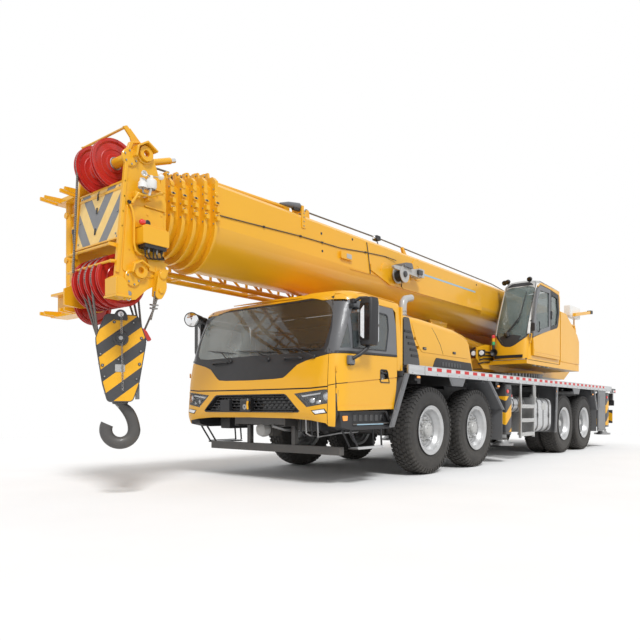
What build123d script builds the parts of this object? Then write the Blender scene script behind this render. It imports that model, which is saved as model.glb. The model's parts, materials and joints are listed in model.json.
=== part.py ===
"""Four-axle truck crane with a six-section telescopic boom.

Frame: +X forward, +Y to the driver's side, +Z up, origin on the ground under the middle of the
overall length. Millimetres. Most places along the vehicle are measured ahead of the first axle.
"""
import os
from math import atan2, cos, degrees, hypot, pi, radians, sin

from build123d import *

# ---------------------------------------------------------------- driving dimensions
OVERALL_LENGTH = 13760
FRONT_OVERHANG = 4390          # first axle to the foremost point of the boom head
WHEELBASES = (1420, 4120, 1350)
DECK_HALF = 1390               # half of the deck width
DECK_TOP = 1480
DECK_PLATE = 40
DECK_FRONT = 740                # front edge of the deck, just behind the cab
FRAME_HALF = 450
FRAME_TOP = 1400
FRAME_BOTTOM = 850
FRAME_WALL = 14
RUN = 5                        # gap between pieces that move past each other
SEAT = 0.3                     # gap between a piece and the seat that carries it
PIN_GAP = 0.06                 # radial gap of a pin in its bore

TYRE_R = 613
TYRE_WIDTH = 315
RIM_R = 345                    # outer flange of the rim
RIM_SEAT_R = 305
TRACK_HALF = 1145              # middle of a single tyre, and of the outer twin
TWIN_PITCH = 351
SPINDLE_R = 60
KINGPIN_Y = 850
KINGPIN_R = 32
STEERED_AXLES = 2

CAB_HALF = 1350
CAB_WALL = 45
CAB_FRONT = 2250               # ahead of the first axle, at the headlights
CAB_REAR = 800
CAB_FLOOR = 940
CAB_ROOF = 2245
RAIL_STEP = 720                # where the rails step down to pass under the cab
ENGINE_HALF = 330
CAB_BUMP = 62                  # extra height of the roof on the driver's side
DOOR_GAP = 6
DOOR_FRONT = 2110              # front edge of the door opening
HINGE_Y = CAB_HALF + 18
HINGE_PIN = 8
HINGE_HEIGHTS = (1080, 1330)
HINGE_LENGTH = 60
DOOR_SHELL = 42

HOOD_HALF = 1170
HOOD_TOP = 2180

SLEW_X = -5250                 # slewing axis, ahead of the first axle
SLEW_R = 850
SLEW_TEETH = 72
SLEW_BASE = 1560
SLEW_RING = 90                 # height of the toothed ring
TABLE_WALL = 25
TABLE_GAP = 60                 # between the boom's side and each cheek of the turntable

BOOM_SECTIONS = 6
BOOM_HALF = 430                # half width of the base section
TABLE_INNER = BOOM_HALF + TABLE_GAP
BOOM_STEP = 30                 # each section is this much smaller all round
BOOM_WALL = 10
BOOM_TOP = 3360
BOOM_BEND = 2880               # height where the flat sides turn into the round belly
BOOM_REAR = -8020
BOOM_FRONT = 3160
COLLAR_PITCH = 120
COLLAR_LENGTH = 42
COLLAR_PROUD = 38
PAD_LENGTH = 60
PIVOT_X = -7400
PIVOT_Z = 2850
PIVOT_R = 75

OP_BASE = 1835                 # underside of the operator's cab
CYLINDER_FOOT = (-5700, 1980)  # luffing cylinder, foot pin on the turntable
CYLINDER_DROP = 150            # from the boom's belly down to the rod's eye
CYLINDER_EYE = (-2300, BOOM_BEND - BOOM_HALF - CYLINDER_DROP)
BARREL_R = 145
ROD_R = 100

HEAD_CHEEK = 385               # inner face of each cheek plate of the boom head
CHEEK_WALL = 25
JIB_PINS = ((3990, 3370), (4050, 2230))   # bosses that take the fly jib's pins
JIB_PIN_R = 32
UPPER_SHEAVE = (4150, 3290)
UPPER_SHEAVE_R = 240
LOWER_SHEAVE = (4120, 2150)
LOWER_SHEAVE_R = 255
SHEAVE_PITCH = 110
AUX_SHEAVE = (4000, 1990)        # single sheave outside the right cheek, clear of the jib's pin
AUX_SHEAVE_R = 200
AUX_AXLE_R = 40
SHEAVE_AXLE_R = 50
ROPE_R = 11
GROOVE_DEPTH = 16

BLOCK_X = 3990
BLOCK_AXLE_Z = 1600
BLOCK_SHEAVE_R = 215
BLOCK_PITCH = 72
BLOCK_YAW = -30
HOOK_BOTTOM = 495

BEAM_WIDTH = 220
BEAM_HEIGHT = 280
BEAM_Z = 1000                  # middle height of the outrigger beams
BEAM_WALL = 14
JACK_R = 75
JACK_HOUSING = 250
JACK_Y = 1240
PAD_BOTTOM = 290
PAD_R = 190
OUTRIGGERS = {"front": -2640, "rear": -8700}

# ---------------------------------------------------------------- places that follow
AXLE1_X = OVERALL_LENGTH / 2 - FRONT_OVERHANG
REAR_END = FRONT_OVERHANG - OVERALL_LENGTH


def ahead(distance):
    """Row x of a point this far ahead of the first axle."""
    return AXLE1_X + distance


AXLES = [0, -WHEELBASES[0], -WHEELBASES[0] - WHEELBASES[1], -sum(WHEELBASES)]
SIDES = {"left": 1, "right": -1}
nodes = {}


# ---------------------------------------------------------------- helpers
def block(x0, x1, y0, y1, z0, z1):
    """Box between two corners; x is measured ahead of the first axle."""
    centre = (ahead((x0 + x1) / 2), (y0 + y1) / 2, (z0 + z1) / 2)
    return Pos(*centre) * Box(abs(x1 - x0), abs(y1 - y0), abs(z1 - z0))


def side_plate(points, y0, y1):
    """Outline of (ahead, height) corners, as thick as from y0 to y1."""
    plane = Plane((0, y0, 0), x_dir=(1, 0, 0), z_dir=(0, -1, 0))
    outline = Polyline(*[(ahead(x), z) for x, z in points], close=True)
    return extrude(plane * make_face(outline), -(y1 - y0))


def cross_plate(points, x0, x1):
    """Outline of (y, height) corners, extruded from x0 to x1."""
    plane = Plane((ahead(x0), 0, 0), x_dir=(0, 1, 0), z_dir=(1, 0, 0))
    return extrude(plane * make_face(Polyline(*points, close=True)), x1 - x0)


def plan_plate(points, z0, z1):
    """Outline of (ahead, y) corners, extruded from z0 to z1."""
    outline = Polyline(*[(ahead(x), y) for x, y in points], close=True)
    return extrude(Plane((0, 0, z0)) * make_face(outline), z1 - z0)


def bar(start, end, radius):
    """Round bar between two points given as (ahead, y, z)."""
    a = Vector(ahead(start[0]), start[1], start[2])
    b = Vector(ahead(end[0]), end[1], end[2])
    plane = Plane(a, z_dir=(b - a).normalized())
    return extrude(plane * Circle(radius), (b - a).length)


def cross_bar(x, z, radius, y0, y1):
    """Round bar along Y."""
    return bar((x, y0, z), (x, y1, z), radius)


def post(x, y, radius, z0, z1):
    """Round bar along Z."""
    return Pos(ahead(x), y, (z0 + z1) / 2) * Cylinder(radius, z1 - z0)


def both_sides(shape):
    """The shape and its mirror image across the middle of the vehicle."""
    return [shape, mirror(shape, about=Plane.XZ)]


def fused(pieces):
    """One shape from several."""
    whole = pieces[0]
    for piece in pieces[1:]:
        whole = whole + piece
    return whole


def wheel_turn(profile, x, y, side, z=TYRE_R):
    """Revolve a (out from y, radius) outline about the axle at height z."""
    plane = Plane((ahead(x), y, z), x_dir=(0, side, 0), z_dir=(side, 0, 0))
    axis = Axis((ahead(x), y, z), (0, 1, 0))
    return revolve(plane * make_face(Polyline(*profile, close=True)), axis)


# ---------------------------------------------------------------- carrier frame
def outrigger_lanes(station):
    """Middle x of the left and the right beam at one station."""
    offset = (BEAM_WIDTH + BEAM_WALL) / 2 + RUN
    return {"left": station + offset, "right": station - offset}


def carrier_frame():
    """Front rails, torsion box, outrigger tubes, tow bar and rear cross member."""
    channel = [(FRAME_HALF, FRAME_BOTTOM + 100), (FRAME_HALF, 1250), (FRAME_HALF - 80, 1250),
               (FRAME_HALF - 80, 1238), (FRAME_HALF - 12, 1238), (FRAME_HALF - 12, FRAME_BOTTOM + 112),
               (FRAME_HALF - 80, FRAME_BOTTOM + 112), (FRAME_HALF - 80, FRAME_BOTTOM + 100)]
    body = both_sides(cross_plate(channel, -1950, RAIL_STEP))
    # behind the cab the rails step down, and run on low under its floor
    low_rail = block(RAIL_STEP - 20, 2050, FRAME_HALF - 80, FRAME_HALF, CAB_FLOOR - 250, CAB_FLOOR - 60)
    low_rail -= block(RAIL_STEP + 20, 2060, FRAME_HALF - 81, FRAME_HALF - 12, CAB_FLOOR - 238, CAB_FLOOR - 72)
    riser = block(RAIL_STEP - 100, RAIL_STEP, FRAME_HALF - 80, FRAME_HALF, CAB_FLOOR - 250, 1250)
    body += both_sides(low_rail + riser)
    box_front, box_rear = -1900, REAR_END + 330
    torsion = block(box_rear, box_front, -FRAME_HALF, FRAME_HALF, FRAME_BOTTOM, FRAME_TOP)
    torsion -= block(box_rear - 1, box_front - FRAME_WALL, -FRAME_HALF + FRAME_WALL,
                     FRAME_HALF - FRAME_WALL, FRAME_BOTTOM + FRAME_WALL, FRAME_TOP - FRAME_WALL)
    body.append(torsion)
    low, high = BEAM_Z - BEAM_HEIGHT / 2 - RUN, BEAM_Z + BEAM_HEIGHT / 2 + RUN
    for station in OUTRIGGERS.values():
        half = BEAM_WIDTH + BEAM_WALL / 2 + 2 * RUN + BEAM_WALL
        reach = JACK_Y - JACK_HOUSING / 2 - 20
        body.append(block(station - half, station + half, -reach, reach,
                          low - BEAM_WALL, high + BEAM_WALL))
    frame = fused(body)
    for station in OUTRIGGERS.values():
        for lane in outrigger_lanes(station).values():
            frame -= block(lane - BEAM_WIDTH / 2 - RUN, lane + BEAM_WIDTH / 2 + RUN,
                           -DECK_HALF, DECK_HALF, low, high)
    # sliding pads above and below each beam at the mouth of its tube
    for station in OUTRIGGERS.values():
        for name, lane in outrigger_lanes(station).items():
            outer = SIDES[name] * (JACK_Y - JACK_HOUSING / 2 - 20)
            for z0, z1 in ((low - 5, low + RUN - SEAT), (high - RUN + SEAT, high + 5)):
                frame += block(lane - 70, lane + 70, outer - SIDES[name] * 90, outer, z0, z1)
    # cross members and cab carriers between the front rails
    cab_seat = CAB_FLOOR - 50 - SEAT
    extras = [block(1960, 2050, -FRAME_HALF, FRAME_HALF, CAB_FLOOR - 230, CAB_FLOOR - 80),
              block(RAIL_STEP - 100, RAIL_STEP, -FRAME_HALF, FRAME_HALF, 950, 1030),
              block(-1500, -1420, -FRAME_HALF, FRAME_HALF, 950, 1030),
              block(1780, 1860, -1150, 1150, 358, 458)]
    extras += both_sides(block(1790, 1850, 370, 430, 458, CAB_FLOOR - 240))
    for x in (1180, 1800):
        extras += both_sides(block(x, x + 100, FRAME_HALF - 20, 760, CAB_FLOOR - 90, cab_seat))
        extras += both_sides(block(x, x + 100, FRAME_HALF - 80, FRAME_HALF, CAB_FLOOR - 100, cab_seat))
    # engine mounts
    for x in (-950, 60):
        extras += both_sides(block(x, x + 90, ENGINE_HALF + SEAT, FRAME_HALF - 10, 1000, 1060))
    # rear cross member with lamp boxes
    rear = block(REAR_END, REAR_END + 90, -1300, 1300, 1150, 1330)
    rear += block(REAR_END, REAR_END + 345, -FRAME_HALF, FRAME_HALF, 1150, FRAME_TOP)
    extras.append(rear)
    return fused([frame] + extras)


def deck():
    """Chequer-plate deck over the frame, open over the engine and round the slewing pedestal."""
    low = DECK_TOP - DECK_PLATE
    half = DECK_HALF - 26
    plate = block(REAR_END + 350, DECK_FRONT, -half, half, low, DECK_TOP)
    plate -= block(-1500, 450, -620, 620, low - 1, DECK_TOP + 1)
    plate -= post(SLEW_X, 0, SLEW_R + 105, low - 1, DECK_TOP + 1)
    plate = fillet(plate.edges().filter_by(Axis.Z).group_by(Axis.X)[0], 200)
    bearers = [block(x, x + 80, -half + 60, half - 60, FRAME_TOP, low)
               for x in (-1830, -3300, -6600, -7900)]
    bearers += [side for x in (300, -600)
                for side in both_sides(block(x, x + 80, FRAME_HALF - 60, half - 60, 1250, low))]
    return fused([plate] + bearers)


def ladder(x0, x1, side):
    """Hanging access ladder with three wide treads."""
    y = side * (DECK_HALF - 18)
    pieces = []
    for x in (x0, x1):
        pieces.append(block(x - 14, x + 14, y - side * 30, y + side * 12, 400, DECK_TOP - 115 - SEAT))
    for height in (450, 700, 950):
        pieces.append(block(x0, x1, y - side * 60, y + side * 14, height, height + 40))
    return fused(pieces)


def deck_edging():
    """Aluminium edge strips of the deck, with the ladders that hang from them."""
    pieces = []
    for side in SIDES.values():
        outer, inner = side * DECK_HALF, side * (DECK_HALF - 26)
        strip = block(REAR_END + 560, DECK_FRONT, inner, outer, DECK_TOP - 115, DECK_TOP)
        strip -= block(REAR_END + 550, DECK_FRONT + 5, side * (DECK_HALF - 6), outer + side,
                       DECK_TOP - 85, DECK_TOP - 35)
        strip += block(REAR_END + 560, DECK_FRONT, side * (DECK_HALF - 80), inner,
                       DECK_TOP - 115, DECK_TOP - 103)
        pieces += [strip, ladder(-3640, -3020, side)]
    return pieces


def fender_leg(top, foot, side, width=130):
    """Folded leg: a strip across the wheel and a flange along the outside."""
    (x0, z0), (x1, z1) = top, foot
    step = 12 if x1 > x0 else -12
    outer = side * (DECK_HALF - 6)
    outline = [(x0, z0), (x1, z1), (x1 + step, z1), (x0 + step, z0)]
    strip = side_plate(outline, side * 960, outer)
    reach = width if x1 > x0 else -width
    flange = side_plate([(x0, z0), (x1, z1), (x1 + reach, z1), (x0 + reach, z0)],
                        outer - side * 12, outer)
    return strip + flange


def fenders():
    """Legs, middle flaps, mud flaps and rear side skirts round the wheels."""
    top = DECK_TOP - DECK_PLATE
    pieces = []
    for side in SIDES.values():
        low_edge = DECK_TOP - 115
        # front legs and rear legs: (top x, foot x, foot z)
        for x0, x1, z1 in ((700, 1060, 680), (-1640, -2195, 900), (-4935, -4850, 450),
                           (-7360, -7560, 900)):
            leg = fender_leg((x0, low_edge), (x1, z1), side, 110)
            leg += block(x0 - 40, x0 + 40, side * 960, side * (DECK_HALF - 90), low_edge - 30, top)
            pieces.append(leg)
        for x0 in (-2207, -7572):
            pieces.append(block(x0, x0 + 12, side * 960, side * (DECK_HALF - 6), 400, 905))
        for middle in (-610, -6080):
            flap = [(middle - 260, low_edge), (middle + 260, low_edge),
                    (middle + 170, 1240), (middle - 170, 1240)]
            pieces.append(side_plate(flap, side * (DECK_HALF - 14), side * (DECK_HALF - 2)))
        skirt = block(-8330, -7700, side * (DECK_HALF - 30), side * (DECK_HALF - 6), 400, low_edge)
        skirt += block(-8330, -7700, side * 470, side * (DECK_HALF - 30), low_edge - 12, low_edge)
        skirt += block(-8060, -7980, side * 470, side * 560, low_edge - 12, top)
        pieces.append(skirt)
    return pieces


def axles():
    """Two steered beams with king-pin eyes and two driven housings, all on springs."""
    pieces = []
    spring_y = FRAME_HALF + 75
    for number, x in enumerate(AXLES):
        steered = number < STEERED_AXLES
        if steered:
            beam = block(x - 55, x + 55, -KINGPIN_Y + 60, KINGPIN_Y - 60, TYRE_R - 75, TYRE_R + 45)
            beam = chamfer(beam.edges().filter_by(Axis.Y), 18)
            for side in SIDES.values():
                beam += post(x, side * KINGPIN_Y, 72, TYRE_R - 75, TYRE_R + 75)
                beam -= post(x, side * KINGPIN_Y, KINGPIN_R + PIN_GAP, TYRE_R - 80, TYRE_R + 80)
        else:
            beam = cross_bar(x, TYRE_R, 95, -560, 560)
            beam += Pos(ahead(x), 0, TYRE_R) * Sphere(235)
            beam += cross_bar(x, TYRE_R, SPINDLE_R, -TRACK_HALF - 60, TRACK_HALF + 60)
        inner = spring_y if steered else spring_y - 18
        for side in SIDES.values():
            y0, y1 = side * (inner - 45), side * (inner + 45)
            beam += block(x - 90, x + 90, y0, y1, TYRE_R - 95, TYRE_R + 110)
            leaf_low, leaf_high = TYRE_R + 95, TYRE_R + 150
            leaves = [(x - 560, leaf_high + 120), (x - 300, leaf_low + 55), (x, leaf_low),
                      (x + 300, leaf_low + 55), (x + 560, leaf_high + 120),
                      (x + 560, leaf_high + 150), (x + 300, leaf_high + 50), (x, leaf_high + 25),
                      (x - 300, leaf_high + 50), (x - 560, leaf_high + 150)]
            beam += side_plate(leaves, y0, y1)
            for end in (x - 560, x + 560):
                beam += block(end - 30, end + 30, y0, y1, leaf_high + 110, leaf_high + 240)
                beam += block(end - 30, end + 30, side * FRAME_HALF, y1,
                              leaf_high + 180, leaf_high + 240)
        pieces.append(beam)
    shaft = cross_member_shaft()
    return pieces + [shaft]


def cross_member_shaft():
    """Propeller shaft between the two driven axles and on to the gearbox."""
    rear = bar((AXLES[3] + 200, 0, TYRE_R), (AXLES[2] - 200, 0, TYRE_R), 60)
    front = bar((AXLES[2] + 200, 0, TYRE_R), (-1700, 0, 800), 60)
    return rear + front


def side_tanks():
    """Fuel tank on the left, hydraulic tank on the right, air tanks behind the ladders."""
    pieces = []
    for side in SIDES.values():
        inner, outer = side * 900, side * (DECK_HALF - 22)
        tank = block(-4560, -3700, inner, outer, 480, 1130)
        tank = fillet(tank.edges().filter_by(Axis.X).group_by(Axis.Y)[-1 if side > 0 else 0], 150)
        tank = fillet(tank.edges().filter_by(Axis.X).group_by(Axis.Y)[0 if side > 0 else -1], 40)
        tank += post(-3950, side * 1230, 55, 1120, 1175)
        for x in (-4420, -3840):
            tank += block(x - 30, x + 30, side * FRAME_HALF, inner, 950, 1010)
            tank += block(x - 30, x + 30, side * 870, inner + side * 10, 520, 1010)
        pieces.append(tank)
        air = bar((-3560, side * 1080, 1000), (-2980, side * 1080, 1000), 150)
        air += block(-3300, -3240, side * FRAME_HALF, side * 950, 960, 1030)
        pieces.append(air)
    return pieces


def slewing_ring():
    """Pedestal and outer ring of the slewing bearing, with its teeth."""
    pedestal = post(SLEW_X, 0, SLEW_R + 95, FRAME_TOP, FRAME_TOP + 30)
    pedestal += post(SLEW_X, 0, SLEW_R - 20, FRAME_TOP, SLEW_BASE)
    pedestal -= post(SLEW_X, 0, SLEW_R - 120, FRAME_TOP - 1, SLEW_BASE + 1)
    corners = []
    for tooth in range(SLEW_TEETH):
        for share, radius in ((-0.27, SLEW_R), (-0.13, SLEW_R + 38), (0.13, SLEW_R + 38), (0.27, SLEW_R)):
            angle = 2 * pi * (tooth + share) / SLEW_TEETH
            corners.append((SLEW_X + radius * cos(angle), radius * sin(angle)))
    gear = plan_plate(corners, SLEW_BASE, SLEW_BASE + SLEW_RING)
    gear -= post(SLEW_X, 0, SLEW_R - 120, SLEW_BASE - 1, SLEW_BASE + SLEW_RING + 1)
    return pedestal + gear


def engine():
    """Engine and gearbox as one plain mass between the rails."""
    return block(-1250, 350, -ENGINE_HALF, ENGINE_HALF, 760, 1650)


def engine_hood():
    """Sloping cover over the engine, open below, with its black front frame."""
    outline = [(520, DECK_TOP), (520, HOOD_TOP - 40), (470, HOOD_TOP), (40, HOOD_TOP),
               (-900, HOOD_TOP - 50), (-1250, HOOD_TOP - 100), (-1400, HOOD_TOP - 260), (-1560, DECK_TOP)]
    hood = side_plate(outline, -HOOD_HALF, HOOD_HALF)
    hood = fillet(hood.edges().filter_by(Axis.X).group_by(Axis.Z)[-1], 90)
    inner = [(480, DECK_TOP - 1), (480, HOOD_TOP - 80), (30, HOOD_TOP - 45), (-890, HOOD_TOP - 95),
             (-1220, HOOD_TOP - 145), (-1360, HOOD_TOP - 280), (-1510, DECK_TOP - 1)]
    hood -= side_plate(inner, -HOOD_HALF + 40, HOOD_HALF - 40)
    # louvre slots in the sides, behind the cab
    for side in SIDES.values():
        for height in (1620, 1740, 1860, 1980):
            hood -= block(120, 240, side * (HOOD_HALF - 60), side * (HOOD_HALF + 5), height, height + 40)
    return hood


# ---------------------------------------------------------------- driver's cab
def cab_form(inset):
    """The cab's closed form, drawn in by inset on every side."""
    i = inset
    side = [(CAB_REAR + i, 1400), (CAB_REAR + i, CAB_ROOF + 100), (1870 - i * 0.4, CAB_ROOF + 100),
            (1930 - i, CAB_ROOF - 55 - i * 0.3), (CAB_FRONT - 30 - i, 1500), (CAB_FRONT - i, 1250),
            (CAB_FRONT + 10 - i, 900), (CAB_FRONT - 40 - i, 785 + i), (2105 + i, 780 + i),
            (2105 + i, CAB_FLOOR - 50 + i), (995 + i, CAB_FLOOR - 50 + i)]
    body = side_plate(side, -CAB_HALF + i, CAB_HALF - i)
    bump = CAB_ROOF + CAB_BUMP
    roof = [(-CAB_HALF + 90 + i, CAB_ROOF - 25 - i), (-CAB_HALF + i, CAB_ROOF - 160), (-CAB_HALF + i, 600),
            (CAB_HALF - i, 600), (CAB_HALF - i, bump - 160), (CAB_HALF - 90 - i, bump - 10 - i),
            (CAB_HALF - 300, bump - i), (720, bump - i), (520, CAB_ROOF + 5 - i), (0, CAB_ROOF - i),
            (-CAB_HALF + 350, CAB_ROOF - 5 - i)]
    body = body & cross_plate(roof, CAB_REAR - 50, CAB_FRONT + 100)
    w, f = CAB_HALF - i, CAB_FRONT + 10 - i
    plan = [(CAB_REAR - 10, -w), (CAB_REAR - 10, w), (f - 230, w), (f - 115, w - 50), (f - 45, w - 170),
            (f - 12, w - 420), (f, w - 900), (f, -w + 900), (f - 12, -w + 420), (f - 45, -w + 170),
            (f - 115, -w + 50), (f - 230, -w)]
    return body & plan_plate(plan, 500, CAB_ROOF + 300)


def screen_outline(gap):
    """Windscreen opening as (y, z) corners, drawn in by gap."""
    g = gap
    half = [(1150 - g, 1560 + g), (1240 - g, 2060), (1120 - g, 2150 - g)]
    return half + [(-y, z) for y, z in reversed(half)]


def rear_window(gap):
    """Rear window opening as (y, z) corners, drawn in by gap."""
    g = gap
    return [(-900 + g, 1750 + g), (-900 + g, 2080 - g), (900 - g, 2080 - g), (900 - g, 1750 + g)]


def door_outline(gap):
    """Corners of the door opening, drawn in by gap."""
    g = gap
    return [(DOOR_FRONT - g, CAB_FLOOR + 10 + g), (DOOR_FRONT - g, 1560), (1890 - g, 2125 - g),
            (1010 + g, 2140 - g), (960 + g, 2080 - g), (960 + g, 1420), (1060 + g, CAB_FLOOR + 10 + g)]


def window_outline(gap):
    """Corners of the door's window."""
    g = gap
    return [(1925 - g, 1570 + g), (1825 - g, 2060 - g), (1100 + g, 2070 - g), (1065 + g, 1900),
            (1160 + g, 1600 + g)]


def hinge_pins(side):
    """Door hinge pins with the leaves that hold them on the front pillar."""
    pieces = []
    x, y = DOOR_FRONT + 4, side * HINGE_Y
    for z in HINGE_HEIGHTS:
        top = z + HINGE_LENGTH
        pin = post(x, y, HINGE_PIN, z - 14, top + 14)
        for low in (z - 14, top + 4):
            pin += block(x - 8, x + 50, side * (CAB_HALF + 3), side * (HINGE_Y + 10), low, low + 10)
            pin += block(x + 16, x + 50, side * (CAB_HALF - 85), side * (CAB_HALF + 4), low, low + 10)
        pieces.append(pin)
    return pieces


def driver_cab():
    """Hollow cab: shell with windscreen, door and rear window openings, grille and lamp pockets."""
    shell = cab_form(0) - cab_form(CAB_WALL)
    shell -= cross_plate(screen_outline(0), 1650, CAB_FRONT + 60)
    shell -= cross_plate(rear_window(0), CAB_REAR - 5, CAB_REAR + 80)
    for side in SIDES.values():
        shell -= side_plate(door_outline(0), side * 1130, side * (CAB_HALF + 5))
    # grille mouth and lamp pockets, sunk into the front wall
    grille = [(-560, 1075), (560, 1075), (800, 850), (-800, 850)]
    shell -= cross_plate(grille, CAB_FRONT - 18, CAB_FRONT + 60)
    for side in SIDES.values():
        lamp = [(side * 780, 1090), (side * 1290, 1140), (side * 1300, 985), (side * 980, 930)]
        shell -= cross_plate(lamp, CAB_FRONT - 160, CAB_FRONT + 60) - cab_form(28)
        shell = fused([shell] + hinge_pins(side))
    return shell


def cab_glass():
    """Windscreen and rear window, each a curved pane set just inside its opening."""
    skin = cab_form(10) - cab_form(18)
    pane = skin & cross_plate(screen_outline(SEAT), 1650, CAB_FRONT + 60)
    rear = skin & cross_plate(rear_window(SEAT), CAB_REAR, CAB_REAR + 60)
    return [pane, rear]


def cab_interior():
    """Two seats, dashboard, steering column and wheel."""
    floor = CAB_FLOOR - 50 + CAB_WALL + SEAT
    pieces = []
    for y in (780, -780):
        seat = block(1180, 1420, y - 170, y + 170, floor, floor + 180)
        cushion = fillet(block(1080, 1580, y - 250, y + 250, floor + 180, floor + 330).edges(), 40)
        back = fillet(side_plate([(1150, floor + 290), (1030, floor + 850), (920, floor + 850),
                                  (1000, floor + 290)], y - 240, y + 240).edges().filter_by(Axis.Y), 30)
        head = fillet(block(930, 1030, y - 130, y + 130, floor + 840, floor + 1010).edges(), 35)
        pieces.append(seat + cushion + back + head)
    dash = side_plate([(1950, floor), (2040, floor), (2150, 1400), (2120, 1500), (1900, 1480),
                       (1780, 1330), (1800, 1230), (1950, 1150)], -1130, 1130)
    column = bar((1860, 780, 1380), (1700, 780, 1560), 35)
    wheel_plane = Plane((ahead(1690), 780, 1570), z_dir=Vector(-160, 0, 180).normalized())
    rim = wheel_plane * Torus(210, 16)
    spokes = [wheel_plane * Rot(0, 0, turn) * Pos(105, 0, 0) * Box(210, 34, 14) for turn in (0, 120, 240)]
    hub = wheel_plane * Cylinder(48, 40)
    pieces.append(fused([dash, column, rim, hub] + spokes))
    return pieces


def cab_door(side):
    """Door that follows the cab's form, with its window, handle recess, hinges and mirror."""
    skin = cab_form(0) - cab_form(DOOR_SHELL)
    door = skin & side_plate(door_outline(DOOR_GAP), side * 1130, side * (CAB_HALF + 5))
    door -= side_plate(window_outline(0), side * 1130, side * (CAB_HALF + 5))
    recess = [(1130, 1210), (1160, 1340), (1290, 1340), (1290, 1210)]
    door -= side_plate(recess, side * (CAB_HALF - 22), side * (CAB_HALF + 5))
    pieces = [door, door_mirror(side)]
    x, y = DOOR_FRONT + 4, side * HINGE_Y
    for z in HINGE_HEIGHTS:
        knuckle_ring = post(x, y, HINGE_PIN + 7, z, z + HINGE_LENGTH)
        knuckle_ring += block(x - 80, x - 9, side * (CAB_HALF - 45), side * (HINGE_Y - 4), z, z + HINGE_LENGTH)
        pieces.append(knuckle_ring)
    whole = fused(pieces)
    for z in HINGE_HEIGHTS:
        whole -= post(x, y, HINGE_PIN + PIN_GAP, z - 5, z + HINGE_LENGTH + 5)
    return whole


def door_mirror(side):
    """Tall mirror housing with its two arms and their brackets on the door."""
    y = side * 1510
    housing = block(1690, 1810, y - side * 90, y + side * 90, 1640, 2160)
    housing = fillet(housing.edges(), 40)
    upper = bar((1760, y, 2110), (1845, side * 1355, 2086), 14)
    lower = bar((1760, y, 1670), (1940, side * 1380, 1470), 22)
    foot = block(1890, 1985, side * (CAB_HALF - 4), side * 1400, 1430, 1520)
    top_foot = block(1820, 1870, side * (CAB_HALF - 60), side * 1370, 2068, 2100)
    return fused([housing, upper, lower, foot, top_foot])


# ---------------------------------------------------------------- wheels
def tyre_profile():
    """Half section of a tyre as (out from its middle, radius)."""
    w, bead = TYRE_WIDTH / 2, RIM_SEAT_R
    return [(-w + 35, bead), (-w + 12, bead + 45), (-w, TYRE_R - 160), (-w + 12, TYRE_R - 45),
            (-w + 42, TYRE_R), (w - 42, TYRE_R), (w - 12, TYRE_R - 45), (w, TYRE_R - 160),
            (w - 12, bead + 45), (w - 35, bead)]


def rim_profile(dish):
    """Section of a rim as (out from the tyre's middle, radius); dish is where its disc sits."""
    half = TYRE_WIDTH / 2 - 23
    seat = RIM_SEAT_R - SEAT
    return [(-half, seat), (-half - 10, RIM_R), (-half - 22, RIM_R), (-half - 22, seat - 12),
            (dish - 30, seat - 45), (dish - 30, 190), (dish + 10, 150), (dish + 10, SPINDLE_R + PIN_GAP),
            (dish + 95, SPINDLE_R + PIN_GAP), (dish + 95, 118), (dish + 28, 150), (dish - 10, 200),
            (dish - 10, seat - 45), (half - 6, seat - 24), (half + 8, RIM_R - 8), (half + 20, RIM_R),
            (half + 10, RIM_R), (half, seat)]


def tyre(x, side, twins):
    """One tyre, or a twin pair, on one side of an axle."""
    places = [TRACK_HALF] + ([TRACK_HALF - TWIN_PITCH] if twins else [])
    return [wheel_turn(tyre_profile(), x, side * y, side) for y in places]


def rim(x, side, twins):
    """Disc wheel with hand holes and hub, doubled for a twin pair."""
    dish = -95 if twins else 15
    wheel = wheel_turn(rim_profile(dish), x, side * TRACK_HALF, side)
    if twins:
        middle = side * (TRACK_HALF - TWIN_PITCH / 2)
        back = mirror(wheel, about=Plane((0, middle, 0), z_dir=(0, 1, 0)))
        bore, reach = SPINDLE_R + PIN_GAP, TWIN_PITCH / 2 + dish + 20
        sleeve = wheel_turn([(-reach, bore), (-reach, 130), (reach, 130), (reach, bore)], x, middle, side)
        wheel = wheel + back + sleeve
    holes = []
    for index in range(10):
        angle = 2 * pi * index / 10
        px, pz = x + 232 * cos(angle), TYRE_R + 232 * sin(angle)
        holes.append(cross_bar(px, pz, 24, side * 600, side * 1400))
    return wheel - holes


def knuckle(x, side):
    """Steering knuckle: king pin through the beam's eye, fork, and the wheel's spindle."""
    y = side * KINGPIN_Y
    pin = post(x, y, KINGPIN_R, TYRE_R - 125, TYRE_R + 125)
    fork = block(x - 55, x + 55, y - side * 50, side * 930, TYRE_R + 80, TYRE_R + 135)
    fork += block(x - 55, x + 55, y - side * 50, side * 930, TYRE_R - 135, TYRE_R - 80)
    fork += block(x - 90, x + 90, side * 928, side * 965, TYRE_R - 135, TYRE_R + 135)
    spindle = cross_bar(x, TYRE_R, SPINDLE_R, side * 960, side * (TRACK_HALF + 60))
    arm = block(x - 190, x - 50, side * 780, side * 930, TYRE_R - 130, TYRE_R - 95)
    return fused([pin, fork, spindle, arm])


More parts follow.
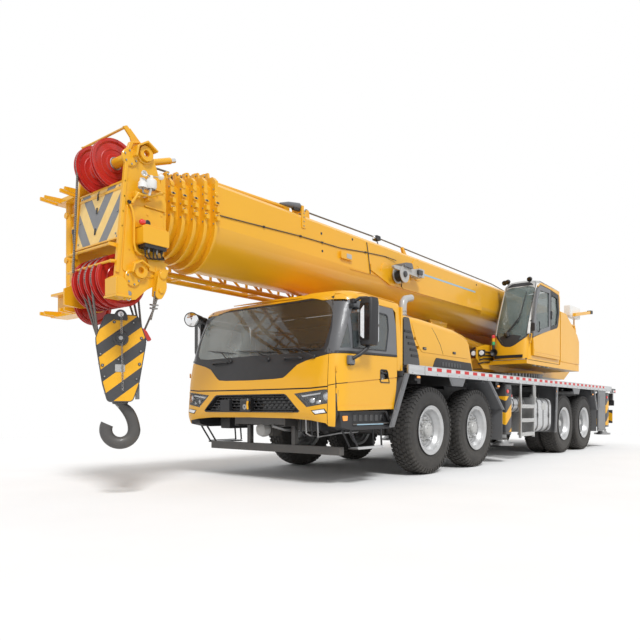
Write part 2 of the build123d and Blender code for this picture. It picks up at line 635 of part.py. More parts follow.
# ---------------------------------------------------------------- outriggers
def outrigger_beam(lane, side):
    """Sliding box beam with the jack housing at its outer end."""
    low, high = BEAM_Z - BEAM_HEIGHT / 2, BEAM_Z + BEAM_HEIGHT / 2
    end = JACK_Y - JACK_HOUSING / 2
    x0, x1 = lane - BEAM_WIDTH / 2, lane + BEAM_WIDTH / 2
    beam = block(x0, x1, -side * 1060, side * (end + 10), low, high)
    beam -= block(x0 + 12, x1 - 12, -side * 1070, side * end, low + 12, high - 12)
    half = JACK_HOUSING / 2
    housing = block(lane - half, lane + half, side * end, side * (JACK_Y + half), 480, 1310)
    housing = chamfer(housing.edges().filter_by(Axis.Z), 30)
    housing -= post(lane, side * JACK_Y, JACK_R + PIN_GAP, 470, 1280)
    return beam + housing


def outrigger_jack(lane, side):
    """Jack rod with its round foot."""
    rod = post(lane, side * JACK_Y, JACK_R, PAD_BOTTOM + 30, 1270)
    foot = post(lane, side * JACK_Y, PAD_R, PAD_BOTTOM, PAD_BOTTOM + 40)
    cone = Pos(ahead(lane), side * JACK_Y, PAD_BOTTOM + 75) * Cone(130, JACK_R, 70)
    return rod + foot + cone


# ---------------------------------------------------------------- superstructure
def turntable():
    """Base plate, two cheeks that carry boom and winch, side platforms and housings."""
    base = SLEW_BASE + SLEW_RING + SEAT
    plate_top = base + 50
    pieces = [post(SLEW_X, 0, SLEW_R + 60, base, plate_top)]
    pieces.append(post(SLEW_X, 0, SLEW_R - 120 - RUN, SLEW_BASE, base + 5))
    pieces.append(block(-3900, SLEW_X, -TABLE_INNER, TABLE_INNER, base, plate_top))
    pieces.append(block(SLEW_X, -7900, -TABLE_INNER, TABLE_INNER, base, plate_top))
    cheek = [(-3300, plate_top - 20), (-3050, 1840), (-3050, 2060), (-3400, 2140), (-5400, 2200),
             (-6900, 2940), (-7230, 3090), (-7570, 3090), (-7750, 2980), (-8200, 2900), (-8350, 3040),
             (-8800, 3040), (-8850, 2950), (-8850, 2180), (-8300, 1850), (-7900, base), (-5000, base)]
    for side in SIDES.values():
        plate = side_plate(cheek, side * TABLE_INNER, side * (TABLE_INNER + TABLE_WALL))
        plate += cross_bar(PIVOT_X, PIVOT_Z, 170, side * TABLE_INNER, side * (TABLE_INNER + 60))
        pieces.append(plate)
    pieces.append(cross_bar(PIVOT_X, PIVOT_Z, PIVOT_R, -TABLE_INNER, TABLE_INNER))
    foot_x, foot_z = CYLINDER_FOOT
    pieces.append(cross_bar(foot_x, foot_z, 60, -TABLE_INNER, TABLE_INNER))
    pieces.append(block(-8840, -8780, -TABLE_INNER, TABLE_INNER, 2190, 2380))
    pieces.append(block(-3330, -3280, -TABLE_INNER, TABLE_INNER, plate_top - 20, 1880))
    pieces.append(cross_bar(-8550, 2700, 45, -TABLE_INNER, TABLE_INNER))
    # platform and housing behind the operator's cab, and the oil tank on the other side
    left = TABLE_INNER + TABLE_WALL
    pieces.append(block(-5380, -3560, left, 1270, 1760, OP_BASE - SEAT))
    pieces.append(block(-6620, -5380, left, 1270, 1760, 1900))
    housing = side_plate([(-5400, 1900), (-5400, 2960), (-5700, 2960), (-6480, 2560), (-6620, 2420),
                          (-6620, 1900)], left, 1275)
    housing = fillet(housing.edges().filter_by(Axis.X).group_by(Axis.Y)[-1], 25)
    pieces.append(housing)
    right = side_plate([(-4100, 1760), (-4100, 2560), (-4300, 2700), (-6400, 2700), (-6620, 2480),
                        (-6620, 1760)], -1275, -left)
    right = fillet(right.edges().filter_by(Axis.Y), 40)
    pieces.append(right)
    pieces.append(block(-4200, -3560, -1200, -left, 1760, 1800))
    return fused(pieces)


def op_form(inset):
    """Closed form of the operator's cab, drawn in by inset."""
    i = inset
    side = [(-5340 + i, OP_BASE + i), (-5340 + i, 3300), (-5290 + i * 0.6, 3400 - i), (-4300, 3450 - i),
            (-4060 - i, 3400 - i), (-3960 - i, 3240), (-3690 - i, 2500), (-3560 - i, 2200), (-3530 - i, 1960),
            (-3600 - i, OP_BASE + i)]
    body = side_plate(side, 545 + i, 1280 - i)
    plan = [(-5400, 545 + i), (-5400, 1280 - i), (-3700 - i, 1280 - i), (-3560 - i, 1230 - i),
            (-3500 - i, 1080 - i), (-3500 - i, 745 + i), (-3560 - i, 595 + i), (-3700 - i, 545 + i)]
    return body & plan_plate(plan, 1700, 3600)


OP_DOOR = [(-5180, 1960), (-5180, 3180), (-5100, 3290), (-4180, 3310), (-4010, 3200), (-3860, 2800),
           (-3860, 1960)]


def op_screen(gap):
    """Front window of the operator's cab as (y, z) corners."""
    g = gap
    return [(600 + g, 2260 + g), (900, 2160 + g), (1225 - g, 2260 + g), (1225 - g, 3330 - g), (600 + g, 3330 - g)]


def op_side_window(gap):
    """Window towards the boom as (ahead, z) corners."""
    g = gap
    return [(-5150 + g, 2500 + g), (-5150 + g, 3280 - g), (-4100 - g, 3290 - g), (-3900 - g, 2500 + g)]


def operator_cab():
    """Hollow cab with front, side, rear and door openings."""
    shell = op_form(0) - op_form(35)
    shell -= cross_plate(op_screen(0), -4080, -3400) - op_form(36)
    shell -= side_plate(OP_DOOR, 1240, 1290)
    shell -= side_plate(op_side_window(0), 540, 590)
    shell -= cross_plate([(640, 2500), (640, 3250), (1180, 3250), (1180, 2500)], -5400, -5290)
    roof = [(-5200, 640), (-5200, 1180), (-4400, 1180), (-4400, 640)]
    shell -= plan_plate(roof, 3380, 3500)
    return shell


def operator_glass():
    """Panes of the operator's cab, set just inside their openings."""
    skin = op_form(8) - op_form(15)
    front = skin & cross_plate(op_screen(SEAT), -4080, -3400)
    right = skin & side_plate(op_side_window(SEAT), 540, 590)
    rear = skin & block(-5400, -5290, 640 + SEAT, 1180 - SEAT, 2500 + SEAT, 3250 - SEAT)
    top = skin & block(-5200 + SEAT, -4400 - SEAT, 640 + SEAT, 1180 - SEAT, 3380, 3500)
    return [front, right, rear, top]


def operator_seat():
    """Seat with armrest consoles on the cab's floor."""
    floor = OP_BASE + 35 + SEAT
    y = 910
    base = block(-4900, -4600, y - 140, y + 140, floor, floor + 260)
    cushion = fillet(block(-4980, -4480, y - 240, y + 240, floor + 260, floor + 400).edges(), 40)
    back = fillet(side_plate([(-4890, floor + 360), (-5040, floor + 1020), (-5150, floor + 1020),
                              (-5010, floor + 360)], y - 220, y + 220).edges().filter_by(Axis.Y), 30)
    arms = [fillet(block(-4900, -4480, y + s * 250, y + s * 330, floor + 440, floor + 560).edges(), 20)
            for s in (-1, 1)]
    links = [block(-4900, -4800, y + s * 230, y + s * 300, floor + 300, floor + 460) for s in (-1, 1)]
    return fused([base, cushion, back] + arms + links)


def operator_door():
    """Sliding door outside the cab wall, with a yellow lower panel and a two-pane opening."""
    grow = [(-5215, 1925), (-5215, 3200), (-5125, 3325), (-4165, 3345), (-3980, 3225), (-3825, 2810),
            (-3825, 1925)]
    door = side_plate(grow, 1286, 1322)
    for pane in ([(-4600, 2500), (-4600, 3270), (-4190, 3275), (-4060, 3190), (-3920, 2790), (-3920, 2320)],
                 [(-5120, 2640), (-5120, 3150), (-5060, 3250), (-4680, 3265), (-4680, 2520)]):
        door -= side_plate(pane, 1270, 1330)
    return door


def operator_door_rails():
    """Rails on the cab wall that carry the sliding door."""
    rails = [block(-5340, -3900, 1276, 1285.7, 3290, 3320), block(-5340, -3600, 1276, 1285.7, 1860, 1900)]
    return rails


def winch_drum():
    """Grooved hoist drum with its rope layers and flanges."""
    x, z, half = -8550, 2700, TABLE_INNER - 20
    bore = 45 + PIN_GAP
    turn = [(-half, bore), (-half, 300), (-half + 25, 300), (-half + 25, 215)]
    rope_pitch = 60
    steps = int((2 * half - 50) / rope_pitch)
    for index in range(steps):
        y = -half + 25 + (index + 0.5) * (2 * half - 50) / steps
        turn.append((y, 228))
        if index < steps - 1:
            turn.append((y + (2 * half - 50) / steps / 2, 216))
    turn += [(half - 25, 215), (half - 25, 300), (half, 300), (half, bore)]
    return wheel_turn(turn, x, 0, 1, z)


def luffing_line():
    """Length and unit direction of the luffing cylinder at rest."""
    dx = CYLINDER_EYE[0] - CYLINDER_FOOT[0]
    dz = CYLINDER_EYE[1] - CYLINDER_FOOT[1]
    length = hypot(dx, dz)
    return length, dx / length, dz / length


def along_cylinder(distance):
    """Point (ahead, y, z) on the luffing cylinder's axis."""
    length, ux, uz = luffing_line()
    return (CYLINDER_FOOT[0] + ux * distance, 0, CYLINDER_FOOT[1] + uz * distance)


def luff_barrel():
    """Cylinder barrel with its foot eye and gland, bored for the rod."""
    length = luffing_line()[0]
    barrel = bar(along_cylinder(150), along_cylinder(length - 330), BARREL_R)
    barrel += bar(along_cylinder(length - 400), along_cylinder(length - 300), BARREL_R + 15)
    barrel -= bar(along_cylinder(320), along_cylinder(length - 200), ROD_R + PIN_GAP)
    foot = cross_bar(CYLINDER_FOOT[0], CYLINDER_FOOT[1], 130, -150, 150)
    foot += bar(along_cylinder(60), along_cylinder(160), 120)
    barrel = barrel + foot
    return barrel - cross_bar(CYLINDER_FOOT[0], CYLINDER_FOOT[1], 60 + PIN_GAP, -200, 200)


def luff_rod():
    """Cylinder rod with its eye, whose pin sits flush between the ears under the boom."""
    length = luffing_line()[0]
    rod = bar(along_cylinder(340), along_cylinder(length - 60), ROD_R)
    eye = cross_bar(CYLINDER_EYE[0], CYLINDER_EYE[1], 125, -130, 130)
    return rod + eye


# ---------------------------------------------------------------- boom
def u_section(inset):
    """Outline of a boom section: flat top and sides, round belly; drawn in by inset."""
    half = BOOM_HALF - inset
    top = BOOM_TOP - inset
    corner = 45
    edge = Polyline((-half, BOOM_BEND), (-half, top - corner), (-half + corner, top),
                    (half - corner, top), (half, top - corner), (half, BOOM_BEND))
    belly = RadiusArc((half, BOOM_BEND), (-half, BOOM_BEND), half)
    return make_face(Curve() + [edge, belly])


def boom_prism(inset, x0, x1):
    """Solid with the boom's outline from x0 to x1."""
    plane = Plane((ahead(x0), 0, 0), x_dir=(0, 1, 0), z_dir=(1, 0, 0))
    return extrude(plane * u_section(inset), x1 - x0)


def section_front(number):
    """Front end of a section, counted from 1, the base."""
    return BOOM_FRONT + (number - 1) * COLLAR_PITCH


def section_rear(number):
    """Rear end of a section."""
    return PIVOT_X + PIVOT_R + 80 + (number - 1) * 45 if number > 1 else BOOM_REAR


def boom_tube(number):
    """One telescoping section: tube, front collar with sliding pads, rear guide ring."""
    inset = (number - 1) * BOOM_STEP
    front, rear = section_front(number), section_rear(number)
    tube = boom_prism(inset, rear, front)
    if number < BOOM_SECTIONS:
        tube += boom_prism(inset - COLLAR_PROUD, front - COLLAR_LENGTH, front)
        tube += lugs(number)
    tube -= boom_prism(inset + BOOM_WALL, rear - 1, front - PAD_LENGTH)
    tube -= boom_prism(inset + BOOM_STEP - SEAT, front - PAD_LENGTH - 1, front + 1)
    if number > 1:
        guide = boom_prism(inset - BOOM_STEP + BOOM_WALL + SEAT, rear + 20, rear + 70)
        tube += guide - boom_prism(inset + BOOM_WALL, rear, rear + 80)
    return tube


def lugs(number):
    """Top lugs and side guide brackets of a collar."""
    inset = (number - 1) * BOOM_STEP
    front = section_front(number)
    top = BOOM_TOP - inset + COLLAR_PROUD
    half = BOOM_HALF - inset + COLLAR_PROUD
    pieces = []
    for y in (-half * 0.62, half * 0.62):
        pieces.append(cross_plate([(y - 55, top - 20), (y + 55, top - 20), (y + 30, top + 75), (y - 30, top + 75)],
                                  front - COLLAR_LENGTH, front - COLLAR_LENGTH + 22))
    for side in SIDES.values():
        pieces.append(block(front - COLLAR_LENGTH, front, side * (half - 15), side * (half + 40), 3010, 3060))
        pieces.append(block(front - COLLAR_LENGTH, front, side * (half - 15), side * (half + 40), 2920, 2965))
    return fused(pieces)


def boom_base():
    """Base section with the pivot bosses, the cylinder's ears and the rear stiffeners."""
    base = boom_tube(1)
    pieces = []
    ear_x, ear_z = CYLINDER_EYE
    for side in SIDES.values():
        # doubling plates low on the sides, over the cylinder's ears
        plate = [(-3400, 2790), (-3400, 2880), (-400, 2880), (250, 3010), (250, 2920), (-250, 2780)]
        pieces.append(side_plate(plate, side * (BOOM_HALF - 8), side * (BOOM_HALF + 16)))
        ear = [(ear_x - 260, 2520), (ear_x - 230, 2450), (ear_x - 150, ear_z - 60), (ear_x - 60, ear_z - 130), (ear_x + 60, ear_z - 130),
               (ear_x + 150, ear_z - 60), (ear_x + 420, 2500)]
        pieces.append(side_plate(ear, side * (130 + RUN), side * (165 + RUN)))
        boss = cross_bar(PIVOT_X, PIVOT_Z, 160, side * (BOOM_HALF - 12), side * (TABLE_INNER - RUN))
        pieces.append(boss)
        gusset = [(PIVOT_X + 900, 2700), (PIVOT_X + 900, 3000), (PIVOT_X - 260, 3060), (PIVOT_X - 260, 2650)]
        pieces.append(side_plate(gusset, side * (BOOM_HALF - 8), side * (BOOM_HALF + 20)))
    base = fused([base] + pieces)
    hollow = boom_prism(BOOM_WALL, section_rear(2) + 15, section_front(1) - PAD_LENGTH)
    base -= hollow
    base -= cross_bar(PIVOT_X, PIVOT_Z, PIVOT_R + PIN_GAP, -600, 600)
    guide = bar((3120, 150, BOOM_TOP + 95), (1760, 150, BOOM_TOP + 130), 28)
    guide += block(1700, 1790, 110, 190, BOOM_TOP - 5, BOOM_TOP + 150)
    guide += block(3100, 3140, 110, 190, BOOM_TOP + 20, BOOM_TOP + 120)
    return base + guide


def boom_head():
    """Cheeks, axles, front panel and top arm of the boom head."""
    section_top = BOOM_TOP - (BOOM_SECTIONS - 1) * BOOM_STEP
    section_low = BOOM_BEND - (BOOM_HALF - (BOOM_SECTIONS - 1) * BOOM_STEP)
    cheek = [(3740, 2960), (3870, 3330), (3930, 3430), (4040, 3475), (4150, 3440), (4190, 3340), (4270, 2480),
             (4300, 2150), (4370, 2110), (4370, 1945), (4190, 1930), (4080, 1950), (3960, 2060), (3860, 2120),
             (3730, 2290), (3790, 2450), (3740, 2560)]
    pieces = []
    for side in SIDES.values():
        inner, outer = side * HEAD_CHEEK, side * (HEAD_CHEEK + CHEEK_WALL)
        plate = side_plate(cheek, inner, outer)
        for x, z in JIB_PINS:
            plate += cross_bar(x, z, JIB_PIN_R + 40, outer - side * 5, outer + side * 45)
            plate -= cross_bar(x, z, JIB_PIN_R, inner - side, outer + side * 50)
        pieces.append(plate)
    pieces.append(cross_bar(UPPER_SHEAVE[0], UPPER_SHEAVE[1], SHEAVE_AXLE_R, -HEAD_CHEEK, HEAD_CHEEK))
    pieces.append(cross_bar(LOWER_SHEAVE[0], LOWER_SHEAVE[1], SHEAVE_AXLE_R, -HEAD_CHEEK, HEAD_CHEEK))
    # panel across the front between the two sheave packs, and the ring that closes the section
    panel = [(4175, 3030), (4200, 3030), (4252, 2500), (4228, 2500)]
    pieces.append(side_plate(panel, -HEAD_CHEEK, HEAD_CHEEK))
    pieces.append(block(section_front(BOOM_SECTIONS) - 30, section_front(BOOM_SECTIONS) + 25,
                        -HEAD_CHEEK - 2, HEAD_CHEEK + 2, section_low - 20, section_top + 30))
    for height in (3000, 2540):
        pieces.append(block(section_front(BOOM_SECTIONS), 4215, -HEAD_CHEEK, HEAD_CHEEK, height - 12, height + 12))
    # rope keepers
    pieces.append(cross_bar(4330, 2440, 14, -HEAD_CHEEK, HEAD_CHEEK))
    for side in SIDES.values():
        y0, y1 = side * (HEAD_CHEEK - 18), side * HEAD_CHEEK
        pieces.append(side_plate([(4240, 2420), (4240, 2460), (4345, 2455), (4345, 2425)], y0, y1))
        arm = side_plate([(4050, 3420), (4000, 3460), (4160, 3600), (4200, 3580)], y0, y1)
        pieces.append(arm)
    pieces.append(cross_bar(4172, 3582, 12, -HEAD_CHEEK, HEAD_CHEEK))
    # auxiliary sheave axle outside the far cheek, with the lug that carries it
    pieces.append(cross_bar(*AUX_SHEAVE, AUX_AXLE_R, -HEAD_CHEEK, -560))
    pieces.append(cross_bar(*AUX_SHEAVE, AUX_AXLE_R + 38, -HEAD_CHEEK, -HEAD_CHEEK - CHEEK_WALL))
    # dead-end anchor and cable box on the near cheek
    pieces.append(block(3800, 3980, HEAD_CHEEK + CHEEK_WALL - 5, HEAD_CHEEK + 130, 2520, 2640))
    anchor = side_plate([(3730, 2290), (3760, 2190), (3790, 2060), (3850, 1980), (3900, 2010), (3890, 2180),
                         (3880, 2300)], HEAD_CHEEK + CHEEK_WALL - 5, HEAD_CHEEK + 60)
    pieces.append(anchor)
    return fused(pieces)


def boom_tip():
    """Last section with the boom head welded to it."""
    return boom_tube(BOOM_SECTIONS) + boom_head()


def sheave(x, z, radius, bore, y, width=46):
    """Grooved rope sheave with a dished web."""
    w = width / 2
    groove = radius - GROOVE_DEPTH
    profile = [(-w, bore), (-w, bore + 35), (-9, bore + 45), (-9, groove - 30), (-w, groove - 12), (-w, radius),
               (-ROPE_R - 4, radius), (-ROPE_R + 1, groove), (ROPE_R - 1, groove), (ROPE_R + 4, radius),
               (w, radius), (w, groove - 12), (9, groove - 30), (9, bore + 45), (w, bore + 35), (w, bore)]
    return wheel_turn(profile, x, y, 1, z)


def lower_lines():
    """Y of each lower sheave."""
    return [SHEAVE_PITCH * index for index in (-2, -1, 0, 1, 2)]


def head_sheaves():
    """Upper pair, lower pack and the single auxiliary sheave."""
    bore = SHEAVE_AXLE_R + PIN_GAP
    pieces = [sheave(*UPPER_SHEAVE, UPPER_SHEAVE_R, bore, y) for y in (-150, 150)]
    pieces += [sheave(*LOWER_SHEAVE, LOWER_SHEAVE_R, bore, y) for y in lower_lines()]
    pieces.append(sheave(*AUX_SHEAVE, AUX_SHEAVE_R, AUX_AXLE_R + PIN_GAP, -500))
    return pieces


# ---------------------------------------------------------------- hook block
def turned(shape):
    """Turn the hook block about its own vertical axis."""
    centre = Pos(ahead(BLOCK_X), 0, 0)
    return centre * Rot(0, 0, BLOCK_YAW) * centre.inverse() * shape


def fall_lines():
    """Ends of each rope fall, as (ahead, y, z) pairs."""
    yaw = radians(BLOCK_YAW)
    lines = []
    head_r = LOWER_SHEAVE_R - GROOVE_DEPTH + ROPE_R + SEAT
    block_r = BLOCK_SHEAVE_R - GROOVE_DEPTH + ROPE_R - 2
    for index in (-1, 0, 1):
        for way in (-1, 1):
            leave = (LOWER_SHEAVE[0] + way * head_r, SHEAVE_PITCH * index, LOWER_SHEAVE[1])
            top = (leave[0], leave[1], leave[2] - 110)
            u, v = way * block_r, BLOCK_PITCH * index
            low = (BLOCK_X + u * cos(yaw) - v * sin(yaw), u * sin(yaw) + v * cos(yaw), BLOCK_AXLE_Z)
            lines.append((leave, top, low))
    return lines


def hook_block():
    """Cheek plates, sheaves, cross-head and rope falls of the hook block."""
    x, z = BLOCK_X, BLOCK_AXLE_Z
    outline = [(x - 150, 1830), (x + 150, 1830), (x + 235, 1580), (x + 165, 1130), (x + 110, 975),
               (x - 110, 975), (x - 165, 1130), (x - 235, 1580)]
    pieces = []
    for y in (-125, 125):
        pieces.append(side_plate(outline, y - 14, y + 14))
    lug = [(x - 60, 1790), (x + 60, 1790), (x + 45, 1850), (x, 1878), (x - 45, 1850)]
    pieces.append(side_plate(lug, 98, 128))
    pieces += [sheave(x, z, BLOCK_SHEAVE_R, 30, BLOCK_PITCH * index) for index in (-1, 0, 1)]
    pieces.append(cross_bar(x, z, 45, -175, 175))
    pieces.append(block(x - 60, x + 60, -135, 135, 985, 1085))
    for dx, dz in ((-120, 1800), (120, 1800), (0, 1200)):
        pieces.append(cross_bar(x + dx, dz, 18, -130, 130))
    body = fused(pieces)
    body -= post(x, 0, 46 + PIN_GAP, 980, 1090)
    body = turned(body)
    ropes = []
    for leave, top, low in fall_lines():
        ropes += [bar(low, top, ROPE_R), bar((top[0], top[1], top[2] - 6), leave, ROPE_R)]
    return fused([body] + ropes)


def hook():
    """Forged single hook with its shank and nut, hanging in the cross-head."""
    x = BLOCK_X
    r, thick = 135, 62
    centre_z = HOOK_BOTTOM + r + thick
    start = Plane((ahead(x - r), 0, centre_z), x_dir=(1, 0, 0), z_dir=(0, 0, 1))
    bowl = revolve(start * Ellipse(thick, 48), Axis((ahead(x), 0, centre_z), (0, -1, 0)), 205)
    back = loft([start * Ellipse(thick, 48),
                 Plane((ahead(x - 95), 0, centre_z + 150), x_dir=(1, 0, 0), z_dir=(0.45, 0, 1)) * Ellipse(58, 50),
                 Plane((ahead(x), 0, centre_z + 265), x_dir=(1, 0, 0), z_dir=(0, 0, 1)) * Ellipse(60, 60)])
    shank = post(x, 0, 60, centre_z + 264, 984 - SEAT) + post(x, 0, 46, 970, 1120)
    nut = post(x, 0, 75, 1085 + SEAT, 1140)
    return turned(fused([bowl, back, shank, nut]))


# ---------------------------------------------------------------- stowed fly jib
def jib():
    """Root frame and first lattice bay of the fly jib, stowed on the boom's right side."""
    y0, y1 = -1230, -620
    beam_top = 2185
    # the lower beam is bolted under the two posts
    beam = [block(3980, 4010, y0, y1, 1945, beam_top - 25), block(3900, 4090, y0, y1, 1920, 1945),
            block(3900, 4090, y0, y1, beam_top - 25, beam_top)]
    pieces = [block(3930, 4060, y0 + 20, y1, 3190, 3235)]
    posts = (-1060, -760)
    for y in posts:
        pieces.append(bar((3955, y, beam_top + SEAT), (3955, y, 3200), 45))
    for z, holder in ((1950, beam), (3215, pieces)):
        fork = [(4040, z - 30), (4230, z - 18), (4230, z + 18), (4040, z + 30)]
        for y in (y0 + 90, y1 - 90):
            holder += [side_plate(fork, y - 60, y - 35), side_plate(fork, y + 35, y + 60)]
    chords = ((posts[0], 2560), (posts[1], 2560), (posts[0], 3060), (posts[1], 3060))
    rear = -1450
    for y, z in chords:
        pieces.append(bar((4010, y, z), (rear, y, z), 34))
    bays = 8
    pitch = (4000 - rear - 100) / bays
    for index in range(bays + 1):
        x = rear + 60 + index * pitch
        for y in posts:
            pieces.append(bar((x, y, 2560), (x, y, 3060), 20))
        for z in (2560, 3060):
            pieces.append(bar((x, posts[0], z), (x, posts[1], z), 20))
    for index in range(bays):
        x = rear + 60 + index * pitch
        for y in posts:
            pieces.append(bar((x, y, 2560), (x + pitch, y, 3060), 18))
    # brackets to the base section
    for x in (-900, 2400):
        pieces.append(block(x - 40, x + 40, posts[1], -BOOM_HALF - SEAT, 2930, 3090))
    return [fused(beam), fused(pieces)]


# ---------------------------------------------------------------- all the nodes
def build():
    """Make every node by name."""
    nodes["carrier_frame"] = carrier_frame()
    nodes["deck"] = deck()
    nodes["deck_edging"] = deck_edging()
    nodes["fenders"] = fenders()
    nodes["axles"] = axles()
    nodes["side_tanks"] = side_tanks()
    nodes["slewing_ring"] = slewing_ring()
    nodes["engine"] = engine()
    nodes["engine_hood"] = engine_hood()
    nodes["driver_cab"] = driver_cab()
    nodes["cab_glass"] = cab_glass()
    nodes["cab_interior"] = cab_interior()
    for name, side in SIDES.items():
        nodes[f"cab_door_{name}"] = cab_door(side)
        for number, x in enumerate(AXLES):
            steered = number < STEERED_AXLES
            tag = f"{number + 1}_{name}"
            nodes[f"tyre_{tag}"] = tyre(x, side, not steered)
            nodes[f"rim_{tag}"] = rim(x, side, not steered)
            if steered:
                nodes[f"knuckle_{tag}"] = knuckle(x, side)
        for place, station in OUTRIGGERS.items():
            lane = outrigger_lanes(station)[name]
            nodes[f"outrigger_beam_{place}_{name}"] = outrigger_beam(lane, side)
            nodes[f"outrigger_jack_{place}_{name}"] = outrigger_jack(lane, side)
    nodes["turntable"] = turntable()
    nodes["operator_cab"] = operator_cab() + operator_door_rails()
    nodes["operator_glass"] = operator_glass()
    nodes["operator_seat"] = operator_seat()
    nodes["operator_door"] = operator_door()
    nodes["winch_drum"] = winch_drum()
    nodes["luff_barrel"] = luff_barrel()
    nodes["luff_rod"] = luff_rod()
    nodes["boom_base"] = boom_base()
    for number in range(2, BOOM_SECTIONS):
        nodes[f"boom_section_{number}"] = boom_tube(number)
    nodes["boom_tip"] = boom_tip()
    nodes["head_sheaves"] = head_sheaves()
    nodes["hook_block"] = hook_block()
    nodes["hook"] = hook()
    nodes["jib"] = jib()


build()
os.makedirs("parts", exist_ok=True)
for name, shape in nodes.items():
    whole = Compound(children=list(shape)) if isinstance(shape, list) else shape
    export_step(whole, f"parts/{name}.step")
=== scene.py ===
"""Looks of the truck crane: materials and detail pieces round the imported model."""
import json
from math import cos, pi, radians, sin, sqrt

import bmesh
import bpy
import numpy as np
from mathutils import Matrix, Vector

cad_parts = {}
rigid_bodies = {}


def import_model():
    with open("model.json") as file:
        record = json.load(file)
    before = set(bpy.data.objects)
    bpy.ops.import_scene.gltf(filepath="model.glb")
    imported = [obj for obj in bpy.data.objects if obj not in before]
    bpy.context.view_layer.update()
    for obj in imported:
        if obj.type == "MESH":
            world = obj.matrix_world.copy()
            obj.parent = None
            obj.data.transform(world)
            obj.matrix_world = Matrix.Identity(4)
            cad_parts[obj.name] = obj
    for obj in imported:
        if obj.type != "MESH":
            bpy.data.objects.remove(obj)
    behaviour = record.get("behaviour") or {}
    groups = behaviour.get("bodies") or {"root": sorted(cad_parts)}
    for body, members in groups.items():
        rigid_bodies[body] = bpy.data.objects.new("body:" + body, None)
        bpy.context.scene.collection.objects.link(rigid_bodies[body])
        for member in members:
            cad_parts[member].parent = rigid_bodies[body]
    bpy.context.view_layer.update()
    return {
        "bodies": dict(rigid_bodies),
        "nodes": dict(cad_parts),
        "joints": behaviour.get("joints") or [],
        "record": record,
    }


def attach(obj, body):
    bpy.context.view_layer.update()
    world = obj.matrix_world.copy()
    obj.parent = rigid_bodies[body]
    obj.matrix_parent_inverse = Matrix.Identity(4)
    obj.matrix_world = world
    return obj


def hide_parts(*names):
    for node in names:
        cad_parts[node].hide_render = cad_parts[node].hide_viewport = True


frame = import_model()
nodes = frame["nodes"]
FRONT_AXLE = 2490              # row x of the first axle; places are given ahead of it, in mm
AXLES = (0, -1420, -5540, -6890)
SIDES = {"left": 1, "right": -1}


def at(x, y, z):
    """Point given in mm ahead of the first axle, as a vector in metres."""
    return Vector(((FRONT_AXLE + x) / 1000, y / 1000, z / 1000))


# ---------------------------------------------------------------- materials
def shader(name):
    """New material with its node tree, Principled shader and object coordinates."""
    mat = bpy.data.materials.new(name)
    mat.use_nodes = True
    tree = mat.node_tree
    bsdf = tree.nodes["Principled BSDF"]
    coord = tree.nodes.new("ShaderNodeTexCoord")
    return mat, tree, bsdf, coord.outputs["Object"]


def ramp(tree, value, stops):
    """Colour ramp from (position, colour) stops."""
    node = tree.nodes.new("ShaderNodeValToRGB")
    while len(node.color_ramp.elements) < len(stops):
        node.color_ramp.elements.new(0.5)
    for element, (place, colour) in zip(node.color_ramp.elements, stops):
        element.position = place
        element.color = (*colour, 1)
    tree.links.new(value, node.inputs["Fac"])
    return node.outputs["Color"]


def noise(tree, coord, scale, detail=4.0, rough=0.5, stretch=(1, 1, 1)):
    """Noise value in object space."""
    mapping = tree.nodes.new("ShaderNodeMapping")
    mapping.inputs["Scale"].default_value = stretch
    tree.links.new(coord, mapping.inputs["Vector"])
    node = tree.nodes.new("ShaderNodeTexNoise")
    node.inputs["Scale"].default_value = scale
    node.inputs["Detail"].default_value = detail
    node.inputs["Roughness"].default_value = rough
    tree.links.new(mapping.outputs["Vector"], node.inputs["Vector"])
    return node.outputs["Fac"]


def math_node(tree, operation, a, b=None, c=None):
    """Math node on sockets or numbers."""
    node = tree.nodes.new("ShaderNodeMath")
    node.operation = operation
    for socket, value in zip(node.inputs, (a, b, c)):
        if value is None:
            continue
        if isinstance(value, (int, float)):
            socket.default_value = value
        else:
            tree.links.new(value, socket)
    return node.outputs[0]


def mix(tree, fac, a, b):
    """Mix two colours given as sockets or tuples."""
    node = tree.nodes.new("ShaderNodeMix")
    node.data_type = "RGBA"
    tree.links.new(fac, node.inputs[0])
    for socket, value in ((node.inputs[6], a), (node.inputs[7], b)):
        if isinstance(value, tuple):
            socket.default_value = (*value, 1)
        else:
            tree.links.new(value, socket)
    return node.outputs[2]


def bump(tree, bsdf, height, distance, strength=1.0):
    """Bump from a height in metres' share."""
    node = tree.nodes.new("ShaderNodeBump")
    node.inputs["Strength"].default_value = strength
    node.inputs["Distance"].default_value = distance
    tree.links.new(height, node.inputs["Height"])
    tree.links.new(node.outputs["Normal"], bsdf.inputs["Normal"])


def shades(colour, spread):
    """The colour a little darker and a little lighter."""
    return tuple(c * (1 - spread) for c in colour), tuple(min(1, c * (1 + spread)) for c in colour)


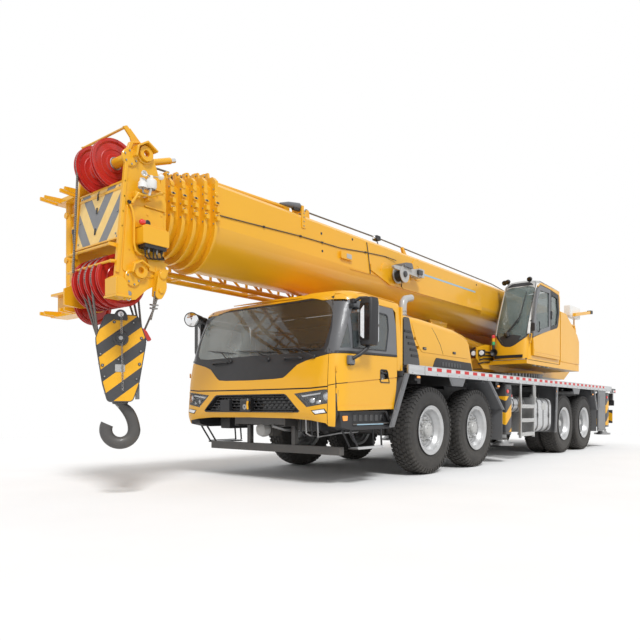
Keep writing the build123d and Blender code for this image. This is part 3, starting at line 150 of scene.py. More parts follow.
def surface(name, colour, rough=0.5, metal=0.0, coat=0.0, spread=0.05, scale=2.0, grain=0.0, grain_scale=400,
            dirt=0.0, dirt_colour=(0.20, 0.17, 0.13), stretch=(1, 1, 1)):
    """General finish: slow colour variation, grain bump, uneven gloss and dust low down."""
    mat, tree, bsdf, coord = shader(name)
    low, high = shades(colour, spread)
    broad = noise(tree, coord, scale, 5, 0.55, stretch)
    tone = ramp(tree, broad, [(0.3, low), (0.7, high)])
    if dirt:
        speck = noise(tree, coord, 9, 8, 0.7)
        split = tree.nodes.new("ShaderNodeSeparateXYZ")
        tree.links.new(coord, split.inputs[0])
        height = math_node(tree, "MULTIPLY_ADD", split.outputs["Z"], -0.8, 1.25)
        cover = math_node(tree, "MULTIPLY", height, speck)
        cover = math_node(tree, "MULTIPLY", cover, dirt)
        clamp = tree.nodes.new("ShaderNodeClamp")
        tree.links.new(cover, clamp.inputs[0])
        tone = mix(tree, clamp.outputs[0], tone, dirt_colour)
    tree.links.new(tone, bsdf.inputs["Base Color"])
    gloss = noise(tree, coord, scale * 6, 6, 0.6, stretch)
    spread_rough = math_node(tree, "MULTIPLY_ADD", gloss, 0.16, max(0.02, rough - 0.08))
    tree.links.new(spread_rough, bsdf.inputs["Roughness"])
    bsdf.inputs["Metallic"].default_value = metal
    if coat:
        bsdf.inputs["Coat Weight"].default_value = coat
        bsdf.inputs["Coat Roughness"].default_value = 0.08
    if grain:
        bump(tree, bsdf, noise(tree, coord, grain_scale, 2, 0.5, stretch), grain, 0.6)
    return mat


def banded(name, colours, direction, pitch, share=0.5, offset=0.0, rough=0.4, mirrored=None):
    """Two colours in straight bands across a direction; mirrored folds one axis for chevrons."""
    mat, tree, bsdf, coord = shader(name)
    split = tree.nodes.new("ShaderNodeSeparateXYZ")
    tree.links.new(coord, split.inputs[0])
    total = None
    for axis, weight in zip("XYZ", direction):
        if not weight:
            continue
        value = split.outputs[axis]
        if mirrored and mirrored[0] == axis:
            value = math_node(tree, "ABSOLUTE", math_node(tree, "ADD", value, -mirrored[1]))
        part = math_node(tree, "MULTIPLY", value, weight / pitch)
        total = part if total is None else math_node(tree, "ADD", total, part)
    total = math_node(tree, "ADD", total, offset)
    band = math_node(tree, "LESS_THAN", math_node(tree, "FRACT", total), share)
    wear = noise(tree, coord, 14, 6, 0.6)
    first = ramp(tree, wear, [(0.3, shades(colours[0], 0.06)[0]), (0.7, shades(colours[0], 0.06)[1])])
    second = ramp(tree, wear, [(0.3, shades(colours[1], 0.06)[0]), (0.7, shades(colours[1], 0.06)[1])])
    tree.links.new(mix(tree, band, second, first), bsdf.inputs["Base Color"])
    bsdf.inputs["Roughness"].default_value = rough
    bump(tree, bsdf, noise(tree, coord, 90, 3, 0.5), 0.0004, 0.5)
    return mat


def glassy(name, colour, alpha, rough=0.03, tint_scale=3.0):
    """Thin glass: part see-through, smooth, with a faint film of dust."""
    mat, tree, bsdf, coord = shader(name)
    film = noise(tree, coord, tint_scale, 6, 0.6)
    low, high = shades(colour, 0.12)
    tree.links.new(ramp(tree, film, [(0.3, low), (0.7, high)]), bsdf.inputs["Base Color"])
    tree.links.new(math_node(tree, "MULTIPLY_ADD", film, 0.12, alpha - 0.06), bsdf.inputs["Alpha"])
    bsdf.inputs["Roughness"].default_value = rough
    bsdf.inputs["Coat Weight"].default_value = 0.6
    bsdf.inputs["Coat Roughness"].default_value = 0.02
    return mat


def screen_glass(name):
    """Windscreen with a painted reflection: paler towards its right side, darker towards its left, in soft
    patches.
    """
    mat, tree, bsdf, coord = shader(name)
    split = tree.nodes.new("ShaderNodeSeparateXYZ")
    tree.links.new(coord, split.inputs[0])
    reflection_patch = noise(tree, coord, 2.6, 7, 0.62)
    # painted reflection: colour runs from pale grey-green on the right side (low y) to near black on the
    # left, broken by noise
    place = math_node(tree, "MULTIPLY_ADD", split.outputs["Y"], 0.42, 0.42)
    place = math_node(tree, "MULTIPLY_ADD", reflection_patch, 0.55, place)
    tone = ramp(tree, place, [(0.42, (0.36, 0.41, 0.40)), (0.62, (0.20, 0.22, 0.21)),
                              (0.82, (0.045, 0.040, 0.034))])
    tree.links.new(tone, bsdf.inputs["Base Color"])
    tree.links.new(math_node(tree, "MULTIPLY_ADD", reflection_patch, 0.10, 0.52), bsdf.inputs["Alpha"])
    bsdf.inputs["Roughness"].default_value = 0.03
    bsdf.inputs["Coat Weight"].default_value = 0.6
    bsdf.inputs["Coat Roughness"].default_value = 0.02
    return mat


def chequer(name, colour):
    """Chequer plate: raised diagonal lozenges on worn steel."""
    mat, tree, bsdf, coord = shader(name)
    tone = ramp(tree, noise(tree, coord, 4, 8, 0.65), [(0.3, shades(colour, 0.25)[0]),
                                                       (0.72, shades(colour, 0.3)[1])])
    tree.links.new(tone, bsdf.inputs["Base Color"])
    heights = []
    for turn, shift in ((45, 0.0), (-45, 0.5)):
        mapping = tree.nodes.new("ShaderNodeMapping")
        mapping.inputs["Rotation"].default_value = (0, 0, radians(turn))
        mapping.inputs["Location"].default_value = (shift, shift, 0)
        mapping.inputs["Scale"].default_value = (36, 12, 1)
        tree.links.new(coord, mapping.inputs["Vector"])
        split = tree.nodes.new("ShaderNodeSeparateXYZ")
        tree.links.new(mapping.outputs[0], split.inputs[0])
        waves = [math_node(tree, "SINE", math_node(tree, "MULTIPLY", split.outputs[a], 2 * pi)) for a in "XY"]
        heights.append(math_node(tree, "MAXIMUM", math_node(tree, "MULTIPLY", *waves), 0.3))
    bump(tree, bsdf, math_node(tree, "MAXIMUM", *heights), 0.0025, 0.8)
    bsdf.inputs["Roughness"].default_value = 0.62
    bsdf.inputs["Metallic"].default_value = 0.3
    return mat


def rope_finish(name, colour):
    """Twisted strands along a rope that runs mostly upright."""
    mat, tree, bsdf, coord = shader(name)
    wave = tree.nodes.new("ShaderNodeTexWave")
    wave.bands_direction = "DIAGONAL"
    wave.inputs["Scale"].default_value = 34
    wave.inputs["Distortion"].default_value = 0.4
    tree.links.new(coord, wave.inputs["Vector"])
    low, high = shades(colour, 0.4)
    tree.links.new(ramp(tree, wave.outputs["Fac"], [(0.2, low), (0.8, high)]), bsdf.inputs["Base Color"])
    bump(tree, bsdf, wave.outputs["Fac"], 0.002, 0.9)
    bsdf.inputs["Metallic"].default_value = 0.5
    bsdf.inputs["Roughness"].default_value = 0.5
    return mat


def glow(name, colour, strength):
    """Lamp that shows a little light of its own behind its lens."""
    mat, tree, bsdf, coord = shader(name)
    low, high = shades(colour, 0.15)
    tree.links.new(ramp(tree, noise(tree, coord, 60, 3), [(0.3, low), (0.7, high)]),
                   bsdf.inputs["Base Color"])
    bsdf.inputs["Emission Color"].default_value = (*colour, 1)
    bsdf.inputs["Emission Strength"].default_value = strength
    bsdf.inputs["Roughness"].default_value = 0.15
    bsdf.inputs["Coat Weight"].default_value = 0.8
    return mat


YELLOW = (0.80, 0.405, 0.010)
M = {
    "yellow": surface("yellow_paint", YELLOW, 0.36, coat=0.3, spread=0.03, scale=1.2, grain=0.00012,
                      grain_scale=220),
    "chassis_yellow": surface("chassis_yellow_paint", YELLOW, 0.4, coat=0.25, spread=0.06, scale=3, dirt=0.5),
    "dark": surface("dark_grey_paint", (0.045, 0.046, 0.050), 0.45, coat=0.15, spread=0.15, dirt=0.45),
    "black": surface("black_plastic", (0.018, 0.018, 0.020), 0.48, spread=0.25, grain=0.00025,
                     grain_scale=600),
    "gloss_black": surface("gloss_black", (0.012, 0.012, 0.013), 0.2, coat=0.5, spread=0.2),
    "mid_grey": surface("grey_paint", (0.13, 0.135, 0.145), 0.42, coat=0.15, spread=0.12, dirt=0.35),
    "light_grey": surface("pale_grey_paint", (0.42, 0.42, 0.41), 0.4, coat=0.3, spread=0.06),
    "white": surface("white_paint", (0.80, 0.80, 0.78), 0.35, coat=0.3, spread=0.04),
    "aluminium": surface("brushed_aluminium", (0.60, 0.61, 0.62), 0.34, metal=0.85, spread=0.10, scale=5,
                         grain=0.0002, grain_scale=90, stretch=(1, 12, 12), dirt=0.25),
    "rim": surface("wheel_silver", (0.56, 0.57, 0.58), 0.36, metal=0.55, coat=0.2, spread=0.10, scale=6,
                   dirt=0.35),
    "steel": surface("bare_steel", (0.34, 0.34, 0.34), 0.38, metal=0.9, spread=0.2, scale=8, grain=0.0002),
    "chrome": surface("ground_chrome", (0.66, 0.67, 0.68), 0.12, metal=1.0, spread=0.04, scale=8),
    "iron": surface("engine_iron", (0.06, 0.062, 0.065), 0.6, metal=0.3, spread=0.3, scale=10, grain=0.001,
                    grain_scale=60, dirt=0.6),
    "red": surface("sheave_red", (0.50, 0.022, 0.016), 0.36, coat=0.3, spread=0.12, scale=5),
    "rubber": surface("tyre_rubber", (0.022, 0.022, 0.023), 0.72, spread=0.3, scale=7, grain=0.0005,
                      grain_scale=160, dirt=0.45, dirt_colour=(0.12, 0.105, 0.085)),
    "seat": surface("seat_cloth", (0.045, 0.048, 0.055), 0.85, spread=0.3, scale=20, grain=0.0006,
                    grain_scale=900),
    "trim": surface("cab_trim", (0.10, 0.10, 0.10), 0.6, spread=0.15, grain=0.0003, grain_scale=500),
    "orange": glow("amber_lens", (0.85, 0.30, 0.02), 0.25),
    "red_lens": glow("red_lens", (0.62, 0.02, 0.02), 0.2),
    "green_lens": glow("green_lens", (0.02, 0.35, 0.12), 0.2),
    "clear_lens": glow("clear_lens", (0.75, 0.77, 0.80), 0.15),
    "pillar": surface("pillar_grey", (0.075, 0.077, 0.083), 0.42, coat=0.15, spread=0.12),
    # the windscreen's colour holds a painted reflection
    "windscreen": screen_glass("windscreen_painted_reflection"),
    "glass": glassy("cab_glass_tint", (0.11, 0.13, 0.135), 0.55),
    "cover": glassy("lamp_cover", (0.30, 0.31, 0.32), 0.16),
    "green_glass": glassy("operator_glass_tint", (0.14, 0.19, 0.18), 0.5),
    "mirror": surface("mirror_glass", (0.80, 0.82, 0.84), 0.04, metal=1.0, spread=0.02),
    "deck": chequer("deck_chequer", (0.055, 0.055, 0.056)),
    "rope": rope_finish("wire_rope", (0.16, 0.145, 0.13)),
    "tape": banded("red_white_tape", ((0.62, 0.62, 0.62), (0.55, 0.01, 0.01)), (1, 0, 0), 0.278, 0.48),
    "hazard": banded("hazard_stripes", (YELLOW, (0.05, 0.05, 0.053)), (0.537, -0.31, 0.78), 0.209),
    "sky": surface("stripe_light_blue", (0.30, 0.47, 0.58), 0.35, coat=0.3, spread=0.04),
    "jack_hazard": banded("jack_stripes", (YELLOW, (0.05, 0.05, 0.053)), (0.55, 0.30, 0.78), 0.32),
    "chevron": banded("chevron_stripes", ((0.88, 0.60, 0.20), (0.20, 0.205, 0.215)), (0, -0.85, 0.62), 0.25,
                      mirrored=("Y", -0.03)),
}


# ---------------------------------------------------------------- building pieces
SHARP = radians(33)
pieces_made = []


class Kit:
    """Collects forms into one mesh piece that rides on a body."""

    def __init__(self, name, body, bevel=2.0, slot=None, replaces=(), segments=2):
        self.name, self.body, self.bevel, self.slot = name, body, bevel, slot
        self.replaced, self.segments = replaces, segments
        self.mesh = bmesh.new()
        self.mats = []

    def _mat(self, name):
        if name not in self.mats:
            self.mats.append(name)
        return self.mats.index(name)

    def faces(self, points, faces, mat):
        """Adds faces over points given as vectors in metres."""
        index = self._mat(mat)
        verts = [self.mesh.verts.new(p) for p in points]
        made = []
        for face in faces:
            if len(set(face)) < 3:
                continue
            try:
                new = self.mesh.faces.new([verts[i] for i in face])
            except ValueError:
                continue
            new.material_index = index
            made.append(new)
        return verts, made

    def loft(self, rings, mat, closed=True, caps=True):
        """Skin over equal rings of vectors."""
        count = len(rings[0])
        points = [p for ring in rings for p in ring]
        faces = []
        span = count if closed else count - 1
        for level in range(len(rings) - 1):
            a, b = level * count, (level + 1) * count
            for i in range(span):
                j = (i + 1) % count
                faces.append((a + i, a + j, b + j, b + i))
        if caps and closed:
            faces.append(tuple(reversed(range(count))))
            faces.append(tuple((len(rings) - 1) * count + i for i in range(count)))
        return self.faces(points, faces, mat)

    def box(self, x0, x1, y0, y1, z0, z1, mat):
        """Box between two corners in mm."""
        ring = [(x0, y0), (x1, y0), (x1, y1), (x0, y1)]
        self.loft([[at(x, y, z) for x, y in ring] for z in (z0, z1)], mat)

    def prism(self, outline, axis, a, b, mat):
        """Outline in the plane across axis, from a to b: x takes (y, z), y takes (x, z), z takes (x, y)."""
        place = {"x": lambda p, t: at(t, p[0], p[1]), "y": lambda p, t: at(p[0], t, p[1]),
                 "z": lambda p, t: at(p[0], p[1], t)}[axis]
        self.loft([[place(p, t) for p in outline] for t in (a, b)], mat)

    def tube(self, path, radius, mat, sides=10, close=False, squash=1.0):
        """Round bar along a path of (x, y, z) in mm; the radius may be one per point."""
        spots = [at(*p) for p in path]
        radii = radius if isinstance(radius, (list, tuple)) else [radius] * len(spots)
        rings = []
        side = None
        for i, spot in enumerate(spots):
            before = spots[i - 1] if i else (spots[-1] if close else None)
            after = spots[i + 1] if i + 1 < len(spots) else (spots[0] if close else None)
            if before is None:
                along = (after - spot).normalized()
            elif after is None:
                along = (spot - before).normalized()
            else:
                along = ((spot - before).normalized() + (after - spot).normalized()).normalized()
            if side is None:
                side = along.orthogonal().normalized()
            side = (side - along * side.dot(along)).normalized()
            other = along.cross(side)
            ring = []
            for k in range(sides):
                turn = 2 * pi * (k + 0.5) / sides
                ring.append(spot + (side * cos(turn) + other * sin(turn) * squash) * radii[i] / 1000)
            rings.append(ring)
        if close:
            rings.append(rings[0])
        self.loft(rings, mat, caps=not close)

    def lathe(self, profile, centre, axis, mat, sides=32, arc=(0, 360), caps=False):
        """Turns (along, radius) mm points about an axis vector through centre (mm)."""
        axis = Vector(axis).normalized()
        side = axis.orthogonal().normalized()
        if abs(axis.y) > 0.9:
            side = Vector((1, 0, 0))
        other = axis.cross(side)
        middle = at(*centre)
        whole = abs(arc[1] - arc[0]) >= 360
        count = sides if whole else sides + 1
        rings = []
        for along, radius in profile:
            ring = []
            for k in range(count):
                turn = radians(arc[0] + (arc[1] - arc[0]) * k / sides)
                reach = max(radius, 0.01) / 1000
                ring.append(middle + axis * along / 1000 + (side * cos(turn) + other * sin(turn)) * reach)
            rings.append(ring)
        self.loft(rings, mat, closed=whole, caps=caps)

    def stamp(self, data, x, y, out, mat):
        """Copies a mesh made at the first axle's middle to another place, turned to face out."""
        self._mat(mat)
        count = len(self.mesh.verts)
        self.mesh.from_mesh(data)
        self.mesh.verts.ensure_lookup_table()
        move = at(x, y, 0) - at(0, 0, 0)
        for vert in self.mesh.verts[count:]:
            vert.co = Vector((vert.co.x, vert.co.y * out, vert.co.z)) + move

    def bolt(self, centre, axis, radius, height, mat="steel", sides=6):
        """Hexagon head."""
        axis = Vector(axis).normalized()
        end = [c + a * height for c, a in zip(centre, axis)]
        self.tube([centre, end], radius, mat, sides)

    def done(self, turn=None):
        """Makes the object: sharp edges, bevel, body. turn is (degrees, middle x)."""
        bm = self.mesh
        if turn:
            middle = at(turn[1], 0, 0)
            bmesh.ops.rotate(bm, verts=bm.verts, cent=middle,
                             matrix=Matrix.Rotation(radians(turn[0]), 3, "Z"))
        bmesh.ops.remove_doubles(bm, verts=bm.verts, dist=1e-6)
        loose = [v for v in bm.verts if not v.link_faces]
        if loose:
            bmesh.ops.delete(bm, geom=loose, context="VERTS")
        bmesh.ops.recalc_face_normals(bm, faces=bm.faces)
        for face in bm.faces:
            face.smooth = True
        for edge in bm.edges:
            if len(edge.link_faces) == 2:
                edge.smooth = edge.calc_face_angle(0) < SHARP
            else:
                edge.smooth = False
        data = bpy.data.meshes.new(self.name)
        bm.to_mesh(data)
        bm.free()
        piece = bpy.data.objects.new(self.name, data)
        bpy.context.scene.collection.objects.link(piece)
        for name in self.mats:
            data.materials.append(M[name])
        if self.bevel:
            add_bevel(piece, self.bevel, self.segments)
        if self.replaced:
            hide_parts(*self.replaced)
        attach(piece, self.body)
        pieces_made.append(piece)
        return piece


def add_bevel(piece, width, segments=2):
    """Rounds the piece's hard edges."""
    bevel = piece.modifiers.new("edges", "BEVEL")
    bevel.width = width / 1000
    bevel.segments = segments
    bevel.limit_method = "ANGLE"
    bevel.angle_limit = SHARP
    bevel.use_clamp_overlap = True
    bevel.harden_normals = False


def finish_node(name, mat, bevel=0.0):
    """Gives a CAD node its finish, and a small round on its edges."""
    node = nodes[name]
    node.data.materials.clear()
    node.data.materials.append(M[mat])
    if bevel:
        weld = node.modifiers.new("weld", "WELD")
        weld.merge_threshold = 1e-5
        add_bevel(node, bevel)


def both(function, *args):
    """Runs a function for the left and the right side."""
    for name, side in SIDES.items():
        function(name, side, *args)


# ---------------------------------------------------------------- finishes of the CAD nodes
NODE_FINISH = {
    "carrier_frame": ("dark", 4), "deck": ("deck", 3), "deck_edging": ("aluminium", 2),
    "fenders": ("mid_grey", 3),
    "driver_cab": ("yellow", 6), "cab_glass": ("glass", 0), "cab_interior": ("trim", 4),
    "engine": ("iron", 8),
    "engine_hood": ("yellow", 8), "axles": ("dark", 3), "side_tanks": ("aluminium", 6),
    "slewing_ring": ("steel", 0), "turntable": ("yellow", 4), "operator_cab": ("light_grey", 4),
    "operator_glass": ("glass", 0), "operator_seat": ("seat", 12), "operator_door": ("light_grey", 3),
    "winch_drum": ("rope", 2), "luff_barrel": ("yellow", 3), "luff_rod": ("chrome", 2),
    "boom_base": ("yellow", 3), "boom_tip": ("yellow", 3), "head_sheaves": ("red", 0),
    "hook_block": ("yellow", 3), "hook": ("dark", 3), "jib": ("yellow", 0),
}
for number in (2, 3, 4, 5):
    NODE_FINISH[f"boom_section_{number}"] = ("yellow", 2)
for side in SIDES:
    NODE_FINISH[f"cab_door_{side}"] = ("yellow", 4)
    for number in (1, 2):
        NODE_FINISH[f"knuckle_{number}_{side}"] = ("dark", 3)
    for number in (1, 2, 3, 4):
        NODE_FINISH[f"tyre_{number}_{side}"] = ("rubber", 0)
        NODE_FINISH[f"rim_{number}_{side}"] = ("rim", 0)
    for end in ("front", "rear"):
        NODE_FINISH[f"outrigger_beam_{end}_{side}"] = ("dark", 3)
        NODE_FINISH[f"outrigger_jack_{end}_{side}"] = ("steel", 3)
for node_name, (mat_name, width) in NODE_FINISH.items():
    finish_node(node_name, mat_name, width)

# ---------------------------------------------------------------- smooth forms that panels are laid on
def soft_max(a, b, width):
    """Larger of two fields, with the corner between them rounded over a width."""
    near = np.maximum(width - np.abs(a - b), 0.0) / width
    return np.maximum(a, b) + near * near * width * 0.25


def ease(t):
    """Smooth step of an array."""
    t = np.clip(t, 0, 1)
    return t * t * (3 - 2 * t)


def cab_field(p):
    """Outside is positive: the rounded driver's cab, in mm."""
    x, y, z = p[:, 0], p[:, 1], p[:, 2]
    wide = np.abs(y)
    fore = x + 36 * (wide / 1180) ** 3
    front = soft_max(fore - 2262 + 0.034 * (z - 900), fore - 2250 + 0.14 * (z - 1250), 120)
    front = soft_max(front, (fore - 2212 + 0.395 * (z - 1500)) / 1.075, 110)
    front = soft_max(front, (fore - 2262 - 0.62 * (z - 872 + 88 * ease((wide - 850) / 400))) / 1.18, 50)
    sides = wide - 1350 + 36 * ease((z - 1500) / 900)
    shape = soft_max(front, sides, 250)
    roof = z - 2290 - 40 * ease((y - 440) / 260) + 16 * (y / 1200) ** 2 + 0.02 * (1900 - x)
    shape = soft_max(shape, roof, 110)
    shape = soft_max(shape, 800 - x, 70)
    return soft_max(shape, (1000 - 0.31 * (z - 890) - x) / 1.045, 30)


class Form:
    """A field that panels are pressed onto, along rays from outside."""

    def __init__(self, field, plan):
        self.field = field
        steps = [0.0]
        for a, b in zip(plan, plan[1:]):
            steps.append(steps[-1] + sqrt((a[0] - b[0]) ** 2 + (a[1] - b[1]) ** 2))
        self.plan, self.steps = np.array(plan, float), np.array(steps)

    def land(self, starts, ways):
        """Where rays meet the skin, with its outward normals."""
        p = np.array(starts, float)
        ways = np.array(ways, float)
        for _ in range(90):
            p += ways * np.clip(self.field(p), -60, 400)[:, None] * 0.85
        small = 0.5
        grad = np.stack([(self.field(p + np.eye(3)[i] * small) - self.field(p - np.eye(3)[i] * small))
                         for i in range(3)], axis=1)
        return p, grad / np.maximum(np.linalg.norm(grad, axis=1), 1e-9)[:, None]

    def front(self, points):
        """(y, z) points seen from ahead."""
        n = len(points)
        starts = np.stack([np.full(n, 2700.0), points[:, 0], points[:, 1]], axis=1)
        return self.land(starts, np.tile([-1.0, 0, 0], (n, 1)))

    def side(self, points, side):
        """(x, z) points seen from one side."""
        n = len(points)
        starts = np.stack([points[:, 0], np.full(n, side * 1700.0), points[:, 1]], axis=1)
        return self.land(starts, np.tile([0, -1.0 * side, 0], (n, 1)))

    def top(self, points):
        """(x, y) points seen from above."""
        n = len(points)
        starts = np.stack([points[:, 0], points[:, 1], np.full(n, 4200.0)], axis=1)
        return self.land(starts, np.tile([0, 0, -1.0], (n, 1)))

    def round(self, points, side=1):
        """(u, z) points, u running along the plan line from the middle of the front to one side."""
        u = np.clip(points[:, 0], self.steps[0], self.steps[-1])
        place = np.stack([np.interp(u, self.steps, self.plan[:, i]) for i in (0, 1)], axis=1)
        after = np.stack([np.interp(u + 30, self.steps, self.plan[:, i]) for i in (0, 1)], axis=1)
        before = np.stack([np.interp(u - 30, self.steps, self.plan[:, i]) for i in (0, 1)], axis=1)
        run = after - before
        run /= np.linalg.norm(run, axis=1)[:, None]
        out = np.stack([run[:, 1], -run[:, 0]], axis=1)
        starts = np.stack([place[:, 0] + out[:, 0] * 350, (place[:, 1] + out[:, 1] * 350) * side,
                           points[:, 1]], axis=1)
        ways = np.stack([-out[:, 0], -out[:, 1] * side, np.zeros(len(u))], axis=1)
        return self.land(starts, ways)


def inside(point, outline):
    """True if a flat point lies inside a closed outline."""
    x, y = point
    hit = False
    for (x0, y0), (x1, y1) in zip(outline, outline[1:] + outline[:1]):
        if (y0 > y) != (y1 > y) and x < (x1 - x0) * (y - y0) / (y1 - y0) + x0:
            hit = not hit
    return hit


def soften(outline, radius, count=3):
    """Rounds an outline's corners."""
    done = []
    total = len(outline)
    for i, corner in enumerate(outline):
        here = Vector(corner)
        back = Vector(outline[i - 1]) - here
        on = Vector(outline[(i + 1) % total]) - here
        reach = min(radius, back.length * 0.45, on.length * 0.45)
        start, end = here + back.normalized() * reach, here + on.normalized() * reach
        for k in range(count + 1):
            t = k / count
            spot = start.lerp(here, t).lerp(here.lerp(end, t), t)
            done.append((spot.x, spot.y))
    return done


def sheet_of(outline, holes=(), step=60):
    """Flat sheet cut by a grid, as (points, faces); holes are straight-sided outlines."""
    flat = bmesh.new()
    flat.faces.new([flat.verts.new((u, v, 0)) for u, v in outline])
    cuts = []
    for axis in (0, 1):
        low, high = min(p[axis] for p in outline), max(p[axis] for p in outline)
        count = int((high - low) / step)
        for k in range(1, count + 1):
            spot = [0, 0, 0]
            spot[axis] = low + (high - low) * k / (count + 1)
            cuts.append((spot, (1, 0, 0) if axis == 0 else (0, 1, 0)))
    for hole in holes:
        for a, b in zip(hole, list(hole[1:]) + [hole[0]]):
            cuts.append(((a[0], a[1], 0), (b[1] - a[1], a[0] - b[0], 0)))
    for spot, way in cuts:
        if Vector(way).length > 1e-6:
            bmesh.ops.bisect_plane(flat, geom=flat.verts[:] + flat.edges[:] + flat.faces[:],
                                   plane_co=spot, plane_no=way, dist=1e-3)
    if holes:
        gone = [f for f in flat.faces if any(inside(f.calc_center_median()[:2], list(h)) for h in holes)]
        bmesh.ops.delete(flat, geom=gone, context="FACES")
    flat.verts.index_update()
    points = np.array([v.co[:2] for v in flat.verts], float)
    faces = [tuple(v.index for v in f.verts) for f in flat.faces]
    rims = [tuple(v.index for v in e.verts) for e in flat.edges if len(e.link_faces) == 1]
    flat.free()
    return points, faces, rims


def press(kit, view, outline, mat, offset=0.0, thick=5.0, holes=(), step=60, rounding=0):
    """Lays a panel on a form: view maps flat points to (place, normal); offset is the top's height."""
    if rounding:
        outline = soften(outline, rounding)
    points, faces, rims = sheet_of(outline, holes, step)
    places, normals = view(points)
    upper, lower = places + normals * offset, places + normals * (offset - thick)
    count = len(points)
    every = faces + [tuple(count + i for i in reversed(f)) for f in faces]
    every += [(a, b, count + b, count + a) for a, b in rims]
    kit.faces([at(*p) for p in np.concatenate([upper, lower])], every, mat)


def plan_line():
    """Half of the cab's plan at mid height, from the middle of the front back along the side."""
    spots = []
    for k in range(61):
        turn = radians(1.5 * k)
        start = np.array([[1100 + 2600 * cos(turn), 2600 * sin(turn) * 0.999, 1200.0]])
        way = np.array([[-cos(turn), -sin(turn), 0.0]])
        p = start
        for _ in range(120):
            p = p + way * np.clip(cab_field(p), -60, 400)[:, None] * 0.8
        spots.append((p[0][0], p[0][1]))
    spots.append((800.0, 1350.0))
    return spots


CAB = Form(cab_field, plan_line())


def ahead_u(y):
    """Run along the plan at a given y of the front."""
    return float(np.interp(y, CAB.plan[:, 1], CAB.steps))


def side_u(x):
    """Run along the plan at a given x of the side."""
    return float(np.interp(-x, -CAB.plan[:, 0], CAB.steps))


F, S = ahead_u, side_u


def mirrored(outline):
    """The same outline on the other side of the middle line."""
    return [(-u, v) for u, v in reversed(outline)]


def whole_front(half):
    """Closed outline from its half, which runs from the bottom of the middle line to its top."""
    return half + [(-u, v) for u, v in reversed(half)]


def front_view(points):
    """(u, z) points across the whole front; negative u lies on the right."""
    left = points.copy()
    left[:, 0] = np.abs(left[:, 0])
    places, normals = CAB.round(left)
    sign = np.where(points[:, 0] < 0, -1.0, 1.0)
    places[:, 1] *= sign
    normals[:, 1] *= sign
    rise = points[:, 0] < 0
    if rise.any():
        again, turned = CAB.round(left[rise], -1)
        places[rise], normals[rise] = again, turned
    return places, normals


SEAM_A, SEAM_B = S(2165), S(2112)          # the two upright seams round the front corner
DOOR_END = 950
GROOVE = 1136                              # the line that runs round the nose
LAMP = [(F(755), 1082), (F(1180), 1126), (F(1290) + 30, 1120), (F(1290) + 24, 985), (F(1120), 950),
        (F(950), 925)]
MOUTH = whole_front([(0, 862), (F(820), 862), (F(850), 880), (F(640), 1068), (F(600), 1084), (0, 1084)])
MASK_EDGE = [(F(440), 1262), (F(570), 1272), (F(620), 1300), (F(770), 1418), (F(900), 1462), (F(1100), 1505),
             (SEAM_A, 1530)]


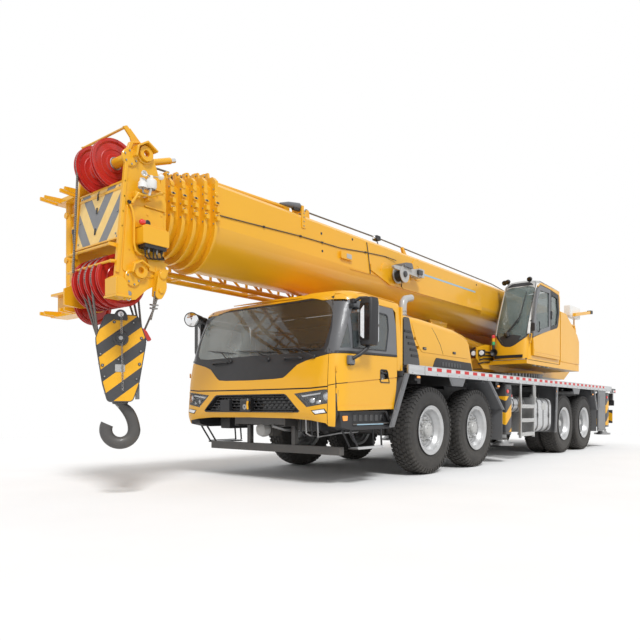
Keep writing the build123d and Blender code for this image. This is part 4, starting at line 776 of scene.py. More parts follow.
def cab_shell():
    """Dark inner shell, yellow outer panels and the details of the nose."""
    kit = Kit("cab_shell", "carrier", 2.5, slot="cab_paint", replaces=("driver_cab",))
    # backing shell, seen only in the seams
    back = whole_front([(0, 830), (F(1000), 820), (SEAM_B, 760), (S(1960), 1200), (S(1960), 1500), (0, 1500)])
    kit_back = Kit("cab_backing", "carrier", 0, slot="fender_black")
    lamp_holes = [LAMP, mirrored(LAMP)]
    press(kit_back, front_view, back, "black", -9, 6, holes=[MOUTH] + lamp_holes, step=90)
    kit_back.done()
    # lower nose with the grille mouth and the lamps cut out
    led = [(F(1012), 888), (F(1190), 910), (F(1222), 856), (F(1064), 838)]
    nose = whole_front([(0, 800), (F(700), 794), (F(1000), 775), (F(1200), 745), (SEAM_A - 3, 722),
                        (SEAM_A - 3, 1150), (F(1000), GROOVE - 2), (F(600), GROOVE - 6), (0, GROOVE - 8)])
    press(kit, front_view, nose, "yellow", 0, 8, holes=[MOUTH, led, mirrored(led)] + lamp_holes, step=50)
    # upper nose between the groove and the mask
    upper = [(0, GROOVE + 8), (F(600), GROOVE + 10), (F(1000), GROOVE + 14), (SEAM_A - 3, 1166)]
    upper = whole_front(upper + [(SEAM_A - 3, 1526)] + [p for p in reversed(MASK_EDGE[:-1])] + [(0, 1256)])
    press(kit, front_view, upper, "yellow", 4, 9, step=50)
    for side in SIDES.values():
        turn = lambda p, s=side: CAB.round(p, s)
        press(kit, turn, [(SEAM_A + 3, 712), (SEAM_B - 3, 704), (SEAM_B - 3, 1182), (SEAM_A + 3, 1166)],
              "yellow", 0, 8, step=40)
        press(kit, turn, [(SEAM_A + 3, 1176), (SEAM_B - 3, 1192), (SEAM_B - 3, 1532), (SEAM_A + 3, 1528)],
              "yellow", 2, 8, step=40)
    # roof skin and the yellow behind the doors
    edge = [(806, -1284), (806, 1284), (1790, 1284), (1840, 1230), (1872, 1100), (1884, 700), (1890, 0),
            (1884, -700),
            (1872, -1100), (1840, -1230), (1790, -1284)]
    press(kit, CAB.top, edge, "yellow", 1, 6, step=36)
    low = [(0, 2230), (F(600), 2232), (F(1150), 2240), (S(2125), 2226), (S(2060), 2200), (S(1850), 2182)]
    left_top = [(S(1850), 2292), (S(2060), 2294), (F(1180), 2300), (F(760), 2308), (F(680), 2302),
                (F(560), 2280),
                (F(460), 2268), (0, 2268)]
    right_top = [(-F(760), 2266), (-F(1180), 2260), (-S(2060), 2252), (-S(1850), 2250)]
    visor = low + left_top + right_top + [(-u, z) for u, z in reversed(low[1:])]
    press(kit, front_view, visor, "yellow", 4, 10, step=32)
    for side in SIDES.values():
        look = lambda p, s=side: CAB.side(p, s)
        top = 2296 if side > 0 else 2256
        press(kit, look, [(806, 1395), (DOOR_END - 6, 1395), (DOOR_END - 6, 2130), (1010, 2176), (1860, 2180),
                          (1860, top), (806, top)], "yellow", 0, 6, step=40)
    back_panel = [(-1335, 1400), (1335, 1400), (1335, 2215), (-1335, 2215)]
    window = [(-900, 1750), (900, 1750), (900, 2080), (-900, 2080)]
    behind = lambda p: (np.stack([np.full(len(p), 800.0), p[:, 0], p[:, 1]], axis=1),
                        np.tile([-1.0, 0, 0], (len(p), 1)))
    press(kit, behind, back_panel, "yellow", 2, 40, holes=[window], step=90)
    press(kit, behind, [(-1335, 900), (1335, 900), (1335, 1400), (-1335, 1400)], "yellow", -196, 40, step=120)
    kit.box(806, 2080, -1300, 1300, 896, 932, "dark")
    kit.done()


def cab_windscreen():
    """Curved windscreen with its black frame, the mask below it and the corner pillars."""
    kit = Kit("cab_mask", "carrier", 2.0, slot="fender_black")
    mask = whole_front([(0, 1258)] + MASK_EDGE[:-1] + [(SEAM_A, 1532), (SEAM_A + 60, 1545), (SEAM_A, 1590),
                                                      (F(1185), 1592), (F(900), 1560), (0, 1552)])
    press(kit, front_view, mask, "black", 1, 8, step=50)
    frame_out = [(0, 1548), (F(900), 1540), (F(1150), 1560), (F(1200), 1622), (F(1225), 1749),
                 (F(1272), 1925),
                 (S(2110), 2150), (S(2130), 2222), (F(1147), 2236), (F(600), 2228), (0, 2226)]
    pane = whole_front([(0, 1566), (F(900), 1558), (F(1048), 1568), (F(1134), 1622), (F(1169), 1749),
                        (F(1216), 1925),
                        (F(1250), 2100), (F(1248), 2180), (F(1180), 2214), (F(600), 2208), (0, 2206)])
    press(kit, front_view, whole_front(frame_out), "black", 0, 9, holes=[pane], step=60)
    # corner pillars
    for side in SIDES.values():
        turn = lambda p, s=side: CAB.round(p, s)
        pillar = [(F(1150), 1560), (SEAM_A, 1536), (SEAM_B + 40, 1540), (SEAM_B + 175, 1800),
                  (SEAM_B + 330, 2120),
                  (SEAM_B + 250, 2160), (S(2110), 2190), (F(1272), 2140), (F(1272), 1925), (F(1225), 1749),
                  (F(1200), 1622)]
        press(kit, turn, pillar, "pillar", 1, 8, step=45)
    kit.done()
    glass = Kit("cab_windscreen", "carrier", 0, slot="glass_clear", replaces=("cab_glass",))
    # windscreen pane, whose colour holds a painted reflection
    press(glass, front_view, pane, "windscreen", -3, 5, step=60)
    behind = lambda p: (np.stack([np.full(len(p), 806.0), p[:, 0], p[:, 1]], axis=1),
                        np.tile([-1.0, 0, 0], (len(p), 1)))
    press(glass, behind, [(-900, 1750), (900, 1750), (900, 2080), (-900, 2080)], "glass", 0, 6, step=200)
    glass.done()


def grille():
    """Dark mouth with three rows of mesh, a sensor and the tow block."""
    kit = Kit("grille", "carrier", 0, slot="fender_black")
    press(kit, front_view, [(u * 0.995, z) for u, z in MOUTH], "gloss_black", -85, 6, step=110)
    rim = MOUTH
    small = [(u * 0.972, 973 + (z - 973) * 0.88) for u, z in MOUTH]
    press(kit, front_view, rim, "black", -2, 60, holes=[small], step=80)
    places, _ = front_view(np.array([(u, z) for z in (900, 938, 976, 1014, 1052)
                                     for u in np.linspace(-790, 790, 41)], float))
    rows = places.reshape(5, 41, 3)
    for level in range(5):
        half = 800 - (rows[level][0][2] - 880) * 0.98
        for k in range(40):
            a, b = rows[level][k], rows[level][k + 1]
            if max(abs(a[1]), abs(b[1])) > half:
                continue
            kit.box(a[0] - 52, a[0] - 30, min(a[1], b[1]), max(a[1], b[1]), a[2] - 5, a[2] + 5, "black")
            if level < 4 and abs(a[1]) < half - 60:
                up = rows[level + 1][k]
                mid = (a[2] + up[2]) / 2
                lean = 15 if (k + level) % 2 else -15
                for low, high, way in ((a[2], mid, lean), (mid, up[2], -lean)):
                    start = (a[0] - 44, a[1] + (0 if way == lean else lean), low)
                    end = (a[0] - 44, a[1] + (lean if way == lean else 0), high)
                    kit.tube([start, end], 4.5, "black", 4)
    # centre bar, sensor and tow block with its pin
    kit.box(2212, 2246, -760, 760, 864, 880, "black")
    kit.box(2200, 2252, -500, -330, 880, 1020, "black")
    kit.box(2190, 2268, -110, 70, 872, 1030, "gloss_black")
    kit.box(2262, 2276, -95, 55, 884, 1000, "black")
    kit.tube([(2282, 40, 1000), (2290, 40, 960), (2282, 40, 900)], 13, "yellow", 10)
    kit.tube([(2276, 40, 1006), (2276, 40, 1034)], 9, "steel", 10)
    kit.lathe([(-6, 34), (6, 34), (8, 26), (8, 10), (-6, 10)], (2274, -20, 930), (1, 0, 0), "steel", 20)
    kit.done()


def head_lamp(name, side):
    """Dark bezel, chrome reflector and projector behind a clear cover."""
    kit = Kit(f"head_lamp_{name}", "carrier", 1.2, slot="fender_black")
    outline = LAMP if side > 0 else mirrored(LAMP)
    turn = front_view
    press(kit, turn, outline, "gloss_black", -75, 5, step=70)
    middle_u, middle_z = F(1060), 1030
    small = [(middle_u + (u - middle_u) * 0.88, middle_z + (z - middle_z) * 0.82) for u, z in LAMP]
    small = small if side > 0 else mirrored(small)
    press(kit, turn, outline, "black", -4, 68, holes=[small], step=60)
    spots, _ = CAB.round(np.array([(F(1195), 1050), (F(1000), 1000), (F(1090), 975), (F(1180), 1095)], float),
                         side)
    for spot, size in zip(spots[:3], (52, 34, 30)):
        spot = spot - np.array([42.0, 0, 0])
        kit.lathe([(-40, size * 0.7), (-8, size), (6, size), (9, size * 0.86), (-4, size * 0.8),
                   (-26, size * 0.4)],
                  spot, (0.93, 0.36 * side, 0), "chrome", 28)
        kit.lathe([(-20, size * 0.78), (0, size * 0.7), (10, size * 0.45), (14, 0)], spot,
                  (0.93, 0.36 * side, 0),
                  "clear_lens", 28)
    lens_bar = [(F(850), 1062), (F(1120), 1092), (F(1120), 1076), (F(870), 1044)]
    press(kit, turn, lens_bar if side > 0 else mirrored(lens_bar), "clear_lens", -22, 10, step=60)
    corner = [(F(1240), 1090), (F(1290) + 16, 1098), (F(1290) + 12, 1000), (F(1240), 990)]
    press(kit, turn, corner if side > 0 else mirrored(corner), "orange", -18, 10, step=60)
    kit.done()
    cover = Kit(f"head_lamp_cover_{name}", "carrier", 0, slot="glass_clear")
    press(cover, turn, outline, "cover", -3, 3, step=45)
    cover.done()
    led = Kit(f"day_lamp_{name}", "carrier", 1.0, slot="fender_black")
    strip = [(F(1014), 886), (F(1189), 908), (F(1219), 858), (F(1065), 840)]
    strip = strip if side > 0 else mirrored(strip)
    press(led, turn, strip, "black", -12, 4, step=60)
    inner = [(F(1034), 882), (F(1180), 900), (F(1202), 866), (F(1078), 849)]
    press(led, turn, inner if side > 0 else mirrored(inner), "clear_lens", 3, 9, step=60)
    led.done()


def door_pieces(name, side):
    """Door skin, black window frame, panes, handle and the tall mirror."""
    body = f"cab_door_{name}"
    look = lambda p: CAB.side(p, side)
    kit = Kit(f"door_skin_{name}", body, 2.5, slot="cab_paint", replaces=(f"cab_door_{name}",))
    front, end = 2106, DOOR_END
    recess = [(1130, 1238), (1165, 1362), (1190, 1380), (1300, 1380), (1312, 1368), (1312, 1250),
              (1300, 1238)]
    upper = [(front, 1196), (front, 1534), (end, 1560), (end, 1308)]
    lower = [(front, 892), (front, 1186), (end, 1298), (end + 14, 1150), (1016, 925), (1036, 915)]
    press(kit, look, upper, "yellow", 0, 7, holes=[recess], step=45)
    press(kit, look, [(x, z) for x, z in lower], "yellow", -3, 7, step=45)
    press(kit, look, [(front - 6, 900), (front - 6, 1530), (end + 6, 1555), (end + 30, 1150), (1040, 922)],
          "yellow", -12, 24, holes=[recess], step=90)
    lip = [(front, 884), (front, 936), (1030, 962), (1028, 908)]
    press(kit, look, lip, "yellow", 5, 9, step=50, rounding=8)
    kit.done()
    # window frame, panes and sill
    trim = Kit(f"door_frame_{name}", body, 2.0, slot="fender_black")
    rim = [(2098, 1540), (end, 1566), (end + 6, 1700), (end, 1960), (1000, 2170), (1840, 2176), (1880, 2120),
           (1985, 1850), (2085, 1600)]
    vent = [(2040, 1600), (1905, 1610), (1905, 2040), (1930, 2020), (2025, 1700)]
    pane = [(1860, 1612), (1200, 1628), (1130, 1900), (1140, 2040), (1165, 2066), (1845, 2076), (1860, 2050)]
    press(trim, look, rim, "mid_grey", 0, 9, holes=[vent, pane], step=50)
    press(trim, look, [(2090, 1540), (end + 4, 1566), (end + 4, 1590), (2080, 1566)], "black", 6, 9, step=80)
    seal = soften([(1875, 1600), (1190, 1614), (1115, 1900), (1125, 2060), (1160, 2084), (1855, 2092)], 12, 2)
    press(trim, look, seal, "black", 3, 6, holes=[pane], step=60)
    # handle with its recess
    y = side * 1350
    press(trim, look, recess, "gloss_black", -26, 5, step=60)
    press(trim, look, soften([(1118, 1226), (1158, 1372), (1186, 1392), (1306, 1392), (1326, 1374),
                              (1326, 1240),
                              (1306, 1226)], 8, 2), "black", 4, 32, holes=[recess], step=60)
    trim.tube([(1296, y - side * 6, 1346), (1230, y + side * 6, 1350), (1176, y - side * 6, 1344)], 11,
              "black", 8)
    trim.lathe([(0, 14), (6, 14), (8, 10), (8, 0.1)], (1268, y - side * 10, 1272), (0, side, 0), "steel", 16)
    # hinge leaves
    for z in HINGE_Z:
        trim.tube([(2108, side * 1298, z), (2108, side * 1298, z + 60)], 10, "yellow", 12)
    trim.done()
    glass = Kit(f"door_panes_{name}", body, 0, slot="glass_clear")
    press(glass, look, vent, "glass", -4, 5, step=70)
    press(glass, look, pane, "glass", -4, 5, step=70)
    glass.done()
    mirror(name, side, body)


HINGE_Z = (1080, 1330)


def rounded_box(kit, x0, x1, y0, y1, z0, z1, radius, mat, axis="y"):
    """Box with four rounded edges along one axis."""
    if axis == "y":
        kit.prism(soften([(x0, z0), (x1, z0), (x1, z1), (x0, z1)], radius, 4), "y", y0, y1, mat)
    elif axis == "x":
        kit.prism(soften([(y0, z0), (y1, z0), (y1, z1), (y0, z1)], radius, 4), "x", x0, x1, mat)
    else:
        kit.prism(soften([(x0, y0), (x1, y0), (x1, y1), (x0, y1)], radius, 4), "z", z0, z1, mat)


def mirror(name, side, body):
    """Tall door mirror: tapered housing with its glass behind, arms and the bracket box."""
    kit = Kit(f"door_mirror_{name}", body, 9, slot="fender_black", segments=3)
    y = side * 1484
    levels = [(1636, 0.80, 0), (1680, 0.95, 2), (1900, 1.0, 4), (2130, 0.98, -4), (2186, 0.84, -12)]
    rings = []
    for z, grow, lean in levels:
        ring = soften([(1684 + lean, y - 112 * grow), (1826 + lean, y - 88 * grow),
                       (1826 + lean, y + 88 * grow),
                       (1684 + lean, y + 112 * grow)], 40, 4)
        rings.append([at(px, py, z) for px, py in ring])
    kit.loft(rings, "black")
    kit.done()
    more = Kit(f"door_mirror_parts_{name}", body, 1.5, slot="fender_black")
    for z0, z1 in ((1675, 1860), (1872, 2130)):
        rounded_box(more, 1676, 1686, y - 92, y + 92, z0, z1, 22, "mirror", "x")
    rounded_box(more, 1820, 1833, y - 72, y + 72, 1690, 2120, 36, "gloss_black", "x")
    slot = [(y - side * 56, 1740), (y - side * 6, 1706), (y - side * 6, 2094), (y - side * 56, 2040)]
    more.prism(soften(slot, 14, 3), "x", 1828, 1837, "clear_lens")
    more.tube([(1740, y, 2150), (1765, y - side * 20, 2182), (1800, y - side * 90, 2184),
               (1846, side * 1352, 2150)],
              [26, 24, 20, 18], "black", 12)
    more.tube([(1745, y, 1650), (1790, y - side * 4, 1590), (1880, y - side * 40, 1520),
               (1935, side * 1395, 1478)],
              [30, 26, 22, 22], "black", 12)
    rounded_box(more, 1886, 1990, side * 1372 - 26, side * 1372 + 26, 1416, 1512, 16, "mid_grey", "z")
    more.box(1900, 1976, side * 1372 - 20, side * 1372 + 20, 1404, 1420, "black")
    for dx in (1905, 1970):
        more.bolt((dx, side * 1398, 1440), (0, side, 0), 7, 4, "steel")
    rounded_box(more, 1815, 1880, side * 1335 - 30, side * 1335 + 30, 2126, 2174, 14, "black", "z")
    more.done()


for build in (cab_shell, cab_windscreen, grille):
    build()
both(head_lamp)
both(door_pieces)

# ---------------------------------------------------------------- operator's cab
def operator_field(p):
    """Outside is positive: the rounded operator's cab, in mm."""
    x, y, z = p[:, 0], p[:, 1], p[:, 2]
    across = np.abs(y - 912)
    fore = x + 60 * (across / 350) ** 3
    front = soft_max((fore + 3548 + 0.10 * (z - 1960)) / 1.005, (fore + 3600 + 0.40 * (z - 2260)) / 1.077,
                     160)
    front = soft_max(front, (fore + 3900 + 0.62 * (z - 3020)) / 1.177, 200)
    shape = soft_max(front, across - 367, 110)
    roof = z - 3446 + 0.03 * (-4200 - x) + 26 * (across / 360) ** 2
    shape = soft_max(shape, roof, 90)
    return soft_max(shape, -5340 - x, 60)


OP = Form(operator_field, [(-3500, 912), (-3500, 1280), (-5300, 1280)])
def op_front(points):
    """(y, z) points on the operator's windscreen, seen from ahead."""
    n = len(points)
    starts = np.stack([np.full(n, -3000.0), points[:, 0], points[:, 1]], axis=1)
    return OP.land(starts, np.tile([-1.0, 0, 0], (n, 1)))


def op_side(side):
    """View of (x, z) points on the operator's cab from its outer or inner side."""
    def look(points):
        n = len(points)
        corner = np.stack([np.full(n, -3000.0), np.full(n, 912.0 + side * 338), points[:, 1]], axis=1)
        limit, _ = OP.land(corner, np.tile([-1.0, 0, 0], (n, 1)))
        x = np.minimum(points[:, 0], limit[:, 0] - 4)
        starts = np.stack([x, np.full(n, 912.0 + side * 700), np.minimum(points[:, 1], 3425)], axis=1)
        return OP.land(starts, np.tile([0, -1.0 * side, 0], (n, 1)))
    return look


def op_rear(points):
    """(y, z) points on the back wall."""
    n = len(points)
    return (np.stack([np.full(n, -5340.0), points[:, 0], points[:, 1]], axis=1),
            np.tile([-1.0, 0, 0], (n, 1)))


def operator_shell():
    """Yellow skirt, pale pillars and roof, windows and rear wall."""
    kit = Kit("operator_shell", "superstructure", 2.0, slot="operator_shell", replaces=("operator_cab",))
    vee = [(575, 2372), (640, 2268), (705, 2190), (760, 2128), (830, 2092), (940, 2086), (1020, 2120),
           (1110, 2185), (1215, 2262)]
    lower = [(558, 1850), (1264, 1850), (1266, 2300), (1240, 2330)] + list(reversed(vee)) + [(558, 2385)]
    press(kit, op_front, lower, "yellow", 0, 8, step=45)
    out, back = op_side(1), op_side(-1)
    for look, place in ((out, 1), (back, -1)):
        skirt = [(-5330, 1842), (-3562, 1842), (-3572, 2000), (-3640, 2262)]
        skirt += [(-3720, 2280), (-5330, 2300)] if place > 0 else [(-3700, 2400), (-5330, 2480)]
        press(kit, look, skirt, "yellow", 0, 6, step=70)
    # frame left round the sliding door: pillars, roof rail, rear corner
    hole = [(-3862, 1962), (-3862, 2800), (-4012, 3200), (-4180, 3308), (-5098, 3288), (-5178, 3178),
            (-5178, 1962)]
    frame = [(-3640, 2262), (-3700, 2450), (-3880, 2990), (-4110, 3350), (-4200, 3412), (-5300, 3378),
             (-5330, 3300),
             (-5330, 2280)]
    press(kit, out, frame, "light_grey", 0, 8, holes=[hole], step=60)
    window = [(-5150, 2500), (-5150, 3280), (-4105, 3288), (-3905, 2502)]
    inner = [(-3702, 2400), (-3760, 2600), (-3900, 2990), (-4110, 3350), (-4200, 3412), (-5300, 3378),
             (-5330, 3300),
             (-5330, 2480)]
    press(kit, back, inner, "light_grey", 0, 8, holes=[window], step=60)
    rear_hole = [(640, 2500), (640, 3250), (1180, 3250), (1180, 2500)]
    press(kit, op_rear, [(560, 1850), (1264, 1850), (1264, 3360), (560, 3360)], "yellow", 0, 20,
          holes=[rear_hole],
          step=120)
    hatch = [(-5200, 640), (-5200, 1180), (-4400, 1180), (-4400, 640)]
    press(kit, OP.top, [(-5325, 560), (-4160, 560), (-4120, 600), (-4100, 912), (-4120, 1224), (-4160, 1262),
                        (-5325, 1262)], "light_grey", 2, 12, holes=[hatch], step=70, rounding=40)
    # bright strips up both sides of the windscreen
    for y in (576, 1216):
        strip = [(y, 2330), (y + 34, 2330), (y + 34, 3350), (y, 3350)]
        press(kit, op_front, strip, "white", 7, 12, step=60)
    kit.box(-5300, -3600, 575, 1245, 1838, 1868, "dark")
    kit.box(-3598, -3560, 600, 1225, 1836, 1852, "aluminium")
    kit.done()
    trim = Kit("operator_trim", "superstructure", 1.5, slot="fender_black")
    rim = vee + [(1244, 2330), (1244, 3300), (1190, 3390), (634, 3390), (580, 3300), (576, 2400)]
    pane = [(610, 2390), (660, 2290), (725, 2212), (780, 2158), (840, 2128), (930, 2122), (1010, 2150),
            (1100, 2212), (1205, 2290), (1208, 3275), (1165, 3315), (655, 3315), (612, 3275)]
    press(trim, op_front, rim, "black", 1, 7, holes=[pane], step=60)
    # dark lower part of the pane, wiper, lamps and horn
    press(trim, op_front, [(735, 2212), (790, 2158), (840, 2130), (930, 2124), (1010, 2152), (1090, 2208),
                           (1120, 2290), (930, 2330), (840, 2330), (690, 2290)], "black", 0, 4, step=60)
    path, _ = op_front(np.array([(846, 2330), (930, 2450), (1020, 2600), (1060, 2700)], float))
    path[:, 0] += 30
    trim.tube(path.tolist(), [13, 11, 10, 9], "black", 8)
    path, _ = op_front(np.array([(800, 2330), (900, 2450), (1005, 2605), (1060, 2690)], float))
    path[:, 0] += 26
    trim.tube(path.tolist(), 6, "black", 8)
    path, _ = op_front(np.array([(1030, 2560), (1052, 2760), (1068, 2960), (1080, 3180)], float))
    path[:, 0] += 16
    trim.tube(path.tolist(), [6, 9, 9, 6], "black", 8)
    trim.lathe([(0, 60), (26, 60), (40, 48), (46, 26), (46, 0.1)], (-3655, 846, 2330), (0.95, 0, 0.3),
               "gloss_black",
               28)
    for z, lens in ((2300, "red_lens"), (2236, "yellow"), (2172, "green_lens")):
        trim.lathe([(-30, 31), (26, 31), (32, 26), (32, 0.1)], (-3570, 606, z), (0, 0, 1), lens, 24)
    trim.lathe([(-100, 26), (60, 26), (66, 20), (66, 0.1)], (-3570, 606, 2080), (0, 0, 1), "black", 20)
    trim.lathe([(-40, 18), (-10, 26), (30, 62), (44, 74), (50, 74), (50, 64), (20, 30), (0, 0.1)],
               (-3560, 640, 1990), (1, 0, 0), "black", 28)
    trim.box(-3562, -3540, 640, 1190, 1876, 1930, "black")
    for y, x in ((600, -4110), (690, -4060), (1130, -4060)):
        trim.lathe([(-50, 28), (-16, 44), (26, 50), (34, 46), (34, 0.1)], (x, y, 3424), (1, 0, -0.5), "black",
                   28)
        trim.lathe([(32, 40), (36, 36), (39, 0.1)], (x, y, 3424), (1, 0, -0.5), "gloss_black", 28)
        trim.tube([(x - 20, y, 3390), (x - 20, y, 3424)], 10, "black", 8)
    press(trim, back, soften([(-5180, 2470), (-5180, 3310), (-4085, 3318), (-3870, 2472)], 30), "black", 3, 6,
          holes=[window], step=80)
    press(trim, op_rear, soften([(610, 2470), (1210, 2470), (1210, 3280), (610, 3280)], 30), "black", 6, 8,
          holes=[rear_hole], step=200)
    press(trim, OP.top, soften([(-5230, 610), (-4370, 610), (-4370, 1210), (-5230, 1210)], 30), "black", 8,
          10,
          holes=[hatch], step=80)
    # small mirror and handrail beside the door
    trim.tube([(-3700, 1278, 2560), (-3660, 1330, 2570), (-3620, 1345, 2500)], 9, "black", 8)
    rounded_box(trim, -3640, -3615, 1320, 1395, 2360, 2510, 22, "black", "x")
    trim.tube([(-3690, 1276, 2150), (-3670, 1300, 2150), (-3720, 1300, 2320), (-3740, 1276, 2330)], 11,
              "yellow", 8)
    trim.done()
    glass = Kit("operator_panes", "superstructure", 0, slot="glass_clear", replaces=("operator_glass",))
    press(glass, op_front, pane, "green_glass", -3, 5, step=55)
    press(glass, back, window, "green_glass", -3, 5, step=90)
    press(glass, op_rear, rear_hole, "green_glass", -4, 5, step=200)
    press(glass, OP.top, hatch, "glass", -2, 6, step=80)
    glass.done()


def sliding_door():
    """Sliding door: yellow lower panel, black window frame and two panes."""
    kit = Kit("operator_door_skin", "operator_door", 2.5, slot="operator_shell", replaces=("operator_door",))
    lower = [(-5215, 1925), (-3770, 1925), (-3758, 2160), (-3745, 2248), (-3860, 2284), (-4450, 2435),
             (-5040, 2566), (-5105, 2600), (-5215, 2600)]
    kit.prism(lower, "y", 1292, 1322, "yellow")
    kit.prism([(-5215, 2600), (-5105, 2600), (-5196, 2886), (-5140, 3250), (-4670, 3290), (-4110, 3310),
               (-4010, 3240),
               (-3990, 3262), (-4165, 3345), (-5125, 3325), (-5215, 3200)], "y", 1292, 1320, "yellow")
    kit.prism([(-5190, 1990), (-3800, 1990), (-3794, 2040), (-5190, 2056)], "y", 1318, 1327, "yellow")
    kit.prism([(-4820, 1952), (-3800, 1952), (-3800, 1975), (-4820, 1980)], "y", 1316, 1325, "yellow")
    kit.done()
    trim = Kit("operator_door_frame", "operator_door", 2.0, slot="fender_black")
    front = [(-3742, 2250), (-3830, 2290), (-4640, 2475), (-4648, 3276), (-4120, 3292), (-3960, 3215),
             (-3828, 2810),
             (-3748, 2480)]
    pane = [(-3900, 2400), (-3890, 2790), (-4020, 3110), (-4110, 3190), (-4570, 3202), (-4570, 2545),
            (-3960, 2400)]
    rear = [(-4640, 2475), (-5030, 2562), (-5085, 2620), (-5170, 2890), (-5118, 3240), (-4660, 3278),
            (-4648, 3276)]
    back = [(-4700, 2560), (-5000, 2632), (-5078, 2890), (-5030, 3165), (-4700, 3190)]
    for outline, hole in ((front, pane), (rear, back)):
        points, faces, rims = sheet_of(outline, [hole], 400)
        count = len(points)
        both_sides = [at(x, y, z) for y in (1326, 1288) for x, z in points]
        every = faces + [tuple(count + i for i in reversed(f)) for f in faces]
        every += [(a, b, count + b, count + a) for a, b in rims]
        trim.faces(both_sides, every, "mid_grey" if outline is front else "black")
    trim.prism([(-4700, 2700), (-4660, 2700), (-4660, 2860), (-4700, 2860)], "y", 1322, 1344, "black")
    trim.tube([(-3990, 1330, 2380), (-3985, 1352, 2400), (-3985, 1352, 2560), (-3990, 1330, 2580)], 9,
              "black", 8)
    trim.done()
    glass = Kit("operator_door_panes", "operator_door", 0, slot="glass_clear")
    for outline in (pane, back):
        glass.prism(outline, "y", 1302, 1308, "green_glass")
    glass.done()


operator_shell()
sliding_door()

# ---------------------------------------------------------------- boom head
CHEEK_Y = 410                              # outer face of each cheek of the boom head


def chain(kit, start, end, count, size, mat):
    """Links from start to end, each turned a quarter from the last."""
    a, b = Vector(start), Vector(end)
    along = (b - a).normalized()
    side = along.orthogonal().normalized()
    for k in range(count):
        middle = a.lerp(b, (k + 0.5) / count)
        half = (b - a).length / count * 0.62
        across = side if k % 2 else along.cross(side)
        ring = []
        for i in range(10):
            turn = 2 * pi * i / 10
            ring.append(middle + along * half * cos(turn) + across * size * sin(turn))
        kit.tube([tuple(p) for p in ring], size * 0.28, mat, 6, close=True)


def shackle(kit, centre, size, mat):
    """Bow shackle with its pin."""
    x, y, z = centre
    bow = [(x + size * 0.6 * sin(radians(t)), y, z - size * 0.6 * cos(radians(t)))
           for t in range(-130, 131, 26)]
    kit.tube([(x - size * 0.45, y, z + size * 1.1)] + bow + [(x + size * 0.45, y, z + size * 1.1)],
             size * 0.17, mat, 8)
    kit.tube([(x - size * 0.75, y, z + size * 1.05), (x + size * 0.75, y, z + size * 1.05)], size * 0.2, mat,
             8)


